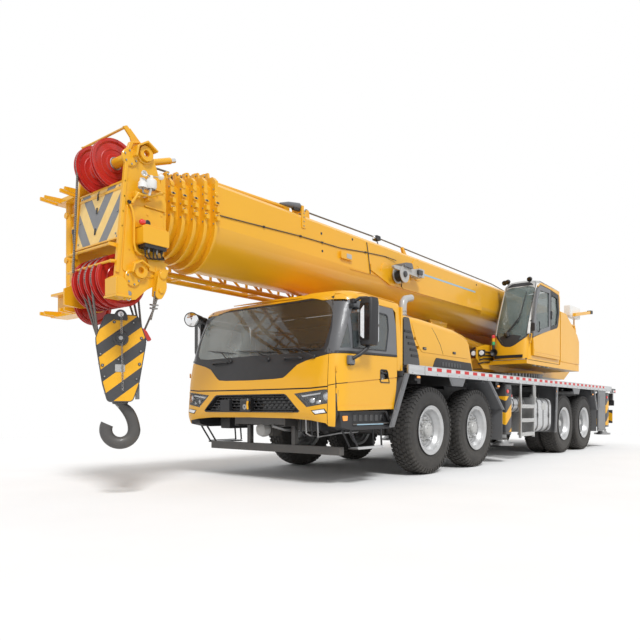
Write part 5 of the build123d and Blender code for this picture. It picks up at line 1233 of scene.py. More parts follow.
def head_details():
    """What is bolted and welded to the boom head."""
    kit = Kit("head_plates", "boom_tip", 3, slot="crane_yellow")
    edge = [(4060, 3470), (4150, 3440), (4192, 3340), (4225, 3000), (4268, 2480), (4300, 2180)]
    for side in SIDES.values():
        y0, y1 = sorted((side * (CHEEK_Y - 10), side * (CHEEK_Y + 16)))
        band = edge + [(x - 34, z - 6) for x, z in reversed(edge)]
        kit.prism(band, "y", y0, y1, "yellow")
        # pin bosses with their collars and the folded guards above them
        for x, z in ((3990, 3370), (4050, 2230)):
            kit.lathe([(0, 96), (10, 96), (16, 88), (16, 74), (0, 74)], (x, side * CHEEK_Y, z), (0, side, 0),
                      "yellow", 40)
        y0, y1 = sorted((side * CHEEK_Y, side * (CHEEK_Y + 78)))
        guard = [(4110, 3300), (4128, 3306), (4100, 3416), (3996, 3486), (3880, 3420), (3886, 3404),
                 (3994, 3466),
                 (4088, 3404)]
        kit.prism(guard, "y", y0, y1, "yellow")
        low = [(4150, 2190), (4166, 2196), (4140, 2282), (4056, 2330), (3964, 2280), (3972, 2266),
               (4054, 2310),
               (4128, 2268)]
        kit.prism(low, "y", y0, y1 if side > 0 else y1, "yellow")
        # doubler along the lower half of the cheek and its stiffening ribs
        y0, y1 = sorted((side * (CHEEK_Y - 4), side * (CHEEK_Y + 9)))
        kit.prism(soften([(4180, 2850), (3775, 2862), (3765, 2330), (3900, 2180), (4230, 2200)], 40), "y", y0,
                  y1,
                  "yellow")
        for z in (3060, 2870):
            kit.box(3760, 3990, min(side * 412, side * 432), max(side * 412, side * 432), z - 7, z + 7,
                    "yellow")
    # lower bracket in front of the pack, box with the plugs, keeper bars
    kit.prism([(4250, 1936), (4372, 1936), (4372, 2106), (4300, 2106), (4262, 2060)], "y", 384, 560, "yellow")
    kit.prism([(4230, 1925), (4386, 1925), (4386, 1946), (4230, 1946)], "y", 360, 575, "yellow")
    kit.prism([(4374, 1946), (4386, 1946), (4386, 2100), (4374, 2100)], "y", 384, 572, "yellow")
    rounded_box(kit, 3806, 4098, CHEEK_Y + 16, CHEEK_Y + 150, 2474, 2632, 14, "yellow", "y")
    kit.prism([(3800, 2632), (4104, 2632), (4040, 2664), (3830, 2664)], "y", CHEEK_Y, CHEEK_Y + 120, "yellow")
    kit.tube([(4330, -390, 2266), (4330, 398, 2280)], 13, "yellow", 10)
    kit.tube([(4250, 392, 2290), (4342, 392, 2276)], 17, "yellow", 8)
    kit.tube([(4250, -392, 2290), (4342, -392, 2276)], 17, "yellow", 8)
    # top arm with its rod, and the cylinder that reaches back over the collars
    for side in SIDES.values():
        y0, y1 = sorted((side * 368, side * 388))
        kit.prism([(4010, 3480), (4096, 3400), (4150, 3566), (4128, 3584)], "y", y0, y1, "yellow")
    kit.tube([(3745, 120, 3440), (3480, 120, 3545)], 34, "yellow", 18)
    kit.tube([(3560, 120, 3512), (3420, 120, 3566)], 24, "chrome", 14)
    rounded_box(kit, 3720, 3800, 80, 160, 3360, 3470, 12, "yellow", "y")
    # bracket arm on the near cheek
    kit.tube([(4150, CHEEK_Y + 40, 2846), (4100, CHEEK_Y + 62, 2946), (3960, CHEEK_Y + 66, 2962),
              (3822, CHEEK_Y + 54, 3030)], 15, "yellow", 10)
    rounded_box(kit, 4074, 4126, CHEEK_Y, CHEEK_Y + 66, 2912, 2970, 10, "yellow", "y")
    rounded_box(kit, 3944, 3990, CHEEK_Y, CHEEK_Y + 60, 2920, 2974, 10, "yellow", "y")
    # dead-end link
    link = soften([(3800, 2275), (3772, 2235), (3786, 2186), (3776, 2100), (3800, 2036), (3838, 1980),
                   (3872, 1976),
                   (3906, 2000), (3892, 2110), (3880, 2190), (3856, 2270)], 24, 3)
    for y in (CHEEK_Y + 22, CHEEK_Y + 64):
        kit.prism(link, "y", y - 9, y + 9, "yellow")
    kit.lathe([(-58, 42), (4, 42), (10, 34), (10, 0.1)], (3828, CHEEK_Y + 80, 2216), (0, 1, 0), "yellow", 26)
    kit.lathe([(-62, 26), (8, 26), (12, 20), (12, 0.1)], (3850, CHEEK_Y + 78, 2060), (0, 1, 0), "yellow", 22)
    kit.prism([(3730, 2350), (3980, 2390), (3950, 2250), (3870, 2236), (3780, 2290)], "y", CHEEK_Y,
              CHEEK_Y + 30,
              "yellow")
    for x, z in ((4205, 3050), (4212, 2905), (4226, 2760), (4236, 2620), (4160, 2420), (3800, 2820),
                 (3790, 2700),
                 (3900, 2240), (3850, 3010), (3905, 3330), (4120, 3240), (3960, 2790), (4120, 2790)):
        for side in SIDES.values():
            kit.bolt((x, side * (CHEEK_Y + 8), z), (0, side, 0), 11, 8, "yellow")
    kit.done()
    dark = Kit("head_fittings", "boom_tip", 1.2, slot="fender_black")
    # lamp, plugs under the box, cup anemometer, hose, shackle, sleeve pins
    dark.lathe([(-30, 12), (20, 14), (24, 30), (62, 30), (66, 24), (66, 0.1)], (4004, CHEEK_Y + 22, 2686),
               (0, 1, 0),
               "black", 24)
    dark.lathe([(0, 29), (30, 27), (44, 16), (48, 0.1)], (4040, CHEEK_Y + 62, 2688), (1, 0.3, 0), "red_lens",
               24)
    dark.box(3830, 4070, CHEEK_Y + 24, CHEEK_Y + 140, 2440, 2476, "black")
    for k in range(5):
        x = 4046 - k * 46
        dark.lathe([(0, 15), (28, 15), (30, 10), (44, 10), (46, 0.1)],
                   (x, CHEEK_Y + 100 - 14 * (k % 2), 2446),
                   (0, 0, -1), "steel" if k % 2 else "black", 16)
        dark.tube([(x, CHEEK_Y + 100 - 14 * (k % 2), 2404), (x - 10, CHEEK_Y + 90, 2360),
                   (x - 60, CHEEK_Y + 60, 2350 + 6 * k), (3800, CHEEK_Y + 34, 2380 + 8 * k)], 7, "black", 6)
    dark.tube([(4168, CHEEK_Y + 20, 2862), (4140, CHEEK_Y + 34, 2790), (4122, CHEEK_Y + 36, 2700),
               (4122, CHEEK_Y + 36, 2480), (4104, CHEEK_Y + 34, 2410), (4060, CHEEK_Y + 30, 2386),
               (3968, CHEEK_Y + 26, 2396)], 12, "yellow", 10)
    dark.tube([(4166, CHEEK_Y + 14, 2866), (4168, CHEEK_Y + 40, 2850)], 17, "black", 12)
    hub = (3986, CHEEK_Y + 110, 3080)
    dark.lathe([(-70, 40), (-50, 52), (10, 52), (24, 40), (30, 20), (60, 18), (62, 0.1)], hub, (0, 0, 1),
               "white", 28)
    dark.lathe([(0, 44), (50, 40), (60, 30), (90, 26), (92, 0.1)], (4060, CHEEK_Y + 80, 3010), (0, 0, 1),
               "white", 24)
    dark.tube([(3990, CHEEK_Y, 2960), (3990, CHEEK_Y + 90, 2964), (3988, CHEEK_Y + 110, 3020)], 12, "white",
              10)
    dark.tube([(3990, CHEEK_Y + 60, 2964), (4058, CHEEK_Y + 82, 2968), (4060, CHEEK_Y + 80, 3012)], 10,
              "steel", 8)
    for turn in (15, 135, 255):
        dx, dy = 92 * cos(radians(turn)), 92 * sin(radians(turn))
        cup = (hub[0] + dx, hub[1] + dy, hub[2] + 52)
        dark.tube([(hub[0], hub[1], hub[2] + 50), cup], 5, "steel", 6)
        way = (-sin(radians(turn)), cos(radians(turn)), 0)
        dark.lathe([(-30, 0.1), (-26, 14), (-14, 25), (0, 29), (3, 27), (-12, 20), (-24, 0.2)], cup, way,
                   "white", 20)
    shackle(dark, (4161, CHEEK_Y + 6, 1950), 36, "steel")
    dark.lathe([(0, 24), (30, 24), (34, 20), (34, 0.1)], (4161, CHEEK_Y - 10, 1995), (0, 1, 0), "steel", 20)
    dark.done()
    # front panel with chevrons, and the dark opening below it
    panel = Kit("head_panel", "boom_tip", 2, slot="crane_yellow")
    panel.prism([(4204, 3056), (4254, 2512), (4244, 2511), (4194, 3055)], "y", -372, 372, "chevron")
    panel.prism([(4196, 3060), (4212, 3064), (4214, 3050), (4198, 3046)], "y", -384, 384, "yellow")
    panel.prism([(4246, 2500), (4262, 2502), (4258, 2520), (4242, 2518)], "y", -384, 384, "yellow")
    for z, dz in ((2990, 70), (2850, 60), (2640, 66)):
        x = 4204 + (3056 - z) * 50 / 544
        panel.prism([(x + 1, z + dz / 2), (x + 6, z + dz / 2), (x + 6 + dz * 0.09, z - dz / 2),
                     (x + 1 + dz * 0.09, z - dz / 2)], "y", -44, -20, "black")
    for z in (3020, 2780, 2560):
        for y in (-340, 340):
            x = 4204 + (3056 - z) * 50 / 544
            panel.bolt((x, y, z), (1, 0, 0.09), 10, 8, "steel")
    panel.done()
    # sleeves that hang on the jib frame
    sleeves = Kit("jib_sleeves", "boom_base", 1.5, slot="crane_yellow")
    for z in (2790, 2480):
        sleeves.tube([(3980, -930, z + 110), (3990, -900, z + 70)], 26, "yellow", 16)
        sleeves.lathe([(0, 30), (46, 30), (50, 22), (150, 18), (156, 0.1)], (3990, -898, z + 80),
                      (0.05, 0.05, -1),
                      "gloss_black", 20)
        sleeves.tube([(3955, -1060, z + 110), (3980, -930, z + 110)], 10, "yellow", 8)
    sleeves.done()


def head_ropes():
    """Hoist rope: over the upper sheave, down to the pack, and back along the boom's top."""
    kit = Kit("hoist_rope_tip", "boom_tip", 0, slot="rope_steel")
    reach = 228
    arc = [(4150 + reach * cos(radians(t)), -150, 3290 + reach * sin(radians(t)))
           for t in range(100, -21, -10)]
    kit.tube([(3300, -150, 3540)] + arc + [(4372, -212, 2240)], 11, "rope", 8)
    kit.done()
    rear = Kit("hoist_rope_boom", "boom_base", 0, slot="rope_steel")
    rear.tube([(-7600, -100, 3440), (-4700, 60, 3560), (-500, 110, 3580), (1300, 60, 3584),
               (3100, -140, 3548)], 11,
              "rope", 8)
    rear.done()
    guide = Kit("rope_guides", "boom_base", 2, slot="crane_yellow")
    for x, y, z in ((-7600, -100, 3440), (1300, 60, 3560), (3080, -140, 3520)):
        guide.lathe([(-70, 38), (-60, 38), (-56, 22), (56, 22), (60, 38), (70, 38), (70, 0.1)], (x, y, z - 4),
                    (0, 1, 0), "steel", 24, caps=True)
        for edge in (y - 82, y + 82):
            guide.prism([(x - 60, 3352), (x + 60, 3352), (x + 26, z + 14), (x - 26, z + 14)], "y", edge - 6,
                        edge + 6,
                        "yellow")
    guide.done()


BLOCK_X = 3990
BLOCK_YAW = -30
BLOCK_TURN = (BLOCK_YAW, BLOCK_X)


def block_point(u, v):
    """Row place of a point given along and across the hook block."""
    c, s = cos(radians(BLOCK_YAW)), sin(radians(BLOCK_YAW))
    return BLOCK_X + u * c - v * s, u * s + v * c


def hook_block_pieces():
    """Striped cheeks, sheaves, tie rods and ropes of the hook block."""
    x = BLOCK_X
    kit = Kit("block_cheeks", "hook_block", 2.5, slot="crane_yellow", replaces=("hook_block",))
    outline = soften([(x - 160, 1836), (x + 140, 1836), (x + 232, 1600), (x + 226, 1540), (x + 168, 1160),
                      (x + 118, 975), (x - 112, 975), (x - 172, 1150), (x - 236, 1540), (x - 240, 1600)], 34,
                      4)
    middle = (x, 1450)
    for side in SIDES.values():
        y = side * 125
        kit.prism(outline, "y", y - 12, y + 12, "hazard" if side > 0 else "gloss_black")
        trace = [(px, y + side * 12, pz) for px, pz in outline]
        kit.tube(trace, 5, "dark", 6, close=True)
        inner = [(middle[0] + (px - middle[0]) * 0.96, middle[1] + (pz - middle[1]) * 0.97) for px,
                 pz in outline]
        if side < 0:
            kit.prism(inner, "y", y - 15, y - 11, "hazard")
    kit.done(BLOCK_TURN)
    parts = Kit("block_parts", "hook_block", 0, slot="hook_steel")
    lug = soften([(x - 70, 1780), (x + 70, 1780), (x + 56, 1850), (x + 24, 1886), (x - 24, 1886),
                  (x - 56, 1850)], 22, 3)
    parts.prism(lug, "y", 100, 150, "dark")
    parts.lathe([(0, 27), (4, 27), (6, 21), (6, 0.1)], (x, 150, 1840), (0, 1, 0), "clear_lens", 20)
    for v in (-72, 0, 72):
        parts.lathe([(-23, 60), (-23, 90), (-9, 100), (-9, 180), (-22, 196), (-22, 215), (-14, 215),
                     (-9, 200),
                     (9, 200), (14, 215), (22, 215), (22, 196), (9, 180), (9, 100), (23, 90), (23, 60)],
                    (x, v, 1600), (0, 1, 0), "dark", 56)
    for side in SIDES.values():
        parts.lathe([(-10, 74), (18, 74), (24, 66), (24, 46), (40, 44), (46, 36), (46, 0.1)],
                    (x, side * 130, 1600),
                    (0, side, 0), "dark", 36)
        parts.bolt((x, side * 172, 1600), (0, side, 0), 22, 12, "steel")
        for dx, dz in ((-196, 1610), (-190, 1480), (-178, 1350), (186, 1440), (168, 1330), (150, 1220),
                       (-150, 1200),
                       (20, 1390), (60, 1760), (-120, 1760)):
            parts.lathe([(0, 15), (9, 15), (12, 11), (12, 0.1)], (x + dx, side * 136, dz), (0, side, 0),
                        "dark", 14)
            parts.bolt((x + dx, side * 147, dz), (0, side, 0), 7, 4, "steel")
    for dx, dz in ((-215, 1610), (-196, 1350), (196, 1350), (215, 1610), (-140, 1060), (140, 1060)):
        parts.tube([(x + dx, -118, dz), (x + dx, 118, dz)], 13, "light_grey", 12)
    parts.box(x - 180, x - 150, -112, 112, 1000, 1150, "mid_grey")
    parts.prism([(x - 104, 990), (x + 104, 990), (x + 104, 1090), (x - 104, 1090)], "y", -112, 112, "dark")
    rounded_box(parts, x - 40, x + 52, 137, 141, 1268, 1342, 8, "light_grey", "y")
    for dx, dz in ((-34, 1274), (46, 1274), (-34, 1336), (46, 1336)):
        parts.bolt((x + dx, 140, dz), (0, 1, 0), 4, 3, "steel")
    chain(parts, (x - 4, 168, 1846), (x - 20, 152, 1080), 38, 10, "steel")
    # red rope wedge at the block's top corner
    parts.prism(soften([(x - 246, 1690), (x - 296, 1600), (x - 262, 1585), (x - 226, 1640), (x - 206, 1720)],
                       12, 2),
                "y", 60, 118, "red")
    parts.prism([(x - 236, 1560), (x - 186, 1560), (x - 176, 1700), (x - 226, 1700)], "y", 70, 108, "red")
    parts.done(BLOCK_TURN)
    ropes = Kit("block_ropes", "hook_block", 0, slot="rope_steel")
    head_r, block_r = 250, 208
    for index in (-1, 0, 1):
        for way in (-1, 1):
            px, py = block_point(way * block_r, 72 * index)
            ropes.tube([(px, py, 1600), (4120 + way * head_r, 110 * index, 2150)], 11, "rope", 8)
        arc = []
        for t in range(180, 361, 15):
            px, py = block_point(block_r * cos(radians(t)), 72 * index)
            arc.append((px, py, 1600 + block_r * sin(radians(t))))
        ropes.tube(arc, 11, "rope", 8)
    px, py = block_point(-228, 90)
    knot = (3905, 452, 1885)
    ropes.tube([(px, py, 1700), knot, (3860, CHEEK_Y + 46, 2040)], 10, "rope", 8)
    ropes.tube([(3940, 446, 1768), (3918, 452, 1860), (3896, CHEEK_Y + 46, 2050)], 10, "rope", 8)
    for dz in (0, 34):
        ropes.tube([(knot[0] - 34 - dz / 4, knot[1] + 6, knot[2] + dz),
                    (knot[0] + 30, knot[1] + 6, knot[2] + dz - 8)], 8,
                   "steel", 6)
        ropes.tube([(knot[0] - 34, knot[1] - 20, knot[2] + dz), (knot[0] + 34, knot[1] - 20, knot[2] + dz)],
                   8,
                   "steel", 6)
    ropes.done()
    latch = Kit("hook_latch", "hook", 1.5, slot="hook_steel")
    latch.prism([(x + 10, 930), (x + 34, 936), (x - 72, 786), (x - 92, 794)], "y", -20, 20, "gloss_black")
    latch.lathe([(-34, 17), (34, 17), (38, 12), (38, 0.1)], (x + 12, 0, 930), (0, 1, 0), "steel", 16)
    latch.lathe([(-12, 70), (0, 78), (26, 78), (34, 66)], (x, 0, 962), (0, 0, 1), "dark", 36)
    latch.done(BLOCK_TURN)


def sheave_hubs():
    """Hub rings, grease caps and rope in the grooves of the head's sheaves."""
    kit = Kit("sheave_hubs", "boom_tip", 0, slot="sheave_red")
    for x, z, ys, size in ((4150, 3290, (-150, 150), 240), (4120, 2150, (-220, -110, 0, 110, 220), 255)):
        for y in ys:
            for way in (-1, 1):
                kit.lathe([(20, 62), (27, 62), (30, 56), (30, 52)], (x, y, z), (0, way, 0), "steel", 32)
                kit.lathe([(10, size * 0.62), (14, size * 0.6), (14, size * 0.56), (10, size * 0.54)],
                          (x, y, z),
                          (0, way, 0), "red", 40)
        kit.lathe([(-384, 48), (384, 48)], (x, 0, z), (0, 1, 0), "steel", 28)
    for y in (-385, 385):
        way = 1 if y > 0 else -1
        for x, z in ((4150, 3290), (4120, 2150)):
            kit.lathe([(20, 84), (36, 84), (42, 76), (42, 0.1)], (x, y, z), (0, way, 0), "yellow", 36)
            for k in range(6):
                t = radians(60 * k + 20)
                kit.bolt((x + 62 * cos(t), y + way * 42, z + 62 * sin(t)), (0, way, 0), 9, 8, "steel")
    kit.done()
    rope = Kit("groove_ropes", "boom_tip", 0, slot="rope_steel")
    for y in (-110, 0, 110):
        arc = [(4120 + 250 * cos(radians(t)), y, 2150 + 250 * sin(radians(t))) for t in range(0, 181, 12)]
        rope.tube(arc, 10, "rope", 8)
    rope.done()


for build in (head_details, head_ropes, hook_block_pieces, sheave_hubs):
    build()

# ---------------------------------------------------------------- wheels
TYRE_R, TYRE_HALF, RIM_R = 613, 157.5, 345
TRACK, TWIN_PITCH = 1145, 351
TREAD_BLOCKS = 52                          # tread blocks round one tyre


def tyre_mesh():
    """One tyre facing +y: carcass with bead, sidewall ribs, shoulder lugs and staggered tread blocks."""
    kit = Kit("tyre", "", 0)
    x, y, z, out = 0, 0, TYRE_R, 1
    half, r = TYRE_HALF - 3, TYRE_R - 13
    shoulder = [(half - 8 - 34 * (1 - cos(radians(t))), r - 50 + 44 * sin(radians(t)))
                for t in (0, 25, 50, 72)]
    wall = [(half - 44, RIM_R - 38), (half - 26, RIM_R - 22), (half - 15, RIM_R - 2), (half - 17, RIM_R + 8),
            (half - 8, RIM_R + 30), (half - 3, RIM_R + 56), (half - 3, RIM_R + 62), (half, RIM_R + 64),
            (half, RIM_R + 84), (half + 2, RIM_R + 88), (half + 2, RIM_R + 150), (half - 1, RIM_R + 156),
            (half - 3, RIM_R + 190)]
    section = wall + shoulder
    crown = [(-a, b) for a, b in reversed(section)]
    kit.lathe(section + [(60, r), (-60, r)] + crown, (x, y, z), (0, out, 0), "rubber", 96, caps=False)
    step = 2 * pi / TREAD_BLOCKS
    rows = ((-150, -92, 0.0, 0.30), (-86, -34, 0.5, 0.34), (-28, 28, 0.0, 0.36), (34, 86, 0.5, 0.34),
            (92, 150, 0.0, 0.30))
    for k in range(TREAD_BLOCKS):
        for a, b, shift, half_share in rows:
            middle = (k + shift) * step
            lean = 0.22 * step * (1 if a + b > 0 else -1 if a + b < 0 else 0)
            outer_side = abs(a) > 91 or abs(b) > 91
            rings = []
            for depth, trim in ((-8, 0.0), (12.5, 2.0)):
                ring = []
                for along, turn in ((a, -1), (b, -1), (b, 1), (a, 1)):
                    edge = along - trim * (1 if along == b else -1)
                    drop = 0
                    if outer_side:
                        drop = 17 if abs(along) > 149 else 3 if abs(along) < 100 else 0
                    angle = middle + turn * half_share * step + lean * ((along - (a + b) / 2) / (b - a))
                    radius = r + depth - drop
                    ring.append(at(x + radius * cos(angle), y + out * edge, z + radius * sin(angle)))
                rings.append(ring)
            kit.loft(rings, "rubber")
        # lugs that run from the shoulder a little way down each wall
        for way in (-1, 1):
            angle, wide = k * step, 0.26 * step
            rings = []
            for turn in (-1, 1):
                ring = []
                for along, radius in ((half - 26, r + 2), (half + 2.5, r - 36), (half + 3, r - 62),
                                      (half - 8, r - 70),
                                      (half - 30, r - 10)):
                    a = angle + turn * wide * (0.8 if radius < r - 50 else 1.0)
                    ring.append(at(x + radius * cos(a), y + out * way * along, z + radius * sin(a)))
                rings.append(ring)
            kit.loft(rings, "rubber")
    data = bpy.data.meshes.new("tyre_pattern")
    kit.mesh.to_mesh(data)
    kit.mesh.free()
    return data


def rim_mesh(kit, x, y, out, dish, hub):
    """One disc wheel: flanges, stepped barrel, hand holes shown by their lips, ring of nuts and hub."""
    z, seat = TYRE_R, 300
    barrel = [(-TYRE_HALF + 4, RIM_R), (-TYRE_HALF + 2, RIM_R - 8), (-TYRE_HALF + 16, seat - 2),
              (-90, seat - 8),
              (-84, seat - 32), (70, seat - 32), (92, seat - 12), (130, seat - 4), (TYRE_HALF - 16, seat + 6),
              (TYRE_HALF - 8, RIM_R - 14), (TYRE_HALF - 2, RIM_R - 4), (TYRE_HALF + 2, RIM_R)]
    inner = [(TYRE_HALF + 5, RIM_R - 3), (TYRE_HALF + 4, RIM_R - 12), (TYRE_HALF - 6, RIM_R - 24),
             (TYRE_HALF - 14, seat - 6), (118, seat - 16), (96, seat - 22), (74, seat - 44), (66, seat - 46),
             (60, seat - 52)]
    lip = [(dish + 34, seat - 54), (dish + 14, seat - 62), (dish + 4, seat - 78)]
    face = [(dish + 2, 222), (dish + 18, 200), (dish + 36, 186), (dish + 42, 176), (dish + 42, 122)]
    kit.lathe(barrel + inner + lip + face + [(dish + 42, 96)], (x, y, z), (0, out, 0), "rim", 96, caps=False)
    back = [(dish - 8, seat - 60), (dish - 8, 210), (dish + 26, 176), (dish + 26, 60)]
    kit.lathe([(-TYRE_HALF + 10, RIM_R - 14), (-100, seat - 14), (-92, seat - 40),
               (dish - 8, seat - 52)] + back,
              (x, y, z), (0, out, 0), "rim", 72, caps=False)
    for k in range(10):
        t = 2 * pi * (k + 0.5) / 10
        cx, cz = x + 232 * cos(t), z + 232 * sin(t)
        kit.lathe([(dish - 2, 29), (dish + 7, 32), (dish + 10, 29), (dish + 6, 23), (dish - 14, 23)],
                  (cx, y, cz),
                  (0, out, 0), "rim", 22, caps=False)
        kit.lathe([(dish + 1, 24), (dish + 1, 0.1)], (cx, y, cz), (0, out, 0), "gloss_black", 22)
        t = 2 * pi * k / 10
        cx, cz = x + 150 * cos(t), z + 150 * sin(t)
        kit.lathe([(dish + 42, 21), (dish + 50, 21), (dish + 52, 17)], (cx, y, cz), (0, out, 0), "steel", 16)
        kit.bolt((cx, y + out * (dish + 50), cz), (0, out, 0), 17, 26, "light_grey", 6)
        kit.lathe([(dish + 70, 9), (dish + 92, 9), (dish + 95, 6), (dish + 95, 0.1)], (cx, y, cz),
                  (0, out, 0), "steel",
                  10)
    kit.lathe(hub, (x, y, z), (0, out, 0), "light_grey", 56)
    kit.tube([(x + 205, y + out * (dish + 30), z - 215), (x + 214, y + out * (dish + 80), z - 226),
              (x + 218, y + out * 118, z - 232)], 5, "gloss_black", 6)


def wheels():
    """A tyre piece and a rim piece for every wheel of the row."""
    pattern = tyre_mesh()
    for number, x in enumerate(AXLES, 1):
        steered = number <= 2
        for name, side in SIDES.items():
            rubber = Kit(f"tread_{number}_{name}", f"wheel_{number}_{name}", 0, slot="tyre_rubber",
                         replaces=(f"tyre_{number}_{name}",))
            disc = Kit(f"disc_{number}_{name}", f"wheel_{number}_{name}", 1.2, slot="rim_silver",
                       replaces=(f"rim_{number}_{name}",), segments=1)
            rubber.stamp(pattern, x, side * TRACK, side, "rubber")
            if steered:
                hub = [(40, 118), (72, 112), (78, 104), (112, 100), (120, 92), (126, 90), (130, 82),
                       (130, 0.1)]
                rim_mesh(disc, x, side * TRACK, side, 15, hub)
                for k in range(8):
                    t = 2 * pi * (k + 0.5) / 8
                    disc.bolt((x + 74 * cos(t), side * (TRACK + 129), TYRE_R + 74 * sin(t)), (0, side, 0), 7,
                              6, "steel")
            else:
                hub = [(-60, 116), (-20, 110), (-10, 100), (38, 96), (46, 84), (46, 70), (70, 66), (80, 52),
                       (80, 0.1)]
                rim_mesh(disc, x, side * TRACK, side, -95, hub)
                for k in range(8):
                    t = 2 * pi * (k + 0.5) / 8
                    disc.bolt((x + 82 * cos(t), side * (TRACK + 44), TYRE_R + 82 * sin(t)), (0, side, 0), 8,
                              7, "steel")
                rubber.stamp(pattern, x, side * (TRACK - TWIN_PITCH), side, "rubber")
                inner = side * (TRACK - TWIN_PITCH)
                disc.lathe([(-TYRE_HALF + 4, RIM_R), (-TYRE_HALF + 16, 298), (TYRE_HALF - 16, 298),
                            (TYRE_HALF - 2, RIM_R), (TYRE_HALF - 12, RIM_R - 10), (TYRE_HALF - 30, 288),
                            (-TYRE_HALF + 30, 288), (-TYRE_HALF + 12, RIM_R - 10)], (x, inner, TYRE_R),
                            (0, side, 0),
                           "rim", 72, caps=False)
                disc.lathe([(60, 288), (100, 210), (100, 70), (88, 70), (88, 204), (48, 284)],
                           (x, inner, TYRE_R),
                           (0, side, 0), "rim", 56, caps=False)
            rubber.done()
            disc.done()


wheels()

# ---------------------------------------------------------------- deck edge, fenders, jacks, ladders, tanks
DECK_EDGE = 1390
DECK_ENDS = (-8810, 740)
MARKERS = ((478, 1330), (-2052, 1286), (-4860, 1270), (-7292, 1258))


def span(side, a, b):
    """Two distances from the middle as an ordered pair on one side."""
    return tuple(sorted((side * a, side * b)))


def deck_edge(name, side):
    """Extruded edge strip with its ribs, red and white tape, end caps and marker lamps."""
    kit = Kit(f"edge_ribs_{name}", "carrier", 1.2, slot="aluminium_trim")
    for z0, z1, out in ((1472, 1484, 5), (1414, 1422, 5), (1392, 1398, 4), (1362, 1371, 7)):
        kit.box(*DECK_ENDS, *span(side, DECK_EDGE - 4, DECK_EDGE + out), z0, z1, "aluminium")
    kit.box(*DECK_ENDS, *span(side, DECK_EDGE - 3, DECK_EDGE + 1), 1366, 1478, "aluminium")
    for x in (740, 330, -8810):
        kit.box(x - 16, x + 4, *span(side, DECK_EDGE - 6, DECK_EDGE + 7), 1360, 1486, "light_grey")
    kit.box(-8816, -8806, *span(side, 300, DECK_EDGE), 1364, 1480, "aluminium")
    for k in range(30):
        kit.bolt((640 - 322 * k, side * (DECK_EDGE + 2), 1381), (0, side, 0), 8, 4, "steel")
    kit.done()
    tape = Kit(f"edge_tape_{name}", "carrier", 0, slot="aluminium_trim")
    tape.box(-8250, 250, *span(side, DECK_EDGE + 1, DECK_EDGE + 2.4), 1424, 1470, "tape")
    tape.done()
    lamps = Kit(f"marker_lamps_{name}", "carrier", 1.5, slot="fender_black")
    for x, z in MARKERS:
        lamps.box(x - 62, x + 62, *span(side, 1352, 1362), z - 46, 1372, "black")
        rounded_box(lamps, x - 44, x + 44, *span(side, 1360, 1378), z - 20, z + 20, 8, "black")
        rounded_box(lamps, x - 38, x + 38, *span(side, 1376, 1388), z - 15, z + 15, 7, "orange")
    lamps.done()


def fender_details(name, side):
    """Folds, bolts and stays of the wheel guards, and the flaps behind the wheels."""
    kit = Kit(f"guard_folds_{name}", "carrier", 2, slot="fender_black")
    for x0, x1, z1 in ((700, 1060, 680), (-1640, -2195, 900), (-4935, -4850, 450), (-7360, -7560, 900)):
        step = 1 if x1 > x0 else -1
        run = (x1 - x0) / (z1 - 1365)
        for a, b in ((1365, 1150), (1110, 900), (860, z1 + 20)):
            if b >= a:
                continue
            xa, xb = x0 + (a - 1365) * run, x0 + (b - 1365) * run
            kit.prism([(xa + step * 34, a), (xb + step * 34, b), (xb + step * 92, b), (xa + step * 92, a)],
                      "y",
                      *span(side, 1384, 1391), "mid_grey")
        for y in (1010, 1180, 1330):
            kit.bolt((x0 - step * 6, side * y, 1330), (-step, 0, 0), 10, 7, "steel")
    for x in (-2213, -7578):
        kit.prism([(side * 965, 420), (side * 1380, 420), (side * 1380, 1000), (side * 965, 1000)], "x",
                  x - 4, x + 4,
                  "black")
        for y in (1000, 1120, 1240, 1350):
            kit.bolt((x + 2, side * y, 960), (1, 0, 0), 9, 8, "steel")
    for middle in (-610, -6080):
        kit.prism(soften([(middle - 215, 1352), (middle + 215, 1352), (middle + 140, 1256),
                          (middle - 140, 1256)], 18, 2),
                  "y", *span(side, 1388, 1391), "mid_grey")
        for dx in (-200, 0, 200):
            kit.bolt((middle + dx, side * 1388, 1354), (0, side, 0), 9, 6, "steel")
    kit.prism([(-8310, 430), (-7720, 430), (-7720, 1330), (-8310, 1330)], "y", *span(side, 1383, 1389),
              "mid_grey")
    for x, z in ((-8280, 460), (-7750, 460), (-8280, 1290), (-7750, 1290), (-8010, 880)):
        kit.bolt((x, side * 1388, z), (0, side, 0), 10, 6, "steel")
    kit.prism(soften([(-8230, 950), (-7800, 950), (-7800, 1250), (-8230, 1250)], 30, 2), "y",
              *span(side, 1386, 1393),
              "mid_grey")
    kit.done()


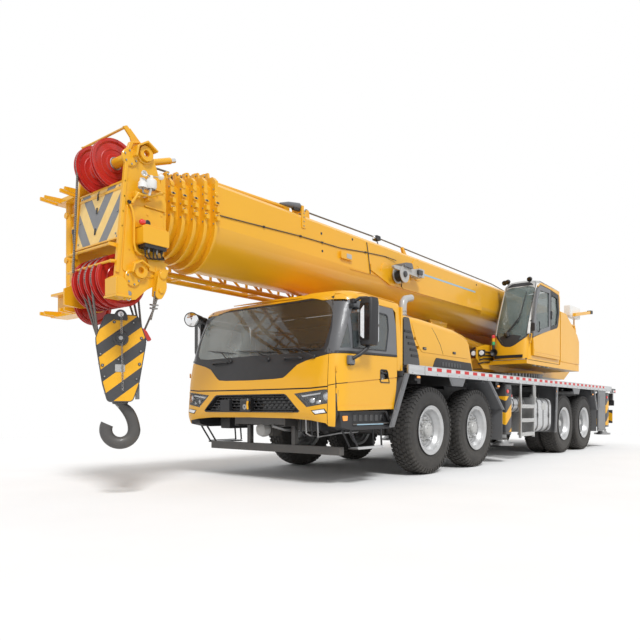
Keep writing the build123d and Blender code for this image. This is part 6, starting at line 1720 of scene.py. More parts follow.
def jack_stripes(name, side):
    """Striped jack housings, their lamps, hoses and stowed floats."""
    for end, station in (("front", -2640), ("rear", -8700)):
        lane = station + side * 122
        body = f"outrigger_beam_{end}_{name}"
        kit = Kit(f"jack_cover_{end}_{name}", body, 3, slot="crane_yellow")
        half = 125
        ring = soften([(lane - half - 2, side * 1113), (lane + half + 2, side * 1113),
                       (lane + half + 2, side * 1367),
                       (lane - half - 2, side * 1367)], 28, 2)
        inner = [(lane + (x - lane) * 0.93, side * 1240 + (y - side * 1240) * 0.93) for x, y in ring]
        kit.prism(ring, "z", 520, 1130, "jack_hazard")
        kit.prism(ring, "z", 1136, 1290, "dark")
        kit.prism(inner, "z", 1290, 1330, "dark")
        kit.prism(ring, "z", 486, 514, "dark")
        rounded_box(kit, lane - 66, lane + 30, *span(side, 1366, 1376), 1180, 1250, 10, "black")
        kit.lathe([(0, 34), (10, 34), (18, 28), (20, 0.1)], (lane + 70, side * 1366, 1212), (0, side, 0),
                  "red_lens", 24)
        kit.tube([(lane - 70, side * 1240, 1328), (lane - 80, side * 1200, 1350),
                  (lane - 110, side * 1100, 1340),
                  (lane - 120, side * 1000, 1220)], 13, "black", 8)
        kit.done()
        foot = Kit(f"jack_float_{end}_{name}", f"outrigger_jack_{end}_{name}", 2, slot="bearing_steel")
        foot.lathe([(0, 188), (12, 190), (26, 186), (30, 150), (34, 146), (44, 120), (110, 80), (150, 76)],
                   (lane, side * 1240, 290), (0, 0, 1), "light_grey", 56)
        foot.lathe([(0, 92), (26, 92), (30, 86)], (lane, side * 1240, 388), (0, 0, 1), "dark", 40)
        for k in range(8):
            t = pi * k / 4
            foot.bolt((lane + 160 * cos(t), side * 1240 + 160 * sin(t), 318), (0, 0, 1), 10, 9, "steel")
        foot.done()


def ladder_details(name, side):
    """Pressed treads, rails and hooks of the hanging ladder, and what sits beside it."""
    kit = Kit(f"ladder_treads_{name}", "carrier", 1.5, slot="aluminium_trim")
    y0, y1 = span(side, 1316, 1388)
    for z in (450, 700, 950):
        kit.box(-3642, -3018, y0, y1, z + 39, z + 44, "light_grey")
        kit.box(-3642, -3018, *span(side, 1382, 1389), z - 22, z + 44, "light_grey")
        for k in range(22):
            x = -3620 + 27.5 * k
            kit.box(x, x + 10, y0 + 4, y1 - 4, z + 43, z + 49, "aluminium")
        for k in range(9):
            kit.lathe([(0, 13), (3, 13), (3, 8)], (-3590 + 66 * k, side * 1388, z + 10), (0, side, 0),
                      "aluminium", 14)
    for x in (-3640, -3020):
        kit.tube([(x, side * 1376, 404), (x, side * 1376, 1120), (x + 26, side * 1376, 1240),
                  (x + 26, side * 1378, 1366)],
                 15, "light_grey", 12)
    kit.tube([(-3640, side * 1392, 1000), (-3640, side * 1400, 1090), (-3640, side * 1400, 1290),
              (-3640, side * 1390, 1352)], 12, "light_grey", 10)
    kit.done()
    side_kit = Kit(f"deck_undergear_{name}", "carrier", 2, slot="fender_black")
    rounded_box(side_kit, -3092, -2914, *span(side, 1090, 1200), 1030, 1124, 12, "white")
    side_kit.lathe([(0, 26), (14, 26), (22, 18), (24, 0.1)], (-2990, side * 1200, 1150), (0, side, 0),
                   "red_lens", 22)
    side_kit.box(-3130, -2880, *span(side, 960, 1190), 1126, 1142, "dark")
    for k in range(5):
        x = -2720 - 60 * k
        side_kit.tube([(x, side * 700, 1180), (x - 40, side * 980, 1100 - 18 * k),
                       (x - 120, side * 1040, 980),
                       (x - 200, side * 1030, 860 - 20 * k), (x - 420, side * 980, 800)], 13, "black", 8)
    for k in range(3):
        z = 1240 - 34 * k
        side_kit.tube([(-4700, side * 900, z), (-2500, side * 930, z + 10), (-1900, side * 900, z + 4)], 12,
                      "black", 8)
    side_kit.done()


def tank_details(name, side):
    """Straps, ends, filler and drain of the side tank, and the bands of the air tank."""
    kit = Kit(f"tank_straps_{name}", "carrier", 1.5, slot="fender_black")
    outline = soften([(side * 898, 478), (side * 1370, 478), (side * 1370, 1132), (side * 898, 1132)], 150, 6)
    for x in (-4420, -4130, -3840):
        kit.prism(outline, "x", x - 30, x + 30, "mid_grey" if x == -4130 else "dark")
        if x != -4130:
            kit.tube([(x, side * 1374, 860), (x, side * 1382, 800), (x, side * 1374, 740)], 11, "steel", 8)
            kit.bolt((x, side * 1372, 900), (0, side, 0), 13, 12, "steel")
    for x in (-4562, -3698):
        kit.prism([(y * 0.995, z) for y, z in outline], "x", x - 5, x + 5, "aluminium")
    kit.lathe([(0, 78), (14, 78), (18, 66), (18, 58), (52, 58), (58, 52), (60, 0.1)],
              (-3950, side * 1230, 1130),
              (0, 0, 1), "light_grey", 32)
    kit.tube([(-4010, side * 1230, 1186), (-3890, side * 1230, 1186)], 9, "steel", 8)
    kit.tube([(-4300, side * 1200, 1130), (-4300, side * 1200, 1190), (-4380, side * 1150, 1230),
              (-4600, side * 1000, 1240)], 17, "black", 10)
    rounded_box(kit, -4250, -4060, *span(side, 1368, 1373), 900, 1030, 14, "light_grey")
    for x in (-3500, -3270, -3040):
        kit.lathe([(-16, 151), (-16, 156), (16, 156), (16, 151)], (x, side * 1080, 1000), (1, 0, 0), "dark",
                  48)
    for x in (-3562, -2978):
        kit.lathe([(0, 150), (16, 128), (30, 80), (36, 0.1)], (x, side * 1080, 1000),
                  (1 if x > -3000 else -1, 0, 0),
                  "light_grey", 48)
    kit.done()


def rear_end():
    """Rear cross member with its lamps and plates."""
    kit = Kit("rear_lamps", "carrier", 2, slot="fender_black")
    for side in SIDES.values():
        rounded_box(kit, -9336, -9300, *span(side, 830, 1330), 1010, 1150, 16, "black", "x")
        for y0, y1, mat in ((850, 950, "clear_lens"), (970, 1110, "red_lens"), (1130, 1210, "orange"),
                            (1230, 1310, "red_lens")):
            rounded_box(kit, -9346, -9334, *span(side, y0, y1), 1030, 1130, 12, mat, "x")
        kit.box(-9322, -8830, *span(side, 1356, 1366), 1330, 1440, "dark")
        rounded_box(kit, -9290, -9210, *span(side, 1364, 1376), 1350, 1400, 10, "red_lens")
        rounded_box(kit, -9180, -9100, *span(side, 1364, 1376), 1350, 1400, 10, "white")
        kit.prism([(side * 700, 560), (side * 1300, 560), (side * 1300, 900), (side * 700, 900)], "x", -9300,
                  -9290,
                  "jack_hazard")
    rounded_box(kit, -9330, -9316, -260, 260, 1010, 1120, 14, "white", "x")
    kit.done()


def hood_details():
    """Black pillar behind the cab, louvres, seams and sills of the engine cover, with its exhaust."""
    kit = Kit("hood_panels", "carrier", 3, slot="crane_yellow")
    for side in SIDES.values():
        pillar = soften([(528, 1484), (528, 2116), (500, 2146), (388, 2146), (330, 1990), (232, 1812),
                         (160, 1690),
                         (118, 1560), (112, 1484)], 30, 3)
        kit.prism(pillar, "y", *span(side, 1150, 1180), "gloss_black")
        for z in (1620, 1700, 1780, 1860, 1940):
            x = 175 + (z - 1690) * 0.58 if z > 1690 else 150
            kit.prism([(x, z), (x + 190, z), (x + 186, z + 34), (x + 22, z + 34)], "y",
                      *span(side, 1178, 1188), "black")
        cover = soften([(320, 2098), (-880, 2056), (-1210, 2010), (-1350, 1880), (-1420, 1700), (60, 1706),
                        (190, 1850),
                        (290, 2030)], 60, 4)
        kit.prism(cover, "y", *span(side, 1160, 1176), "yellow")
        # seam of the side door and its latches
        kit.tube([(-220, side * 1174, 2074), (-330, side * 1176, 1990), (-470, side * 1176, 1850),
                  (-560, side * 1176, 1715)], 4, "dark", 6)
        for x in (-20, -900):
            rounded_box(kit, x - 46, x + 46, *span(side, 1174, 1184), 1742, 1778, 8, "black")
            kit.tube([(x - 30, side * 1188, 1760), (x + 30, side * 1188, 1760)], 6, "steel", 8)
        sill = soften([(-250, 1490), (-310, 1600), (-360, 1652), (-1460, 1640), (-1530, 1490)], 24, 3)
        kit.prism(sill, "y", *span(side, 1160, 1178), "black")
        low = [(100, 1490), (140, 1600), (110, 1668), (-330, 1664), (-280, 1590), (-240, 1490)]
        kit.prism(low, "y", *span(side, 1160, 1175), "yellow")
        for k in range(7):
            kit.box(-1120 + 90 * k, -1060 + 90 * k, *span(side, 1176, 1182), 1540, 1600, "dark")
    # top: ribs, grille and lifting eyes
    for k in range(11):
        x = 380 - 52 * k
        kit.box(x - 14, x + 14, -620, 620, 2180, 2188, "black")
    kit.box(400, 420, -640, 640, 2176, 2192, "yellow")
    kit.box(-190, -170, -640, 640, 2172, 2184, "yellow")
    for x in (300, -700):
        for y in (-900, 900):
            kit.tube([(x - 50, y, 2140), (x - 46, y, 2200), (x, y, 2222), (x + 46, y, 2200),
                      (x + 50, y, 2140)], 11,
                     "yellow", 8)
    kit.done()
    pipe = Kit("exhaust", "carrier", 1.5, slot="cylinder_chrome")
    pipe.tube([(120, 900, 2120), (120, 900, 2330), (104, 900, 2420), (50, 900, 2475), (-110, 900, 2515)],
              [58, 58, 56, 54, 50], "light_grey", 28)
    pipe.lathe([(0, 66), (40, 66), (44, 60)], (120, 900, 2160), (0, 0, 1), "steel", 32)
    for z in (2240, 2290):
        pipe.lathe([(-8, 60), (-8, 64), (8, 64), (8, 60)], (120, 900, z), (0, 0, 1), "steel", 32)
    pipe.done()
    intake = Kit("air_intake", "carrier", 4, slot="fender_black")
    intake.tube([(300, -900, 2120), (300, -900, 2330), (290, -900, 2400)], [95, 95, 90], "black", 28)
    intake.lathe([(0, 96), (10, 130), (90, 136), (120, 110), (128, 0.1)], (290, -900, 2400), (0, 0, 1),
                 "black", 36)
    intake.done()


for build in (deck_edge, fender_details, jack_stripes, ladder_details, tank_details):
    both(build)
rear_end()
hood_details()

# ---------------------------------------------------------------- boom
BOOM_HALF, BOOM_TOP, BOOM_FRONT = 430, 3360, 3160
COLLAR_PITCH, COLLAR_PROUD, BOOM_STEP = 120, 38, 30


def collars():
    """Lugs, slider screws and bolt rings on the collar of every section."""
    for number in range(1, 6):
        body = "boom_base" if number == 1 else f"boom_section_{number}"
        front = BOOM_FRONT + COLLAR_PITCH * (number - 1)
        half = BOOM_HALF - BOOM_STEP * (number - 1) + COLLAR_PROUD
        top = BOOM_TOP - BOOM_STEP * (number - 1) + COLLAR_PROUD
        kit = Kit(f"collar_parts_{number}", body, 2.5, slot="crane_yellow")
        for side in SIDES.values():
            for y0, y1 in ((120, 172), (214, 266)):
                kit.prism([(front - 40, top - 8), (front - 2, top - 8), (front - 2, top + 66),
                           (front - 14, top + 78),
                           (front - 36, top + 78), (front - 40, top + 70)], "y", *span(side, y0, y1),
                           "yellow")
            kit.box(front - 30, front - 12, *span(side, 172, 214), top + 4, top + 58, "black")
            kit.tube([(front - 21, side * 108, top + 48), (front - 21, side * 280, top + 48)], 11, "steel",
                     10)
            for z0, z1 in ((3090, 3134), (2946, 2990)):
                kit.prism(soften([(front - 46, z0), (front + 8, z0), (front + 8, z1), (front - 46, z1)], 8,
                                 2), "y",
                          *span(side, half - 4, half + 20), "yellow")
                kit.box(front - 34, front - 10, *span(side, half + 18, half + 23), z0 + 12, z1 - 12, "black")
                for x in (front - 38, front - 2):
                    kit.bolt((x, side * (half + 18), (z0 + z1) / 2), (0, side, 0), 7, 9, "steel")
            for z in (2890, 3030, 3180, 3260):
                kit.bolt((front, side * (half - 22), z), (1, 0, 0), 9, 8, "steel")
            kit.lathe([(0, 24), (8, 24), (10, 18), (10, 0.1)], (front - 20, side * half, 3210), (0, side, 0),
                      "yellow", 20)
        for y in (-60, 0, 60):
            kit.bolt((front, y, top - 18), (1, 0, 0), 9, 8, "steel")
        kit.done()


def boom_fittings():
    """Cables, boxes, doubler welds, cable reel, camera and stripe on the base section."""
    kit = Kit("boom_fittings", "boom_base", 1.5, slot="crane_yellow")
    for side in SIDES.values():
        flank = side * BOOM_HALF
        # end flange of the guide tube, with its screws
        kit.prism(soften([(1664, 3190), (1736, 3184), (1740, 3390), (1668, 3400)], 12, 2), "y",
                  *span(side, BOOM_HALF - 4, BOOM_HALF + 11), "yellow")
        for z in (3215, 3270, 3325, 3372):
            kit.bolt((1702, side * (BOOM_HALF + 10), z), (0, side, 0), 9, 7, "steel")
        # welds round the doubler plate
        weld = [(305, 2640), (732, 2850), (-485, 2868), (-485, 2782), (-3136, 2794), (-3380, 2746),
                (-3380, 2700)]
        kit.tube([(x, side * (BOOM_HALF + 5), z) for x, z in weld[1:]], 5, "chassis_yellow", 6)
        kit.lathe([(-4, 110), (8, 110), (12, 104), (12, 0.1)], (-130, flank, 2985), (0, side, 0), "yellow",
                  40)
        kit.lathe([(-4, 172), (10, 172), (14, 166), (14, 60), (10, 58), (10, 0.1)], (-1040, flank, 3150),
                  (0, side, 0),
                  "yellow", 52)
        for x, z in ((1349, 3200), (1328, 2975), (679, 3270), (-3189, 3260), (-6200, 3200), (-6200, 2950)):
            kit.lathe([(0, 17), (3, 17), (4, 12), (1, 11), (1, 0.1)], (x, side * (BOOM_HALF + 0.5), z),
                      (0, side, 0),
                      "gloss_black", 18)
        kit.box(-3150, -1240, *span(side, BOOM_HALF, BOOM_HALF + 1.5), 3102, 3132, "sky")
    kit.prism([(-1090, 3350), (-1010, 3350), (-940, 3440), (-900, 3520), (-935, 3535), (-1000, 3470)], "y",
              200, 240,
              "yellow")
    kit.done()
    dark = Kit("boom_cables", "boom_base", 0.8, slot="fender_black")
    y = BOOM_HALF + 8
    dark.tube([(3060, y, 3006), (2885, y, 3013), (1762, y, 3072), (955, y, 3092), (379, y, 3150),
               (-120, y, 3190),
               (-401, y + 14, 3180)], 6, "dark", 8)
    dark.tube([(354, y - 60, 3340), (345, y, 3290), (305, y, 3125), (262, y, 2900), (256, y, 2862)], 6,
              "dark", 8)
    dark.tube([(-480, y + 60, 2960), (-520, y + 40, 2860), (-560, y + 6, 2800), (-620, y, 2780),
               (-640, y, 2860),
               (-560, y + 10, 2900)], 7, "black", 8)
    for x, z in ((2400, 3038), (1762, 3072), (1340, 3083), (379, 3150)):
        dark.box(x - 14, x + 14, BOOM_HALF, y + 8, z - 11, z + 11, "black")
    rounded_box(dark, 716, 968, BOOM_HALF, BOOM_HALF + 34, 2956, 3052, 14, "yellow")
    rounded_box(dark, 740, 850, BOOM_HALF + 32, BOOM_HALF + 38, 2972, 3036, 10, "light_grey")
    # lamp beside the guide tube and its wedge bracket
    dark.tube([(1990, 300, 3452), (1840, 300, 3478), (1650, 300, 3500)], [10, 34, 46], "mid_grey", 24)
    dark.prism([(1640, 3440), (1640, 3500), (1790, 3470), (1760, 3430)], "y", 286, 330, "black")
    dark.box(1600, 1645, 180, 350, 3430, 3510, "yellow")
    # cable reel on its bracket
    dark.prism(soften([(-110, 3040), (-980, 3098), (-990, 3020), (-860, 2966), (-120, 2996)], 20, 3), "y",
               560, 600,
               "light_grey")
    dark.prism(soften([(-380, 3120), (-560, 3140), (-600, 3060), (-350, 3060)], 14, 2), "y", 430, 640,
               "mid_grey")
    for a, r, mat in ((-150, 128, "light_grey"), (-20, 128, "light_grey")):
        dark.lathe([(a, 40), (a, r), (a + 10, r), (a + 10, 40)], (-400, 620, 2952), (0, 1, 0), mat, 44)
    dark.lathe([(-140, 96), (-20, 96)], (-400, 620, 2952), (0, 1, 0), "black", 40)
    for k in range(6):
        dark.lathe([(-134 + 19 * k, 97), (-126 + 19 * k, 103), (-118 + 19 * k, 97)], (-400, 620, 2952),
                   (0, 1, 0),
                   "black", 36)
    dark.lathe([(-12, 44), (10, 44), (16, 34), (16, 0.1)], (-400, 620, 2952), (0, 1, 0), "dark", 24)
    rounded_box(dark, -960, -800, 470, 620, 2980, 3110, 16, "light_grey")
    rounded_box(dark, -880, -760, 590, 640, 3010, 3080, 12, "dark")
    # camera on its stalk
    dark.tube([(-210, 250, 3360), (-210, 240, 3440), (-230, 200, 3500)], 9, "black", 8)
    rounded_box(dark, -290, -180, 160, 240, 3490, 3560, 14, "black")
    dark.lathe([(0, 28), (16, 28), (18, 22), (12, 0.1)], (-180, 200, 3526), (1, 0, 0), "mirror", 20)
    dark.done()


# ---------------------------------------------------------------- turntable, winches, rear of the upper works
def upper_works():
    """Housings, rails, hoses and boxes behind the operator's cab."""
    kit = Kit("upper_panels", "superstructure", 4, slot="crane_yellow")
    # rear housing on the left with its chamfered top and panel seams
    kit.prism(soften([(-5452, 1990), (-5452, 2560), (-6420, 2572), (-6560, 2480), (-6636, 1990)], 40, 3), "y",
              1236, 1262,
              "yellow")
    kit.prism([(-5470, 2562), (-6400, 2574), (-6400, 2590), (-5470, 2580)], "y", 900, 1256, "yellow")
    for x in (-5700, -5960, -6220):
        kit.box(x - 90, x + 90, 1260, 1266, 2040, 2060, "dark")
    for x, z in ((-5500, 2040), (-5500, 2500), (-6560, 2040), (-6380, 2520)):
        kit.bolt((x, 1261, z), (0, 1, 0), 9, 7, "steel")
    kit.done()
    rail = Kit("upper_rails", "superstructure", 1, slot="crane_yellow")
    for z in (2690, 2790):
        rail.tube([(-5640, 1180, z), (-6580, 1180, z), (-6640, 1140, z), (-6640, 700, z)], 15, "yellow", 10)
    for x in (-5640, -5960, -6280, -6600):
        rail.tube([(x, 1180, 2570), (x, 1180, 2800)], 15, "yellow", 10)
    for y in (700, 920):
        rail.tube([(-6640, y, 2570), (-6640, y, 2800)], 15, "yellow", 10)
    for side in SIDES.values():
        for k in range(5):
            x = -6900 - 260 * k
            rail.tube([(x, side * 560, 2560), (x, side * 600, 2900)], 14, "yellow", 10)
        for z in (2700, 2890):
            rail.tube([(-6880, side * 590, z), (-7960, side * 590, z)], 14, "yellow", 10)
    rail.done()
    dark = Kit("upper_fittings", "superstructure", 2, slot="fender_black")
    # white box, grey step sheet, black panel and plates under the cab
    rounded_box(dark, -8560, -7760, 560, 700, 3200, 3480, 30, "white")
    rounded_box(dark, -8540, -7780, 700, 708, 3230, 3450, 24, "white")
    for x in (-8480, -7840):
        dark.tube([(x, 575, 2980), (x, 575, 3210)], 18, "yellow", 10)
    dark.prism([(-3930, 1812), (-4880, 1822), (-4880, 1806), (-3930, 1796)], "y", 1050, 1240, "light_grey")
    for k in range(4):
        x = -4000 - 230 * k
        dark.prism([(x, 1800), (x - 60, 1800), (x - 120, 1740), (x - 64, 1740)], "y", 1180, 1238,
                   "light_grey")
    dark.box(-5460, -4920, 1190, 1240, 1836, 1920, "black")
    dark.box(-6500, -5480, 1180, 1236, 1880, 1975, "black")
    for k in range(3):
        dark.box(-5600 - 210 * k, -5500 - 210 * k, 1236, 1243, 1890, 1960, "light_grey" if k == 2 else "dark")
    # lamp bar, hoses and pipes round the swivel and the cylinder foot
    for k in range(6):
        y, z = -300 + 90 * k, 2010 + 14 * (k % 3)
        dark.tube([(-3420, y, z - 60), (-3700, y * 0.9, z + 90), (-4300, y * 0.8, z + 110),
                   (-5000, y * 0.8, z + 40),
                   (-5500, y * 0.7, z - 120)], 16, "black", 8)
    for k in range(4):
        dark.tube([(-3120 - 30 * k, 512, 1760 + 70 * k), (-3300, 530, 1800 + 66 * k),
                   (-3700, 530, 1830 + 60 * k),
                   (-4000, 520, 1850 + 60 * k)], 14, "black", 8)
    dark.box(-3140, -3100, 380, 640, 1900, 2016, "black")
    for y in (430, 590):
        dark.lathe([(0, 42), (24, 46), (30, 40), (30, 0.1)], (-3100, y, 1956), (1, 0, 0), "clear_lens", 24)
    dark.done()
    arm = Kit("rear_arm", "superstructure", 3, slot="crane_yellow")
    arm.prism([(-7960, 3210), (-7960, 3290), (-9240, 3500), (-9330, 3506), (-9330, 3440), (-9240, 3420)], "y",
              700, 780,
              "yellow")
    arm.prism([(-9180, 3412), (-9180, 3508), (-9340, 3520), (-9360, 3470), (-9340, 3430)], "y", 690, 790,
              "black")
    arm.done()


def right_housing():
    """Covers, louvres, handles, filler and walkway on the right housing, and bolts on both cheeks."""
    kit = Kit("right_covers", "superstructure", 4, slot="crane_yellow")
    for x0, x1 in ((-4980, -4140), (-5800, -5010), (-6590, -5830)):
        top = 2640 if x0 > -6500 else 2470
        kit.prism(soften([(x0, 1800), (x1, 1800), (x1, 2640 if x1 < -4200 else 2520), (x0, top)], 26, 3), "y",
                  *span(-1, 1272, 1284), "yellow")
        kit.tube([(x0 + 60, -1296, 2060), (x0 + 60, -1302, 2100), (x0 + 60, -1302, 2180),
                  (x0 + 60, -1296, 2220)], 9,
                 "black", 8)
        for z in (1900, 2400):
            kit.box(x1 - 34, x1 - 6, *span(-1, 1284, 1294), z, z + 70, "black")
        for k in range(7):
            kit.prism([(x0 + 160, 1900 + 44 * k), (x1 - 130, 1900 + 44 * k), (x1 - 130, 1922 + 44 * k),
                       (x0 + 160, 1922 + 44 * k)], "y", *span(-1, 1284, 1291), "dark")
    for x in (-4420, -5300, -6180):
        kit.box(x - 300, x + 300, -1180, -640, 2700, 2708, "dark")
    for x, y in ((-4700, -700), (-6300, -1100)):
        kit.lathe([(0, 66), (26, 66), (34, 58), (34, 0.1)], (x, y, 2706), (0, 0, 1), "black", 28)
    for side in SIDES.values():
        for k in range(16):
            turn = 2 * pi * k / 16
            kit.bolt((-8010 + 210 * cos(turn), side * 514, 2540 + 210 * sin(turn)), (0, side, 0), 13, 9,
                     "steel")
        for x in (-8740, -8440, -7300):
            kit.bolt((x, side * 514, 2300), (0, side, 0), 16, 10, "steel")
    kit.done()
    rail = Kit("right_rails", "superstructure", 1, slot="crane_yellow")
    for z in (2860, 3000):
        rail.tube([(-4360, -1200, z), (-6300, -1200, z)], 15, "yellow", 10)
    for k in range(5):
        x = -4360 - 485 * k
        rail.tube([(x, -1200, 2690), (x, -1200, 3000)], 15, "yellow", 10)
    rail.tube([(-3600, -1180, 1800), (-3600, -1180, 2500), (-3700, -1180, 2560), (-4080, -1180, 2560)], 15,
              "yellow", 10)
    rail.done()
    step = Kit("right_step", "superstructure", 1.5, slot="aluminium_trim")
    for k in range(10):
        step.box(-4180 + 60 * k, -4150 + 60 * k, -1190, -560, 1800, 1808, "aluminium")
    step.box(-4200, -3570, -1210, -1196, 1758, 1806, "aluminium")
    step.done()
    tail = Kit("table_lamps", "superstructure", 1.5, slot="fender_black")
    for y in (-380, 380):
        rounded_box(tail, -8862, -8840, y - 70, y + 70, 2230, 2300, 16, "black", "x")
        rounded_box(tail, -8868, -8858, y - 60, y + 60, 2240, 2290, 12, "red_lens", "x")
    tail.done()


def winch_details():
    """Drum flanges and rope layers of the hoist winch."""
    kit = Kit("winch_parts", "winch_drum", 2, slot="crane_yellow")
    box = node_span("winch_drum")
    cx, cz = (box[0][0] + box[1][0]) / 2, (box[0][2] + box[1][2]) / 2
    radius = (box[1][2] - box[0][2]) / 2
    for y, way in ((box[0][1], -1), (box[1][1], 1)):
        kit.lathe([(-34, radius - 6), (-4, radius - 2), (0, radius - 10), (0, radius - 60), (-8, radius - 70),
                   (-8, 70), (0, 60), (0, 0.1)], (cx, y, cz), (0, way, 0), "yellow", 56)
        for k in range(10):
            t = 2 * pi * k / 10
            kit.bolt((cx + (radius - 35) * cos(t), y - way * 2, cz + (radius - 35) * sin(t)), (0, way, 0), 10,
                     8, "steel")
    kit.done()
    rope = Kit("winch_rope", "winch_drum", 0, slot="rope_steel")
    turns = int((box[1][1] - box[0][1] - 80) / 24)
    for k in range(turns):
        y = box[0][1] + 46 + 24 * k
        rope.lathe([(-11, radius - 76), (-8, radius - 68), (0, radius - 64), (8, radius - 68),
                    (11, radius - 76)],
                   (cx, y, cz), (0, 1, 0), "rope", 48, caps=False)
    rope.done()


def node_span(name):
    """Corners of a CAD node as mm ahead of axle 1, y and height."""
    corners = [v.co for v in nodes[name].data.vertices]
    home = at(0, 0, 0)
    low = [(min(c[k] for c in corners) - home[k]) * 1000 for k in range(3)]
    high = [(max(c[k] for c in corners) - home[k]) * 1000 for k in range(3)]
    return low, high


for build in (collars, boom_fittings, upper_works, right_housing, winch_details):
    build()

# ---------------------------------------------------------------- cab fittings
def on_front(y, z, out):
    """Point a little outside the cab's front skin."""
    place, normal = CAB.front(np.array([[y, z]], float))
    return tuple(place[0] + normal[0] * out)


def wipers():
    """Three wipers parked on the windscreen's lower edge, with their pivots and grab bars."""
    kit = Kit("wipers", "carrier", 0.8, slot="fender_black")
    for pivot, start, end in (((-390, 1508), (-889, 1672), (-300, 1606)),
                              ((293, 1502), (-318, 1640), (420, 1590)),
                              ((1010, 1500), (344, 1636), (1120, 1582))):
        run = [on_front(start[0] + (end[0] - start[0]) * t, start[1] + (end[1] - start[1]) * t, 15)
               for t in (0, 0.17, 0.33, 0.5, 0.67, 0.83, 1)]
        kit.tube(run, [3, 6, 7, 8, 7, 6, 3], "black", 8)
        kit.tube([tuple(np.array(p) + (9, 0, -4)) for p in run[1:-1]], 4, "gloss_black", 6)
        middle = tuple((np.array(on_front((start[0] + end[0]) / 2, (start[1] + end[1]) / 2, 34))))
        root = on_front(*pivot, 30)
        knee = on_front((pivot[0] * 2 + (start[0] + end[0]) / 2) / 3,
                        (pivot[1] * 2 + (start[1] + end[1]) / 2) / 3, 44)
        kit.tube([root, knee, middle], [10, 8, 5], "black", 8)
        base, normal = np.array(on_front(*pivot, -8)), (0.93, 0, 0.37)
        kit.lathe([(0, 26), (28, 24), (36, 17), (40, 0.1)], tuple(base), normal, "black", 20)
    for a, b in ((-740, -450), (560, 830)):
        rail = [on_front(a, 1492, 4), on_front(a + 26, 1496, 34), on_front((a + b) / 2, 1498, 40),
                on_front(b - 26, 1496, 34), on_front(b, 1492, 4)]
        kit.tube(rail, 13, "black", 10)
    kit.done()


def step_boxes(name, side):
    """Black step box under each door: recess, side lamp, and the folding step below."""
    kit = Kit(f"step_box_{name}", "carrier", 4, slot="fender_black")
    outline = soften([(2092, 878), (1146, 884), (1020, 700), (1040, 664), (1880, 660), (2060, 700)], 26, 3)
    y = side * 1322
    kit.prism(outline, "y", *span(side, 1150, 1296), "black")
    kit.prism([(2092, 878), (1146, 884), (1134, 866), (2080, 862)], "y", *span(side, 1290, 1330), "black")
    kit.prism([(1880, 660), (1040, 664), (1024, 700), (1050, 712), (1866, 706)], "y", *span(side, 1290, 1334),
              "black")
    kit.prism([(2092, 878), (2062, 698), (1872, 660), (1850, 704), (1900, 866)], "y", *span(side, 1290, 1332),
              "black")
    kit.prism([(1150, 884), (1020, 700), (1060, 694), (1186, 872)], "y", *span(side, 1290, 1332), "black")
    kit.prism([(1850, 716), (1100, 724), (1100, 742), (1850, 734)], "y", *span(side, 1290, 1338), "dark")
    kit.box(1235, 1775, *span(side, 1334, 1339), 716, 730, "sky")
    kit.prism(soften([(2046, 826), (1950, 828), (1958, 770), (2034, 768)], 10, 2), "y",
              *span(side, 1328, 1340), "orange")
    for k in range(6):
        kit.box(1190 + 110 * k, 1250 + 110 * k, *span(side, 1294, 1300), 760, 840, "gloss_black")
    kit.done()
    step = Kit(f"fold_step_{name}", "carrier", 1.5, slot="aluminium_trim")
    for x0, x1 in ((1890, 1735), (1270, 1250)):
        step.tube([(x0, y, 664), (x1, y, 452)], 12, "black", 8)
        step.tube([(x0, side * 1200, 664), (x1, side * 1200, 452)], 12, "black", 8)
    step.box(1235, 1750, *span(side, 1190, 1338), 430, 444, "dark")
    step.box(1235, 1750, *span(side, 1322, 1342), 432, 462, "aluminium")
    for k in range(16):
        step.box(1250 + 31 * k, 1264 + 31 * k, *span(side, 1200, 1326), 443, 452, "aluminium")
    step.done()


def cab_roof_parts():
    """Dome on the roof, and the curved arm with the round mirror."""
    kit = Kit("roof_dome", "carrier", 1, slot="operator_shell")
    kit.lathe([(-30, 66), (0, 66), (6, 60), (40, 52), (62, 34), (72, 12), (74, 0.1)], (1330, 860, 2306),
              (0, 0, 1),
              "white", 36)
    kit.lathe([(-30, 74), (-2, 74), (2, 70), (2, 60)], (1330, 860, 2306), (0, 0, 1), "black", 36)
    kit.done()
    arm = Kit("round_mirror", "carrier", 1.5, slot="fender_black")
    arm.tube([(1790, -1300, 2080), (1830, -1336, 2140), (1890, -1350, 2190), (1980, -1330, 2210),
              (2080, -1290, 2185)],
             [26, 34, 34, 26, 15], "black", 14)
    arm.tube([(1740, -1330, 2150), (1800, -1350, 2180), (1880, -1350, 2190)], 24, "black", 12)
    disc = (2096, -1284, 2140)
    facing = Vector((0.62, 0.60, -0.25))
    arm.lathe([(-50, 20), (-44, 70), (-22, 96), (0, 104), (8, 102), (8, 92)], disc, facing, "black", 40)
    arm.lathe([(6, 93), (18, 68), (25, 38), (28, 0.1)], disc, facing, "mirror", 40)
    arm.done()


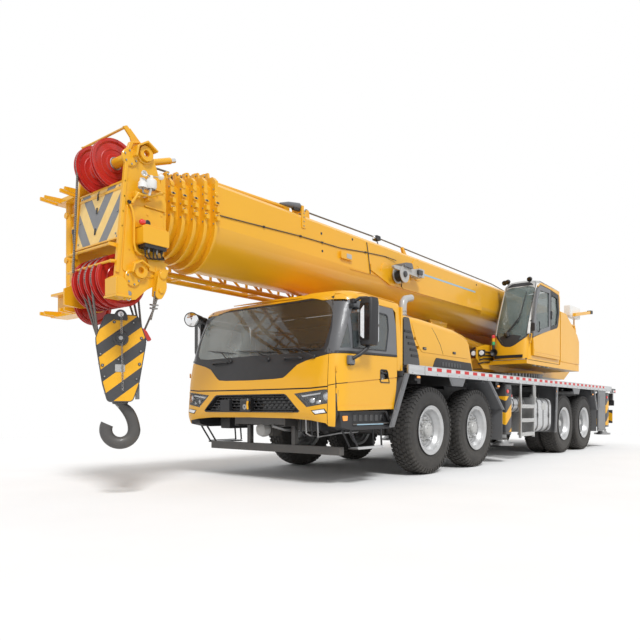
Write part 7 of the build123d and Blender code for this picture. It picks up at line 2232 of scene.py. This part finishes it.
def underside_front():
    """Pipes, steering gear and lamps seen under the cab's front edge."""
    kit = Kit("front_undergear", "carrier", 2, slot="chassis_grey")
    kit.lathe([(0, 90), (60, 96), (110, 80), (130, 40), (132, 0.1)], (1840, -80, 640), (1, 0, 0),
              "light_grey", 28)
    kit.box(1700, 1850, -190, 40, 560, 720, "iron")
    for k in range(4):
        y = 700 + 90 * k
        kit.tube([(2050, y, 860), (2040, y, 640 - 20 * k), (1990, y + 20, 590), (1700, y + 40, 570 + 16 * k),
                  (1300, y + 20, 620)], 13, "steel" if k % 2 else "black", 8)
    kit.tube([(2060, 250, 700), (1900, 300, 650), (1500, 420, 640), (700, 430, 660)], 26, "steel", 12)
    rounded_box(kit, 1560, 1820, 440, 640, 640, 800, 24, "iron")
    for y in (-900, 900):
        rounded_box(kit, 1500, 1900, min(y, y * 0.8), max(y, y * 0.8), 640, 800, 20, "black")
    kit.done()


wipers()
both(step_boxes)
cab_roof_parts()
underside_front()


# ---------------------------------------------------------------- floor, light and camera
FLOOR_R = 30                               # half the floor's side, m
FLOOR_FADE = (8.0, 15.0)                   # the floor fades out between these distances, m
OBJECT_LIGHT = 0.62                        # world strength that lights the object
BACKGROUND = 1.0                           # world strength that is seen behind it
SUN_POWER, SUN_SOFTNESS = 2.2, radians(14)
SUN_WAY = (-0.42, -0.62, -0.80)
CAMERA_PLACE = (9.9556, 5.5958, 0.9003)
CAMERA_HEADING, CAMERA_ROLL = radians(38.2586), radians(0.104)
CAMERA_LENS, CAMERA_SENSOR = 34.42, 36
CAMERA_SHIFT = (-0.0337, 0.1397)
floor_mesh = bmesh.new()
bmesh.ops.create_grid(floor_mesh, x_segments=24, y_segments=24, size=FLOOR_R)
floor_data = bpy.data.meshes.new("floor")
floor_mesh.to_mesh(floor_data)
floor_mesh.free()
floor = bpy.data.objects.new("floor", floor_data)
bpy.context.scene.collection.objects.link(floor)
floor_mat, floor_tree, floor_bsdf, floor_coord = shader("pale_floor")
floor_bsdf.inputs["Roughness"].default_value = 0.9
floor_bsdf.inputs["Specular IOR Level"].default_value = 0.1
floor_tone = noise(floor_tree, floor_coord, 0.8, 4)
floor_tree.links.new(ramp(floor_tree, floor_tone, [(0.3, (0.90, 0.90, 0.90)), (0.7, (0.93, 0.93, 0.93))]),
                     floor_bsdf.inputs["Base Color"])
reach = floor_tree.nodes.new("ShaderNodeVectorMath")
reach.operation = "LENGTH"
floor_tree.links.new(floor_coord, reach.inputs[0])
fade = math_node(floor_tree, "MULTIPLY_ADD", reach.outputs["Value"], -1 / (FLOOR_FADE[1] - FLOOR_FADE[0]),
                 FLOOR_FADE[1] / (FLOOR_FADE[1] - FLOOR_FADE[0]))
fade_clamp = floor_tree.nodes.new("ShaderNodeClamp")
floor_tree.links.new(fade, fade_clamp.inputs[0])
floor_tree.links.new(fade_clamp.outputs[0], floor_bsdf.inputs["Alpha"])
floor_data.materials.append(floor_mat)

world = bpy.data.worlds.new("studio")
bpy.context.scene.world = world
world.use_nodes = True
sky = world.node_tree
dim = sky.nodes["Background"]
dim.inputs["Color"].default_value = (1.0, 1.0, 1.0, 1)
dim.inputs["Strength"].default_value = OBJECT_LIGHT
bright = sky.nodes.new("ShaderNodeBackground")
bright.inputs["Color"].default_value = (1, 1, 1, 1)
bright.inputs["Strength"].default_value = BACKGROUND
path = sky.nodes.new("ShaderNodeLightPath")
seen = math_node(sky, "MAXIMUM", path.outputs["Is Camera Ray"], path.outputs["Is Transmission Ray"])
seen = math_node(sky, "MAXIMUM", seen, path.outputs["Is Glossy Ray"])
blend = sky.nodes.new("ShaderNodeMixShader")
sky.links.new(seen, blend.inputs[0])
sky.links.new(dim.outputs[0], blend.inputs[1])
sky.links.new(bright.outputs[0], blend.inputs[2])
sky.links.new(blend.outputs[0], sky.nodes["World Output"].inputs["Surface"])

sun_data = bpy.data.lights.new("sun", "SUN")
sun_data.energy = SUN_POWER
sun_data.angle = SUN_SOFTNESS
sun = bpy.data.objects.new("sun", sun_data)
sun.rotation_euler = Vector(SUN_WAY).to_track_quat("-Z", "Y").to_euler()
bpy.context.scene.collection.objects.link(sun)

camera_data = bpy.data.cameras.new("camera")
camera_data.sensor_width = CAMERA_SENSOR
camera_data.lens = CAMERA_LENS
camera_data.shift_x, camera_data.shift_y = CAMERA_SHIFT
camera = bpy.data.objects.new("camera", camera_data)
camera.location = CAMERA_PLACE
aim = Vector((-cos(CAMERA_HEADING), -sin(CAMERA_HEADING), 0)).to_track_quat("-Z", "Y").to_matrix()
roll = Matrix.Rotation(CAMERA_ROLL, 3, "Z")
camera.rotation_euler = (aim @ roll).to_euler()
camera_data.clip_start = 0.1
camera_data.clip_end = 200
bpy.context.scene.collection.objects.link(camera)
bpy.context.scene.camera = camera
bpy.context.scene.view_settings.view_transform = "Standard"
